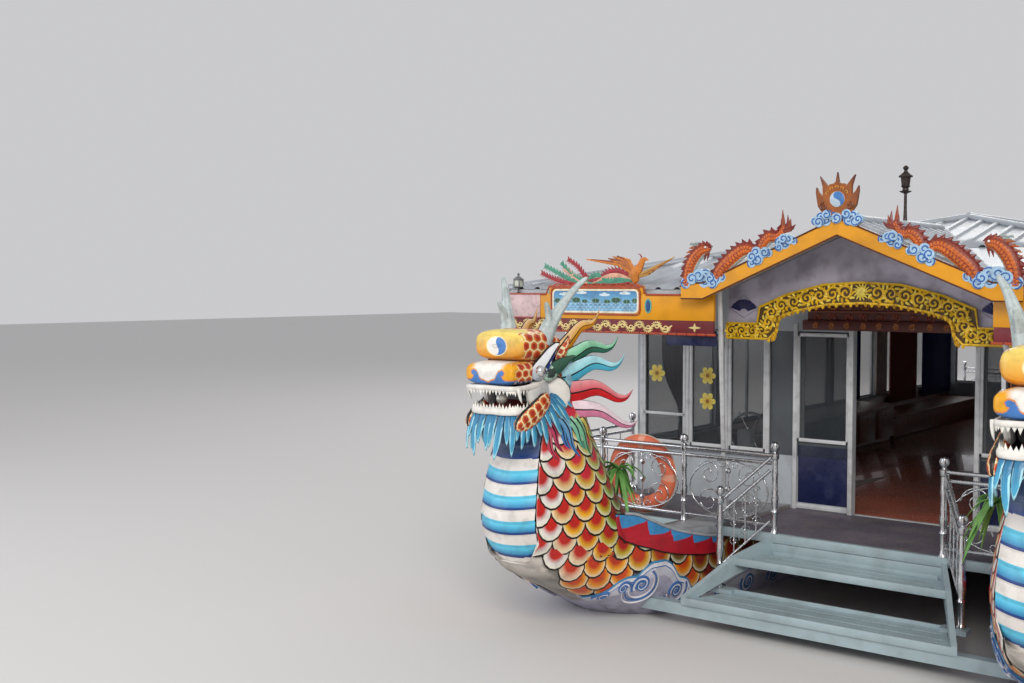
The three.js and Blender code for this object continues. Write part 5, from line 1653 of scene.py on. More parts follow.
FRAME_FACE = WALL_FRONT - 0.0095
# Columns: inner and outer end, front and back before the wall's face, foot, top, eased edge. In order: two
# jambs, the foot of the fixed pane, four mullions and the sill
FRONT_BARS = [
    (0.578, 0.622, 0.04, CLEAR, 0.001, 1.86, 0.004), (1.158, 1.202, 0.035, 0.0095, 0.001, 1.86, 0.004),
    (0.62, 1.16, 0.022, CLEAR, 0.012, 0.06, 0.004),
    *((x - 0.02, x + 0.02, 0.034, 0.0095, 0.52, 1.84, 0.004) for x in (1.48, 1.95, 2.41, 2.98)),
    (1.46, 3.0, 0.06, 0.0095, 0.50, 0.535, 0.006),
]
frames = []
for sign in (-1, 1):
    for a, b in FRONT_WINDOWS:
        x0, x1 = sorted((sign * a, sign * b))
        frames += window_frame(x0, x1, SILL, WINDOW_HEAD, FRAME_FACE, 0.86 if a > 2.0 else None, 0.022)
    x0, x1 = sorted((sign * 0.62, sign * 1.16))
    frames += window_frame(x0, x1, PANEL_SILL, WINDOW_HEAD, FRAME_FACE, None, 0.022)
    for inner, outer, front, back, low, high, edge in FRONT_BARS:
        x0, x1 = sorted((sign * inner, sign * outer))
        frames.append(slab("bar", (x0, WALL_FRONT - front, low), (x1, WALL_FRONT - back, high), edge))
frames.append(slab("head", (-0.62, WALL_FRONT - 0.03, 1.822), (0.62, WALL_FRONT - CLEAR, 1.862), 0.004))
placed(joined(frames, "front_frames"), "wall_paint", frame_paint)

navy_panels = []
for sign in (-1, 1):
    x0, x1 = sorted((sign * 0.63, sign * 1.15))
    navy_panels.append(slab("navy", (x0, WALL_FRONT - 0.008, 0.07), (x1, WALL_FRONT - CLEAR, 0.645), 0.002))
placed(joined(navy_panels, "navy_panels"), "wall_paint", navy_paint)

# Side windows: six a side, each in an aluminium frame with a middle rail; ribs stiffen the plating below them.
side_parts = []
SIDE_FROM, SIDE_TO, SIDE_WINDOWS = WALL_FRONT + 0.0603, WALL_REAR - 0.0603, 6
pitch = (SIDE_TO - SIDE_FROM) / SIDE_WINDOWS
for i in range(SIDE_WINDOWS):
    y0, y1 = SIDE_FROM + i * pitch + 0.07, SIDE_FROM + (i + 1) * pitch - 0.07
    x0, x1 = -WALL_X - 0.014, -WALL_X + 0.02
    side_parts += [
        slab("bar", (x0, y0 - 0.02, SILL - 0.02), (x1, y0 + 0.025, WINDOW_HEAD + 0.02), 0.004),
        slab("bar", (x0, y1 - 0.025, SILL - 0.02), (x1, y1 + 0.02, WINDOW_HEAD + 0.02), 0.004),
        slab("bar", (x0, y0, SILL - 0.02), (x1, y1, SILL + 0.025), 0.004),
        slab("bar", (x0, y0, WINDOW_HEAD - 0.025), (x1, y1, WINDOW_HEAD + 0.02), 0.004),
        slab("bar", (x0, (y0 + y1) / 2 - 0.018, SILL), (x1, (y0 + y1) / 2 + 0.018, WINDOW_HEAD), 0.004),
    ]
    for k in range(4):
        y = y0 + (y1 - y0) * (k + 0.5) / 4
        side_parts.append(slab("rib", (-WALL_X - 0.012, y - 0.03, 0.05), (-WALL_X - 0.0003, y + 0.03, SILL - 0.06),
                               0.005))
    side_parts.append(slab("batten", (-WALL_X - 0.010, y0 - 0.05, 1.85), (-WALL_X - 0.0003, y1 + 0.05, 1.89), 0.004))
on_sides(joined(side_parts, "side_frames"), "side_frames", "wall_paint", frame_paint)
rear_parts = []
for sign in (-1, 1):
    for a, b in ((0.70, 1.65), (1.75, 2.90)):
        x0, x1 = sorted((sign * a, sign * b))
        rear_parts += window_frame(x0, x1, SILL, WINDOW_HEAD, WALL_REAR + 0.02, 1.2, 0.0195)
    x = sign * 0.47
    rear_parts.append(slab("jamb", (x - 0.018, WALL_REAR + CLEAR, 0.001), (x + 0.018, WALL_REAR + 0.03, 1.85), 0.004))
rear_parts.append(slab("head", (-0.488, WALL_REAR + CLEAR, 1.822), (0.488, WALL_REAR + 0.03, 1.86), 0.004))
placed(joined(rear_parts, "rear_frames"), "wall_paint", frame_paint)

# Inside the cabin: a varnished red-brown floor, painted lighter than its varnish as painted light in the
# unlit cabin, a pale sill in the doorway, and dark timber lockers with low benches aft of them under the
# windows on both sides.
# The floor's paint is lighter than the varnish's own colour: painted light, in place of a lamp inside the cabin.
lit_cabin_floor = finish("lit_cabin_floor", tone("#a25a48"), rough=0.2, cloud=0.3, cloud_size=1.2, dirt=(tone("#8a6a58"), 0.3),
                     bump=0.1, coat=0.4)
placed(slab("lit_cabin_floor", (-2.98, 1.445, CLEAR), (2.98, 11.395, 0.006), 0.001), "wall_paint", lit_cabin_floor)
placed(slab("door_sill", (-0.57, 1.383, CLEAR), (0.57, 1.437, 0.007), 0.002), "wall_paint", frame_paint)
lockers = [slab("counter", (-2.97, 3.0, 0.50), (-2.30, 7.22, 0.53), 0.006),
           slab("plinth", (-2.97, 3.06, 0.007), (-2.42, 7.16, 0.07), 0.003),
           slab("bench", (-2.97, 7.30, 0.29), (-2.40, 11.20, 0.33), 0.008),
           slab("bench_front", (-2.97, 7.34, 0.007), (-2.44, 11.16, 0.29), 0.004),
           slab("dado", (-2.985, 2.0, 0.007), (-2.972, 11.35, 0.50), 0.003)]
for i in range(6):
    y = 3.05 + 0.685 * i
    lockers.append(slab("locker", (-2.97, y + 0.008, 0.07), (-2.36, y + 0.677, 0.50), 0.006))
    lockers.append(slab("door", (-2.362, y + 0.06, 0.11), (-2.345, y + 0.625, 0.46), 0.006))
    lockers.append(slab("grip", (-2.347, y + 0.31, 0.39), (-2.325, y + 0.38, 0.41), 0.004))
on_sides(joined(lockers, "lockers"), "timber_lockers", "wall_paint", timber)

# The sliding leaves of the bow doorway and the hinged stern door: each has a pale frame, a dark pane above and
# a navy panel below.
DOOR_FOOT, DOOR_SPLIT = 0.008, 0.69


def door(name, ends, run, high, inset, pane_high, panel, pane, node, body):
    """A door of two stiles and three rails, with a lower panel and a pane. Panel and pane: ends, run and, last, top."""
    (x0, x1), (y0, y1) = ends, run
    left, right = x0 + inset - 0.002, x1 - inset + 0.002
    parts = [slab("stile", (a, y0, DOOR_FOOT), (b, y1, high)) for a, b in ((x0, x0 + inset), (x1 - inset, x1))]
    for low, top in ((DOOR_FOOT, DOOR_FOOT + 0.07), (pane_high, high), (DOOR_SPLIT - 0.05, DOOR_SPLIT)):
        parts.append(slab("rail", (left, y0, low), (right, y1, top)))
    placed(joined(parts, name.format("frame")), "wall_paint", frame_paint, node, body=body)
    (x0, x1), (y0, y1) = panel
    placed(slab(name.format("panel"), (x0, y0, 0.07), (x1, y1, 0.645), 0.002), "wall_paint", navy_paint, body=body)
    (x0, x1), (y0, y1), top = pane
    placed(slab(name.format("pane"), (x0, y0, 0.685), (x1, y1, top), 0.001), "window_glass", glass, body=body)


for side, sign in SIDES:
    body = "leaf_starboard" if sign < 0 else "leaf_port"
    x0, x1 = sorted((sign * 0.60, sign * 1.18))
    inner = (x0 + 0.045, x1 - 0.045)
    door("leaf_{}_" + side, (x0, x1), (1.448, 1.478), 1.845, 0.05, 1.76, (inner, (1.455, 1.471)),
         (inner, (1.459, 1.467), 1.765),
         f"door_leaf_{side}", body)
inner = (-0.34, 0.34)
door("stern_door_{}", (-0.444, 0.444), (11.415, 11.455), 1.814, 0.11, 1.68, (inner, (11.425, 11.445)),
     (inner, (11.431, 11.439), 1.69), "rear_door", "stern_door")

# Yellow flowers painted on the front glass, dark red curtains tied back inside it, and brown and navy curtains
# hung inside the side windows.
flower_paint = finish("flower_paint", rough=0.5, cloud=0.15, cloud_size=14, bump=0.1)
FLOWERS = [(sign * x, z, r) for sign in (-1, 1)
           for x, z, r in ((2.80, 1.29, 0.10), (2.18, 1.29, 0.095), (2.18, 1.02, 0.095))]
FLOWER_FACE = aft(WALL_FRONT - 0.0088)


def flower(x, z, radius):
    """A flat six-petalled flower."""
    def place(u, v):
        a = 2 * math.pi * u
        r = radius * v * (0.52 + 0.48 * abs(math.cos(3 * a)) ** 0.5)
        return Vector((x + r * math.cos(a), FLOWER_FACE - 0.0035 * (1 - v) - 0.001, up(z) + r * math.sin(a)))

    def colour(u, v):
        return tone("#9a5d17") if v < 0.25 else mixed(tone("#d9a71c"), tone("#efe06a"), v)

    return settled(shaped_grid("flower", 60, 4, place, colour, True))


placed(joined([flower(*row) for row in FLOWERS], "glass_flowers"), "window_glass", flower_paint)
red_cloth, brown_cloth, navy_cloth, cream_cloth = [
    finish(f"{name}_cloth", tone(code), rough=0.85, cloud=0.2, cloud_size=8, bump=0.5, bump_size=300)
    for name, code in (("red", "#561017"), ("brown", "#7a4638"), ("navy", "#2d3468"), ("cream", "#b9aaa2"))
]
CURTAIN_HEAD, CURTAIN_THICK = 1.80, 0.003


def curtain_place(x0, x1, tie_x, tie_z, y):
    """A gathered curtain that hangs in folds and is drawn in at its tie."""
    def place(u, v):
        z = CURTAIN_HEAD - 1.72 * v
        pull = math.exp(-((z - tie_z) / 0.35) ** 2) if z > tie_z else 1 - 0.35 * (tie_z - z)
        x = x0 + (x1 - x0) * u
        x = x + (tie_x - x) * 0.72 * max(pull, 0)
        return Vector((x, aft(y) + 0.020 * math.sin(u * 34) * (1 + 0.7 * max(pull, 0)), up(z)))
    return place


for k, (x0, x1, tie) in enumerate(((-2.84, -2.46, -2.52), (2.46, 2.84, 2.52))):
    cloth = shaped_grid(f"curtain_{k}", 60, 40, curtain_place(x0, x1, tie, 0.80, 1.53))
    cloth = thickened(settled(cloth, 60), CURTAIN_THICK, 0)
    placed(cloth, "wall_paint", red_cloth)
# Columns: ends along the side, foot, cloth
SIDE_CURTAINS = [(7.02, 7.30, 0.56, navy_cloth), (7.90, 8.32, 0.56, cream_cloth), (8.45, 9.62, 0.40, brown_cloth),
                 (9.90, 11.25, 0.40, navy_cloth)]
for side, sign in SIDES:
    for k, (y0, y1, foot, fabric) in enumerate(SIDE_CURTAINS):
        def hung_place(u, v, y0=y0, y1=y1, foot=foot):
            sway = 0.016 * math.sin(2 * math.pi * (y0 + (y1 - y0) * u) / 0.07)
            return Vector((sign * (2.935 + sway), aft(y0 + (y1 - y0) * u),
                           up(CURTAIN_HEAD - (CURTAIN_HEAD - foot) * v)))

        cloth = shaped_grid(f"side_curtain_{side}{k}", round((y1 - y0) / 0.0117), 6, hung_place)
        cloth = thickened(settled(cloth, 60), CURTAIN_THICK, 0)
        placed(cloth, "wall_paint", fabric)

# The helm: a spoked wheel of polished steel on a boss, standing aft of its pedestal behind the window.
HELM_X, HELM_Y, HELM_Z, HELM_RIM = -1.90, 1.796, 0.65, 0.230
wheel_lines = [([(a, HELM_Y, b) for a, b in oval(HELM_X, HELM_Z, HELM_RIM, HELM_RIM, 40)], 0.014)]
for k in range(6):
    a = math.pi * k / 3
    c, s = math.cos(a), math.sin(a)
    wheel_lines.append(([(HELM_X + r * c, HELM_Y, HELM_Z + r * s) for r in (0.03, 0.15, 0.23, 0.27)], 0.009))
hub = spun("hub", [(0.020, -0.030), (0.044, -0.026), (0.046, 0.0), (0.040, 0.024), (0.018, 0.030)],
           (HELM_X, HELM_Y, HELM_Z), 24, way="Y")
placed(joined([tubes("wheel", wheel_lines), hub], "spoked_wheel"), "stainless", steel, "steering_wheel", body="helm")

# The roofs: pale corrugated sheets screwed down over the four slopes of the hipped roof and over the porch,
# with folded caps along the ridges.
roof_sheet = finish("roof_sheet", tone("#a9b0b8"), rough=0.42, metal=0.15, cloud=0.15, cloud_size=1.4,
                    dirt=(tone("#8b8f8e"), 0.5),
                    bump=0.15, stretch=(1, 1, 1))
recoated(roof_sheet, "roof_front", "roof_side_s", "roof_side_p", "roof_rear", "roof_portico")
EAVE, RIDGE, ROOF_X = 2.20, 2.93, 3.60
ROOF_Y0, ROOF_Y1, RIDGE_Y0, RIDGE_Y1 = -0.24, 12.75, 2.90, 9.60
RIB_PITCH, RIB_HIGH = 0.20, 0.022


def rib(along):
    """The height of the corrugation at a place across the sheet."""
    t = abs((along / RIB_PITCH) % 1 - 0.5) * 2
    return RIB_HIGH * min(max((t - 0.62) / 0.2, 0), 1)


def roof_height(x, y):
    """The hipped roof's own height over a spot in plan."""
    to_eave = min((ROOF_X - abs(x)) / ROOF_X, (y - ROOF_Y0) / (RIDGE_Y0 - ROOF_Y0),
                  (ROOF_Y1 - y) / (ROOF_Y1 - RIDGE_Y1))
    return EAVE + (RIDGE - EAVE) * max(min(to_eave, 1), 0)


def rib_stops(low, high):
    """Places across a sheet where its corrugation bends."""
    stops, k = {low, high}, math.floor(low / RIB_PITCH) - 1
    while k * RIB_PITCH < high + RIB_PITCH:
        stops |= {s for s in ((k + t) * RIB_PITCH for t in (0.09, 0.19, 0.5, 0.81, 0.91)) if low < s < high}
        k += 1
    return sorted(stops)


def sheeting(name, stops, ends, rows=3):
    """A corrugated sheet: for each stop across it, its foot and top in plan and height."""
    last = len(stops) - 1

    def place(u, v):
        stop = stops[round(u * last)]
        foot, top = ends(stop)
        point = foot.lerp(top, v)
        return Vector((point.x, aft(point.y), up(point.z + 0.004 + rib(stop))))

    return thickened(settled(shaped_grid(name, last, rows, place), 30), 0.003, -1)


def side_ends(y):
    """Foot and top of the side slope at a place along the boat."""
    top_share = min(1, (y - ROOF_Y0) / (RIDGE_Y0 - ROOF_Y0), (ROOF_Y1 - y) / (ROOF_Y1 - RIDGE_Y1))
    top_x = ROOF_X * (1 - top_share)
    return Vector((ROOF_X + 0.02, y, EAVE - 0.004)), Vector((top_x + 0.01, y, roof_height(top_x, y)))


side_sheet = sheeting("side_sheet", rib_stops(ROOF_Y0 + 0.05, ROOF_Y1 - 0.05), side_ends)
PORCH_HALF = 1.24


def front_ends(x):
    """Foot and top of the front slope at a place across; behind the porch it starts at the wall."""
    reach = 1 - abs(x) / ROOF_X
    top_y = ROOF_Y0 + (RIDGE_Y0 - ROOF_Y0) * reach
    foot_y = 1.40 if abs(x) < PORCH_HALF + 0.005 else ROOF_Y0 - 0.015
    foot = Vector((x, min(foot_y, top_y), roof_height(x, foot_y) if foot_y > 0 else EAVE))
    return foot, Vector((x, top_y, roof_height(x, top_y)))


def rear_ends(x):
    """Foot and top of the rear slope at a place across."""
    top_y = ROOF_Y1 - (ROOF_Y1 - RIDGE_Y1) * (1 - abs(x) / ROOF_X)
    return Vector((x, ROOF_Y1 + 0.015, EAVE)), Vector((x, top_y, roof_height(x, top_y)))


sheets = [side_sheet, flip_copy(side_sheet, "other_side_sheet")]
for low, high in ((-3.55, -PORCH_HALF - 0.01), (-PORCH_HALF, PORCH_HALF), (PORCH_HALF + 0.01, 3.55)):
    sheets.append(sheeting("front_sheet", rib_stops(low, high), front_ends))
sheets.append(sheeting("rear_sheet", rib_stops(-3.55, 3.55), rear_ends))
GABLE_APEX, GABLE_KINK, GABLE_KINK_X, GABLE_END_X, GABLE_Y = 2.78, 2.25, 1.24, 1.46, -0.42


def porch_top(x):
    """The height of the porch roof, which levels out at the gable's kinks."""
    return GABLE_APEX - (GABLE_APEX - GABLE_KINK) * min(abs(x) / GABLE_KINK_X, 1)


def porch_meets(x):
    """How far aft the porch roof runs before the main roof rises over it."""
    return ROOF_Y0 + (RIDGE_Y0 - ROOF_Y0) * (porch_top(x) - EAVE) / (RIDGE - EAVE)


def porch_place(u, v):
    """A spot on one half of the porch sheet, u aft and v down the slope."""
    y = -0.372 + 2.75 * u
    x = 0.012 + (GABLE_END_X - 0.012) * v
    y = min(y, porch_meets(x) + 0.05)
    return Vector((x, aft(y), up(porch_top(x) + 0.004 + rib(y) * (1 if y < porch_meets(x) else 0))))


porch_sheet = thickened(settled(shaped_grid("porch_sheet", 138, 16, porch_place), 30), 0.003, -1)
sheets += [porch_sheet, flip_copy(porch_sheet, "other_porch_sheet")]
corners = [(sx * ROOF_X, y, EAVE + 0.01) for y in (ROOF_Y0, ROOF_Y1) for sx in (-1, 1)]
cap_lines = [([(0, RIDGE_Y0, RIDGE + 0.014), (0, RIDGE_Y1, RIDGE + 0.014)], 0.05),
             ([(0, -0.37, GABLE_APEX + 0.010), (0, 2.05, GABLE_APEX + 0.010)], 0.045)]
for x, y, z in corners:
    front = y < 0
    top = (0, RIDGE_Y0 if front else RIDGE_Y1, RIDGE + 0.012)
    cap_lines.append(([(x * 0.995, y + (0.01 if front else -0.01), z), top], 0.04))
placed(joined(sheets + [tubes("caps", cap_lines, 10)], "roof_sheeting"), "roof_sheet", roof_sheet)
dark_iron = finish("dark_iron", tone("#3a3232"), rough=0.5, metal=0.6, cloud=0.3, cloud_size=12,
                   dirt=(tone("#6d5a4c"), 0.4), bump=0.3)

# The gable: a yellow sheet-metal barge board with folded edges, a bare grey-violet board behind it, painted
# lighter as painted light against its shade, with a navy fan in each corner, and a brown carved lintel over the
# doorway.
yellow_paint = finish("yellow_paint", tone("#dc9604"), rough=0.42, cloud=0.14, cloud_size=1.2,
                      dirt=(tone("#8a5a14"), 0.35), bump=0.12)
# The tympanum's grey-violet is painted lighter than the board's own colour, as painted light against the shade under
# the barge board.
grey_board = finish("grey_board", tone("#b2adbd"), rough=0.6, cloud=0.22, cloud_size=1.8, dirt=(tone("#4d4650"), 0.45),
                    bump=0.2)
recoated(yellow_paint, "gable_board")
recoated(grey_board, "tympanum")
carving = finish("carving", rough=0.45, cloud=0.2, cloud_size=7, dirt=(GRIME, 0.35), bump=0.3, bump_size=45)
BROWN_LINE, FAN_NAVY, DIAMOND_PALE = tone("#5b2a12"), tone("#171b55"), tone("#9a95a8")
gable_line = [(-GABLE_END_X, GABLE_KINK), (-GABLE_KINK_X, GABLE_KINK), (0, GABLE_APEX), (GABLE_KINK_X, GABLE_KINK),
              (GABLE_END_X, GABLE_KINK)]
edge_lines = []
for drop, radius in ((-0.012, 0.008), (0.128, 0.007)):
    edge_lines.append(drawn([(x, z - drop) for x, z in gable_line], GABLE_Y - 0.002, radius, BROWN_LINE))
FAN_X = 1.123
fans = []
for sign in (-1, 1):
    def fan_place(u, v, sign=sign):
        a = math.radians(20 + 140 * u)
        r = 0.035 + 0.085 * v
        pleat = 0.004 * abs(math.sin(9 * math.pi * u))
        return Vector((sign * FAN_X + 1.15 * r * math.cos(a), aft(0.1332 - pleat), up(1.992 + r * math.sin(a))))

    fans.append(settled(shaped_grid("fan", 54, 4, fan_place, lambda u, v: FAN_NAVY), 20))
    diamond = [(-0.15, 0.0), (0.0, 0.115), (0.15, 0.0), (0.0, -0.09), (-0.15, 0.0)]
    edge_lines.append(drawn([(sign * FAN_X + a, 2.035 + b) for a, b in diamond], 0.1335, 0.004, DIAMOND_PALE))
placed(joined(fans + [beads("gable_edges", edge_lines, 6)], "gable_trim"), "eaves_paint", carving)

lintel_lines = []
LINTEL_Y = 1.362
for row, (z, size) in enumerate(((2.20, 0.060), (2.05, 0.062), (1.93, 0.045), (1.845, 0.030))):
    for i in range(13):
        x = -0.96 + 0.16 * i
        spots = curl(x, z, size, 90 * (i % 2) + 30, 1.5, 1 if (i + row) % 2 else -1, 12)
        lintel_lines.append(drawn(spots, LINTEL_Y if row < 3 else LINTEL_Y - 0.034, 0.011,
                                  tone("#a3602c") if row % 2 else tone("#8a3a22")))
for z in (1.88, 1.985, 2.12, 2.28):
    lintel_lines.append(drawn([(-1.05, z), (1.05, z)], LINTEL_Y, 0.012, tone("#7d3b22")))
lintel_parts = [slab("lintel_back", (-1.06, LINTEL_Y + 0.002, 1.865), (1.06, WALL_FRONT - CLEAR, 2.30), 0.002,
                     tone("#5d2218")),
                slab("lintel_foot", (-1.10, LINTEL_Y - 0.032, 1.800), (1.10, LINTEL_Y - 0.023, 1.895), 0.002,
                     tone("#5d2218")),
                beads("lintel_scrolls", lintel_lines, 5, 0.7)]
placed(joined(lintel_parts, "door_lintel"), "wall_paint", carving)

# The arch: a fretted band of scrolling leaves, cut and gilded, on a dark backing that is painted shade
# in place of the openings of the fretwork, with a sun boss at its crown.
arch_shade_backing = finish("arch_shade_backing", tone("#4d3507"), rough=0.6, cloud=0.3, cloud_size=9, dirt=(GRIME, 0.5))
# The backing's dark brown is painted shade, for the gloom seen through the pierced carving.
recoated(arch_shade_backing, "arch_lintel")
gilding = finish("gilding", rough=0.36, metal=0.08, cloud=0.18, cloud_size=9, dirt=(tone("#6d4c0b"), 0.5), bump=0.3,
                 bump_size=60)
GOLD, GOLD_PALE, GOLD_DEEP = tone("#e0b41c"), tone("#f0d85a"), tone("#b8860f")
ARCH_OUTER = [(1.28, 1.76), (1.28, 1.895), (0.975, 1.895), (0.953, 2.046), (0.690, 2.158), (0.343, 2.246), (0, 2.265)]
ARCH_INNER = [(1.28, 1.76), (0.860, 1.760), (0.790, 1.830), (0.750, 1.960), (0.600, 2.015), (0.300, 2.075), (0, 2.090)]
ARCH_FACE, BOSS_Z = 0.106, 2.187


def whole(half):
    """A half outline and its mirror image."""
    return half + [(-x, z) for x, z in half[-2::-1]]


arch_lines = [drawn(whole(edge), ARCH_FACE, 0.012, GOLD) for edge in (ARCH_OUTER, ARCH_INNER)]
ARCH_MIDDLE = [
    (0, 1.235, 1.828, 0.055), (1, 1.13, 1.828, 0.055), (2, 1.02, 1.828, 0.055), (3, 0.93, 1.835, 0.058),
    (4, 0.868, 1.91, 0.062), (5, 0.835, 2.00, 0.062), (6, 0.74, 2.062, 0.058), (7, 0.62, 2.095, 0.062),
    (8, 0.50, 2.128, 0.064), (9, 0.38, 2.153, 0.066), (10, 0.26, 2.168, 0.068), (11, 0.14, 2.176, 0.070),
]
leaf_chance = random.Random(3)
for sign in (-1, 1):
    for i, x, z, room in ARCH_MIDDLE:
        hand = 1 if i % 2 else -1
        spots = curl(sign * x, z, room, leaf_chance.uniform(0, 360), 1.5, hand * sign, 18, 0.1)
        arch_lines.append(drawn(spots, ARCH_FACE, 0.013, GOLD, 0.4))
        for k in range(9):
            a = 2 * math.pi * k / 9 + i
            inner, outer = room * 0.82, room * 1.32
            mid = a + hand * 0.28
            leaf = [(inner, a, 0.004, 0.010), ((inner + outer) / 2, mid, -0.004, 0.012),
                    (outer, mid + 0.12 * hand, 0.002, 0.003)]
            arch_lines.append(ray(sign * x, z, ARCH_FACE, leaf, GOLD_PALE if k % 2 else GOLD))
    for k in range(26):
        t = k / 26 * (len(ARCH_INNER) - 2) + 1
        x, z = row_at(ARCH_INNER, t)
        drop = [(sign * x, z + 0.006, 0.016), (sign * x, z - 0.024, 0.013), (sign * x, z - 0.034, 0.004)]
        arch_lines += carved(ARCH_FACE, (drop, GOLD_DEEP if k % 2 else GOLD))
for k in range(14):
    a = 2 * math.pi * k / 14
    arch_lines.append(ray(0, BOSS_Z, ARCH_FACE, [(0.045, a, 0, 0.009), (0.078, a + 0.1, 0, 0.003)], GOLD_PALE))
boss = ball("boss", (0, ARCH_FACE, BOSS_Z), (0.046, 0.022, 0.046), lambda way: GOLD_PALE, 14)
placed(joined([beads("arch_leaves", arch_lines, 5, 0.9), boss], "arch_carving"), "gold_carving", gilding)

# The front fascias: a yellow board with a scalloped brown edge and a framed field, a small round medallion,
# and below them a maroon valance with a gilt arabesque.
FASCIA_Y, FASCIA_TOP, FASCIA_FOOT, VALANCE_FOOT = -0.28, 2.16, 1.92, 1.79
PANEL = (-3.03, -1.95)
CORNER = 0.04
MAROON, ARABESQUE, EDGE_BROWN = tone("#6d0f1c"), tone("#e6d08a"), tone("#a8401a")
FIELD_BLUE, FIELD_PALE = tone("#3f83b8"), tone("#9cc7df")
top_line = [(-3.59, FASCIA_TOP), (PANEL[0] - 0.04, FASCIA_TOP), (PANEL[0], 2.236), (PANEL[1], 2.236),
            (PANEL[1] + 0.04, FASCIA_TOP), (-1.47, FASCIA_TOP)]
fascia_lines = [drawn([(x, z - 0.006) for x, z in top_line], FASCIA_Y - 0.003, 0.011, EDGE_BROWN)]
for i in range(9):
    fascia_lines.append(drawn(oval(PANEL[0] + 0.10 + 0.11 * i, 2.232, 0.05, 0.022, 8, 0.5), FASCIA_Y - 0.002, 0.007,
                              EDGE_BROWN))
for grow, colour, radius in ((0.0, tone("#f0e7d0"), 0.010), (0.022, EDGE_BROWN, 0.009)):
    x0, x1, z0, z1 = PANEL[0] + 0.05 - grow, PANEL[1] - 0.05 + grow, 1.985 - grow, 2.195 + grow
    ring = []
    for cx, cz, start in ((x1, z1, 0), (x0, z1, 90), (x0, z0, 180), (x1, z0, 270)):
        x, z = cx + (-CORNER if cx == x1 else CORNER), cz + (-CORNER if cz == z1 else CORNER)
        angles = [math.radians(start + a) for a in (0, 30, 60, 90)]
        ring += [(x + CORNER * math.cos(a), z + CORNER * math.sin(a)) for a in angles]
    fascia_lines.append(drawn(ring + ring[:1], FASCIA_Y - 0.004, radius, colour))

# Columns: middle across and up, half breadth, half height of a lotus leaf
LOTUS = [
    (0.05, 0.102, 0.040, 0.024), (0.15, 0.096, 0.046, 0.020), (0.27, 0.108, 0.052, 0.028), (0.37, 0.098, 0.036, 0.018),
    (0.50, 0.104, 0.044, 0.022), (0.63, 0.096, 0.040, 0.018), (0.73, 0.110, 0.054, 0.028), (0.85, 0.098, 0.042, 0.020),
    (0.94, 0.106, 0.034, 0.024),
]


def field_place(u, v):
    """A spot on the framed field."""
    return Vector((PANEL[0] + 0.055 + 0.97 * u, aft(FASCIA_Y - 0.003), up(1.99 + 0.20 * v)))


def field_colour(u, v):
    """Rows of pale sea scales, dark lotus leaves over them and small clouds above."""
    x, z = 0.97 * u, 0.20 * v
    for cx, cz, wide, high in LOTUS:
        share = math.hypot((x - cx) / wide, (z - cz) / high)
        if share < 1:
            return tone("#6f9c7c") if share > 0.86 or abs(x - cx) < 0.0025 else tone("#27523f")
    for cx, cz in ((0.13, 0.165), (0.335, 0.178), (0.60, 0.160), (0.83, 0.175)):
        base, crown = ((x - cx) / 0.062, (z - cz) / 0.013), ((x - cx) / 0.026, (z - cz - 0.008) / 0.013)
        if math.hypot(*base) < 1 or math.hypot(*crown) < 1:
            return tone("#d6e6ee")
    if v < 0.50:
        row = int(z / 0.0255)
        ring = math.hypot((x / 0.052 + (0.5 if row % 2 else 0)) % 1 - 0.5, (z / 0.0255) % 1 * 0.5)
        return FIELD_PALE if ring > 0.43 or 0.20 < ring < 0.27 else mixed(tone("#5f9fc6"), FIELD_BLUE, v * 2)
    return mixed(tone("#6fb0d8"), FIELD_BLUE, (v - 0.5) * 2)


field = settled(shaped_grid("field", 260, 54, field_place, field_colour, True), 60)
MEDALLION_X, MEDALLION_Z = -1.888, 2.05
MEDALLION_RIM = oval(MEDALLION_X, MEDALLION_Z, 0.05 * 0.62, 0.05 * 1.25, 20)
fascia_lines.append(drawn(MEDALLION_RIM, FASCIA_Y - 0.004, 0.006, tone("#4fb6b0")))
stone = [(2.0, 0, 0.016), (MEDALLION_Z, 0.002, 0.024), (2.10, 0, 0.016)]
fascia_lines.append(([(MEDALLION_X, aft(FASCIA_Y - d), up(z), r) for z, d, r in stone], tone("#1f4f8a")))
valance = slab("valance", (-3.597, FASCIA_Y + 0.006, VALANCE_FOOT + 0.001),
               (-1.21, FASCIA_Y + 0.030, FASCIA_FOOT + 0.004), 0.002, MAROON)
VALANCE_Y, VALANCE_MID = FASCIA_Y + 0.004, 1.857
stem = [(-3.54 + 0.0235 * k, VALANCE_MID + 0.020 * math.sin(math.pi * 0.0235 * k / 0.094)) for k in range(82)]
fascia_lines.append(drawn(stem, VALANCE_Y, 0.008, ARABESQUE))
for i in range(20):
    x = -3.492 + 0.094 * i
    hand = 1 if i % 2 else -1
    z = VALANCE_MID - 0.012 * hand
    spots = curl(x, z, 0.034, -90 * hand, 1.2, hand, 12, 0.12)
    fascia_lines.append(drawn(spots, VALANCE_Y, 0.008, ARABESQUE, 0.4))
    for k in range(9):
        a = math.radians(-100 + 25 * k) - math.pi / 2 * hand
        b = a + 0.2 * hand
        petal = [(x + 0.030 * math.cos(a), z + 0.026 * math.sin(a), 0.008),
                 (x + 0.058 * math.cos(b), z + 0.044 * math.sin(b), 0.003)]
        fascia_lines += carved(VALANCE_Y, (petal, ARABESQUE))
STAR_X = -1.40
for k in range(4):
    c, s = math.cos(math.pi * k / 2), math.sin(math.pi * k / 2)
    arm = [(STAR_X, VALANCE_MID, 0.014), (STAR_X + 0.035 * c, VALANCE_MID + 0.026 * s, 0.010),
           (STAR_X + 0.062 * c, VALANCE_MID + 0.040 * s, 0.002)]
    fascia_lines += carved(VALANCE_Y, (arm, ARABESQUE))
bottom_scallops = [drawn([(x, VALANCE_FOOT + 0.006), (x + 0.09, VALANCE_FOOT + 0.006)], VALANCE_Y + 0.006, 0.012,
                         EDGE_BROWN)
                   for x in [-3.58 + 0.1 * i for i in range(24)]]
fascia_trim = joined([beads("fascia_lines", fascia_lines + bottom_scallops, 6, 0.7), field, valance], "fascia_trim")
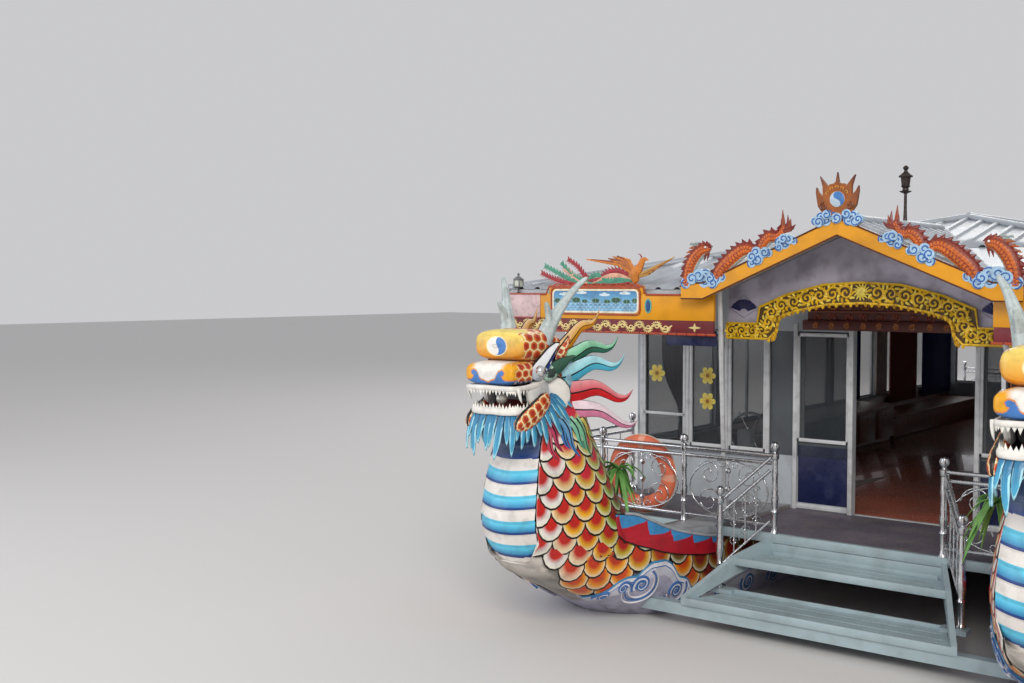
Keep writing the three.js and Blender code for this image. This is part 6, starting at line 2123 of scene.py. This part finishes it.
fascia_board = joined([
    slab("board", (-3.598, FASCIA_Y, FASCIA_FOOT), (-1.206, -0.2405, FASCIA_TOP)),
    slab("raised", (PANEL[0], FASCIA_Y, FASCIA_TOP - 0.01), (PANEL[1], -0.2405, 2.238)),
], "fascia_board")
LANTERN = (-3.43, -0.262, FASCIA_TOP)
lantern_parts = [
    spun("foot", [(0.020, -0.001), (0.020, 0.008), (0.009, 0.014), (0.009, 0.052), (0.044, 0.058), (0.046, 0.066),
                  (0.030, 0.068)], LANTERN, 16,
         tone("#4a4644")),
    slab("panes", (LANTERN[0] - 0.031, LANTERN[1] - 0.031, LANTERN[2] + 0.066),
         (LANTERN[0] + 0.031, LANTERN[1] + 0.031, LANTERN[2] + 0.138), 0.003,
         tone("#cfd3c6")),
    spun("cap", [(0.052, 0.136), (0.053, 0.143), (0.034, 0.160), (0.014, 0.170), (0.010, 0.182), (0.016, 0.190),
                 (0.008, 0.202), (0.002, 0.206)],
         LANTERN, 16, tone("#767a7c")),
]
for sx in (-1, 1):
    for sy in (-1, 1):
        x, y = LANTERN[0] + 0.033 * sx, LANTERN[1] + 0.033 * sy
        lantern_parts.append(slab("bar", (x - 0.005, y - 0.005, LANTERN[2] + 0.062),
                                  (x + 0.005, y + 0.005, LANTERN[2] + 0.142), 0.002, tone("#83878a")))
lantern = joined(lantern_parts, "lantern")
end_board = joined([
    slab("board", (-3.60, FASCIA_Y - 0.008, 1.925), (-3.14, FASCIA_Y + 0.002, 2.150), 0.003, tone("#cdb3b4")),
    slab("edge", (-3.604, FASCIA_Y - 0.011, 1.915), (-3.136, FASCIA_Y + 0.001, 1.928), 0.002, tone("#a8514a")),
    slab("edge", (-3.604, FASCIA_Y - 0.011, 2.146), (-3.136, FASCIA_Y + 0.001, 2.159), 0.002, tone("#a8514a")),
], "end_board")
on_sides(fascia_board, "fascia_board", "eaves_paint", yellow_paint, "fascia_front")
on_sides(fascia_trim, "fascia_trim", "eaves_paint", carving)
on_sides(end_board, "bare_board", "eaves_paint", carving)
on_sides(lantern, "corner_lantern", "dark_iron", carving)
navy_plate = joined([slab("plate", (-1.735, -0.206, 1.69), (-1.215, -0.196, 1.83), 0.003)] + [
    slab("strap", (x - 0.012, -0.2585, 1.80), (x + 0.012, -0.196, 1.812), 0.002) for x in (-1.66, -1.29)], "navy_plate")
placed(navy_plate, "eaves_paint", navy_paint)
eave_boards = [slab("eave", (-3.612, -0.199, 1.94), (-3.6005, 12.709, 2.145)),
               slab("eave", (3.6005, -0.199, 1.94), (3.612, 12.709, 2.145)),
               slab("eave", (-3.59, 12.75, 1.94), (3.59, 12.762, 2.145))]
placed(joined(eave_boards, "eave_boards"), "eaves_paint", yellow_paint)

# Carved dragons on the gable's slopes: orange-brown scaled bodies with a dark red crest that rise and sink
# behind pale blue clouds, each with its head low and its flame-tipped tail near the crown.
DRAGON_Y = GABLE_Y + 0.022
NECK_PATH = [
    (-1.408, 2.235, 0.050), (-1.398, 2.310, 0.056), (-1.372, 2.410, 0.062), (-1.325, 2.492, 0.062),
    (-1.265, 2.548, 0.054), (-1.215, 2.560, 0.044), (-1.180, 2.552, 0.022),
]
HUMP_PATHS = [
    [(-1.115, 2.290, 0.052), (-1.074, 2.370, 0.066), (-1.005, 2.440, 0.070), (-0.925, 2.505, 0.070),
     (-0.850, 2.548, 0.064), (-0.785, 2.545, 0.056), (-0.745, 2.490, 0.044)],
    [(-0.690, 2.545, 0.044), (-0.658, 2.610, 0.054), (-0.610, 2.652, 0.054), (-0.560, 2.650, 0.046),
     (-0.512, 2.675, 0.032), (-0.475, 2.740, 0.026)],
]
BODY_BROWN, CREST_RED = tone("#b04a12"), tone("#741a10")


def along_path(path, share):
    """A row of a path at a share of its length."""
    return row_at(path, share * (len(path) - 1))


def scaled_body(name, path):
    """A scaled body in half relief along a path, with a red back and a pale belly."""
    def cells(u, v):
        return cell(v * 0.62 * len(path) / 7, u * 0.30, 0.034)
    points = [(x, DRAGON_Y, z, r, r * 0.62) for x, z, r in path]
    rows = [(i, *p) for i, p in enumerate(points)]
    count = 9 * (len(points) - 1)

    def place(u, v):
        key = min(max((v * (count + 2) - 1) / 9, 0), len(points) - 1)
        _, x, y, z, wide, deep = eased(rows, key)
        ahead, behind = eased(rows, min(key + 0.05, len(points) - 1)), eased(rows, max(key - 0.05, 0))
        way = Vector((ahead[1] - behind[1], 0, ahead[3] - behind[3])).normalized()
        over = Vector((-way.z, 0, way.x))
        spread = 1 if 0.5 / (count + 2) < v < 1 - 0.5 / (count + 2) else 0
        a = 2 * math.pi * u
        lift = 0.003 * (1 - cells(u, v)) * spread
        raised = Vector((0, -math.sin(a) * (deep * spread + lift), 0))
        return Vector((x, aft(y), up(z))) + over * math.cos(a) * (wide * spread + lift) + raised

    def colour(u, v):
        over = math.cos(2 * math.pi * u)
        if over < -0.80:
            return tone("#b3bcb8")
        shade = mixed(tone("#e0791c"), BODY_BROWN, cells(u, v)) if cells(u, v) < 0.86 else tone("#8a2f0e")
        return mixed(shade, CREST_RED, (over - 0.35) * 2.2)
    return settled(shaped_grid(name, 30, count + 2, place, colour, True), 60)


crest_lines = []
for path in (NECK_PATH, *HUMP_PATHS):
    steps = 9 if path is HUMP_PATHS[1] else 12
    for k in range(steps):
        share = (k + 0.4) / steps
        x, z, r = along_path(path, share)
        x2, z2, _ = along_path(path, min(share + 0.03, 1))
        way = Vector((x2 - x, z2 - z)).normalized()
        over = Vector((-way.y, way.x))
        root = Vector((x, z)) + over * r * 0.7
        tip = Vector((x, z)) + over * (r + 0.030) - way * 0.026
        crest_lines.append(([(*root, 0.030), ((root.x + tip.x) / 2, (root.y + tip.y) / 2, 0.017), (*tip, 0.002)],
                            CREST_RED))
HEAD_LINES = [
    ([(-1.30, 2.555, 0.040), (-1.245, 2.578, 0.036), (-1.20, 2.572, 0.026), (-1.172, 2.556, 0.012)], BODY_BROWN),
    ([(-1.235, 2.530, 0.022), (-1.205, 2.515, 0.016), (-1.186, 2.528, 0.006)], tone("#8a3a12")),
    ([(-1.195, 2.520, 0.012), (-1.202, 2.490, 0.008), (-1.208, 2.455, 0.002)], CREST_RED),
    ([(-1.225, 2.510, 0.012), (-1.232, 2.480, 0.008), (-1.238, 2.455, 0.002)], CREST_RED),
    ([(-1.25, 2.600, 0.014), (-1.30, 2.614, 0.012), (-1.345, 2.606, 0.011), (-1.372, 2.612, 0.010),
      (-1.380, 2.598, 0.006)], tone("#8f9c9a")),
    ([(-1.30, 2.590, 0.012), (-1.335, 2.592, 0.010), (-1.368, 2.586, 0.005)], tone("#8f9c9a")),
    ([(-1.190, 2.575, 0.013), (-1.178, 2.590, 0.008), (-1.170, 2.598, 0.003)], CREST_RED),
]
for x, z, x1, z1 in ((-1.40, 2.33, -1.462, 2.300), (-1.39, 2.38, -1.466, 2.352), (-1.375, 2.42, -1.474, 2.398),
                     (-1.365, 2.46, -1.464, 2.440),
                     (-1.345, 2.50, -1.446, 2.486), (-1.32, 2.53, -1.425, 2.530), (-1.30, 2.56, -1.396, 2.570),
                     (-1.36, 2.44, -1.450, 2.462)):
    HEAD_LINES.append(([(x, z, 0.026), ((x + x1) / 2, (z + z1) / 2 + 0.010, 0.017), (x1, z1, 0.002)],
                       CREST_RED if x1 < -1.45 else tone("#a8541c")))
TAIL_TIPS = [(-0.493, 2.880), (-0.446, 2.835), (-0.417, 2.802), (-0.374, 2.752), (-0.400, 2.727), (-0.506, 2.800)]
for k, (x, z) in enumerate(TAIL_TIPS):
    bend = 0.020 if x > -0.45 else -0.006
    HEAD_LINES.append(([(-0.480, 2.700, 0.024), ((x - 0.472) / 2 + bend, (z + 2.715) / 2 - 0.012, 0.017),
                        (x, z, 0.002)],
                       CREST_RED if k % 2 else tone("#8a3a14")))
crest_lines = carved(DRAGON_Y, *crest_lines, *HEAD_LINES)
CLOUD_PALE, CLOUD_BLUE = tone("#a3c4dd"), tone("#2a62ad")
# Columns: middle, radius
CLOUDS = [
    (-1.225, 2.272, 0.055), (-1.136, 2.262, 0.050), (-1.412, 2.262, 0.052), (-1.341, 2.300, 0.052),
    (-1.276, 2.328, 0.060), (-1.215, 2.335, 0.052), (-1.162, 2.300, 0.048), (-1.105, 2.300, 0.052),
    (-1.055, 2.310, 0.043), (-0.706, 2.462, 0.050), (-0.766, 2.435, 0.045), (-0.760, 2.485, 0.044),
    (-0.722, 2.524, 0.048), (-0.680, 2.500, 0.042), (-0.640, 2.522, 0.045), (-0.606, 2.515, 0.036),
    (-0.458, 2.590, 0.045), (-0.510, 2.562, 0.035), (-0.504, 2.608, 0.045), (-0.468, 2.632, 0.043),
    (-0.426, 2.624, 0.044), (-0.378, 2.615, 0.034),
]


def cloud_bank(name, clouds, y, deep=0.02):
    """Flat pale discs that overlap, each with a blue curl on its face."""
    parts, lines = [], []
    for k, (x, z, radius) in enumerate(clouds):
        front = deep + 0.0022 * (k * 5 % 8)
        parts.append(spun("puff", [(radius * 0.93, -front), (radius, -front + 0.003), (radius, deep - 0.004),
                                   (radius * 0.9, deep)], (x, y, z), 20,
                          CLOUD_PALE, "Y"))
        spots = curl(x, z, radius * 0.90, 200 + 40 * k, 1.15, 1 if k % 2 else -1, 16, 0.22)
        lines.append(drawn(spots, y - front, 0.0058, CLOUD_BLUE))
    return joined(parts + [beads("puff_lines", lines, 5)], name)


ridge_dragon = joined([scaled_body("neck", NECK_PATH)] + [scaled_body("hump", path) for path in HUMP_PATHS] + [
    beads("crest", crest_lines, 6, 0.8), cloud_bank("clouds", CLOUDS, GABLE_Y + 0.018)], "ridge_dragon")
dragon_eye = ball("dragon_eye", (-1.21, GABLE_Y - 0.012, 2.575), (0.010,) * 3, lambda way: IVORY, 8)
ridge_dragon = joined([ridge_dragon, dragon_eye], "ridge_dragon")
on_sides(ridge_dragon, "carved_dragon", "carving_paint", carving, "ridge_dragon")

# The flaming pearl at the crown: a brown flame of sheet round a swirled blue disc, on a bank of clouds.
FLAME_EDGE = [
    (0.0, 2.80), (0.11, 2.80), (0.135, 2.848), (0.165, 2.890), (0.176, 2.950), (0.184, 3.000), (0.182, 3.050),
    (0.155, 3.002), (0.124, 2.975), (0.126, 3.050), (0.152, 3.140), (0.108, 3.088), (0.078, 3.050), (0.062, 3.070),
    (0.036, 3.070), (0.014, 3.085), (0.0, 3.168),
]
flame_ring = FLAME_EDGE + [(-x, z) for x, z in FLAME_EDGE[-2:0:-1]]
bpy.ops.object.select_all(action="DESELECT")
bpy.ops.mesh.primitive_circle_add(vertices=len(flame_ring), radius=0.1, fill_type="NGON")
pearl_flame = bpy.context.object
for v, (x, z) in zip(pearl_flame.data.vertices, flame_ring):
    v.co = (x, aft(GABLE_Y + 0.005), up(z))
pearl_flame = settled(thickened(pearl_flame, 0.04, 0), 30)
bevel = pearl_flame.modifiers.new("edge", "BEVEL")
bevel.width = 0.006
bevel.segments = 2
alone(pearl_flame)
bpy.ops.object.modifier_apply(modifier=bevel.name)


def pearl_flame_colour(place):
    """Lighter brown round the pearl, darker towards the tips."""
    return mixed(tone("#ad5f14"), tone("#5a2710"), (math.hypot(place.x, place.z - DECK_Z - 2.93) - 0.08) / 0.16)


brushed(settled(pearl_flame, 40, 1e-6), pearl_flame_colour)
DISC = (0.006, 2.943, 0.066)


def disc_colour(u, v):
    """A blue swirl on grey in a tan rim."""
    a = 2 * math.pi * u
    x, z = v * math.cos(a), v * math.sin(a)
    if v > 0.93:
        return tone("#d9a05a")
    return MOTIF_BLUE if (x > 0 and math.hypot(x, z + 0.5) > 0.46) or math.hypot(x, z - 0.5) < 0.46 else tone("#b9cddc")


def disc_place(u, v):
    """A spot on the shallow dome of the disc."""
    a = 2 * math.pi * u
    x, z, radius = DISC
    y = GABLE_Y - 0.018 - 0.016 * (1 - v * v)
    return Vector((x + radius * v * math.cos(a), aft(y), up(z + radius * v * math.sin(a))))


disc = thickened(settled(shaped_grid("disc", 60, 20, disc_place, disc_colour, True), 60), 0.006, -1)
rays = []
for sign in (-1, 1):
    spots = curl(sign * 0.112, 2.885, 0.034, 90, 1.3, -sign, 14, 0.15)
    rays.append(drawn(spots, GABLE_Y - 0.016, 0.008, tone("#6b3410")))
    for k in range(5):
        a = math.radians(35 + 27.5 * k)
        spots = curl(0.096 * math.cos(a), 2.943 + 0.096 * math.sin(a), 0.016, math.degrees(a) + 90 * sign, 0.6, -sign,
                     8, 0.6)
        rays.append(drawn(spots, GABLE_Y - 0.016, 0.005, tone("#c98322")))
pearl_clouds = cloud_bank("pearl_clouds", [
    (-0.094, 2.772, 0.045), (0.0, 2.79, 0.045), (0.100, 2.772, 0.045), (-0.152, 2.762, 0.044), (0.155, 2.762, 0.044),
    (-0.142, 2.802, 0.040), (-0.086, 2.820, 0.040), (-0.029, 2.824, 0.038), (0.028, 2.824, 0.038),
    (0.084, 2.821, 0.040), (0.142, 2.806, 0.040), (0.186, 2.775, 0.038), (-0.186, 2.772, 0.036),
], GABLE_Y + 0.012)
finial = joined([pearl_flame, disc, beads("rays", rays, 6), pearl_clouds], "flaming_pearl")
placed(finial, "carving_paint", carving, "pearl_finial")

# The phoenixes over the fascia panels: a brown body and spread wings, with long red and green tail feathers.
PHOENIX_Y = FASCIA_Y + 0.02
BIRD_BROWN, BIRD_ORANGE, FEATHER_RED, FEATHER_GREEN = tone("#8c3a10"), tone("#cf7a1c"), tone("#9c1a26"), tone("#3f8f74")
bird_lines = [
    ([(-2.03, 2.27, 0.03), (-2.06, 2.33, 0.062), (-2.02, 2.38, 0.052), (-1.985, 2.43, 0.034), (-1.965, 2.475, 0.030),
      (-1.935, 2.485, 0.02), (-1.90, 2.475, 0.004)],
     BIRD_ORANGE),
    ([(-1.975, 2.50, 0.010), (-1.99, 2.525, 0.006), (-2.02, 2.535, 0.002)], FEATHER_RED),
    ([(-2.05, 2.29, 0.016), (-2.03, 2.25, 0.010), (-2.00, 2.243, 0.008)], BIRD_ORANGE),
    ([(-2.09, 2.29, 0.016), (-2.10, 2.25, 0.010), (-2.07, 2.243, 0.008)], BIRD_ORANGE),
]
for k in range(9):
    t = k / 8
    far_wing = [(-2.06, 2.36, 0.030), (-2.12 - 0.10 * t, 2.44 + 0.03 * (1 - t), 0.026),
                (-2.20 - 0.40 * t, 2.505 - 0.035 * t + 0.02 * math.sin(k), 0.006)]
    near_wing = [(-2.00, 2.33, 0.024), (-1.90 + 0.06 * t, 2.35 + 0.05 * t, 0.018),
                 (-1.86 + 0.24 * t, 2.36 + 0.14 * t, 0.004)]
    bird_lines.append((far_wing, BIRD_BROWN if k % 2 else BIRD_ORANGE))
    bird_lines.append((near_wing, BIRD_BROWN if k % 2 else tone("#b98a3a")))
TAIL_WAVES = [
    (FEATHER_RED, [(-2.08, 2.31), (-2.22, 2.375), (-2.36, 2.36), (-2.48, 2.285), (-2.60, 2.31), (-2.70, 2.42),
                   (-2.82, 2.49)]),
    (FEATHER_GREEN, [(-2.08, 2.29), (-2.20, 2.30), (-2.33, 2.275), (-2.48, 2.34), (-2.60, 2.29), (-2.75, 2.33),
                     (-2.90, 2.46)]),
    (tone("#d9a58a"), [(-2.08, 2.30), (-2.25, 2.335), (-2.40, 2.32), (-2.52, 2.26), (-2.66, 2.27), (-2.78, 2.35),
                       (-2.86, 2.40)]),
    (FEATHER_GREEN, [(-2.10, 2.28), (-2.26, 2.26), (-2.45, 2.265), (-2.62, 2.255), (-2.80, 2.30), (-2.96, 2.37),
                     (-3.10, 2.43)]),
    (FEATHER_RED, [(-2.10, 2.27), (-2.30, 2.252), (-2.55, 2.252), (-2.80, 2.262), (-2.98, 2.30), (-3.14, 2.36)]),
]
for colour, path in TAIL_WAVES:
    n = 26
    spots = [along_path(path, k / n) for k in range(n + 1)]
    bird_lines.append(([(x, z, 0.026 * (1 - 0.40 * k / n)) for k, (x, z) in enumerate(spots)], colour))
    for k in range(2, n):
        x, z = spots[k]
        x2, z2 = spots[min(k + 1, n)]
        way = Vector((x2 - x, z2 - z)).normalized()
        for turn in (-1, 1):
            over = Vector((-way.y, way.x)) * turn
            tip = Vector((x, z)) + over * 0.044 * (1.15 - 0.5 * k / n) + way * 0.036
            bird_lines.append(([(x, z, 0.015), (tip.x, max(tip.y, 2.244), 0.004)],
                               mixed(colour, IVORY, 0.30 if turn > 0 else 0)))
phoenix = beads("phoenix", carved(PHOENIX_Y, *bird_lines), 6, 0.62)
on_sides(phoenix, "carved_phoenix", "carving_paint", carving, "phoenix")

# The light mast on the porch ridge: a cast-iron pole with collars and a glazed lantern under a domed cap.
MAST_PROFILE = [
    (0.058, 0.0), (0.060, 0.016), (0.028, 0.03), (0.018, 0.06), (0.014, 0.16), (0.013, 0.30), (0.048, 0.316),
    (0.056, 0.324), (0.030, 0.332), (0.026, 0.352), (0.040, 0.366), (0.042, 0.372), (0.036, 0.376), (0.044, 0.446),
    (0.062, 0.452), (0.064, 0.462), (0.044, 0.478), (0.018, 0.500), (0.014, 0.515), (0.024, 0.526), (0.026, 0.540),
    (0.014, 0.554), (0.003, 0.559),
]
mast = spun("light_mast_lantern", MAST_PROFILE, (0, 1.10, GABLE_APEX - 0.003), 20)
placed(mast, "dark_iron", dark_iron, "light_mast")

# Two leaning poles of pale tube under the gable, and bunches of long leaves tied behind the dragons' necks.
recoated(frame_paint, "portico_column_s", "portico_column_p")
leaf_green = finish("leaf_green", rough=0.5, cloud=0.3, cloud_size=12, bump=0.2)
bunch_chance = random.Random(23)


def bunch_of_leaves(name, root):
    """Folded blades that spray out from a tie and droop."""
    parts = []
    for k in range(34):
        turn, rise = bunch_chance.uniform(0, 360), bunch_chance.uniform(-0.5, 0.9)
        long, half = bunch_chance.uniform(0.18, 0.38), bunch_chance.uniform(0.013, 0.024)
        c, s = math.cos(math.radians(turn)), math.sin(math.radians(turn))
        shade = bunch_chance.uniform(0, 1)

        def blade(u, v, c=c, s=s, rise=rise, long=long, half=half):
            run = long * v
            wide = half * math.sin(math.pi * min(v * 0.94 + 0.06, 1)) ** 0.7 * (2 * u - 1)
            rising = run * rise - 0.85 * run * v + abs(2 * u - 1) * half * 0.5
            point = Vector((c * run * 0.75 - s * wide, s * run * 0.75 + c * wide, rising))
            return Vector((root[0], aft(root[1]), up(root[2]))) + point

        def blade_colour(u, v, shade=shade):
            return mixed(tone("#2f6a26"), tone("#86bd63"), shade * 0.7 + v * 0.3)

        parts.append(settled(shaped_grid("blade", 4, 8, blade, blade_colour), 60))
    return thickened(joined(parts, name), 0.0015, 0)


for side, sign, root in (("s", -1, (0.33, -0.98, 0.62)), ("p", 1, (-0.44, -1.55, 0.80))):
    leaves = bunch_of_leaves(f"leaf_bunch_{side}", (sign * HULL_X + root[0], *root[1:]))
    placed(leaves, "scale_paint", leaf_green)

# The patterns that the placed copies were made from go.
for piece in patterns:
    bpy.data.objects.remove(piece)
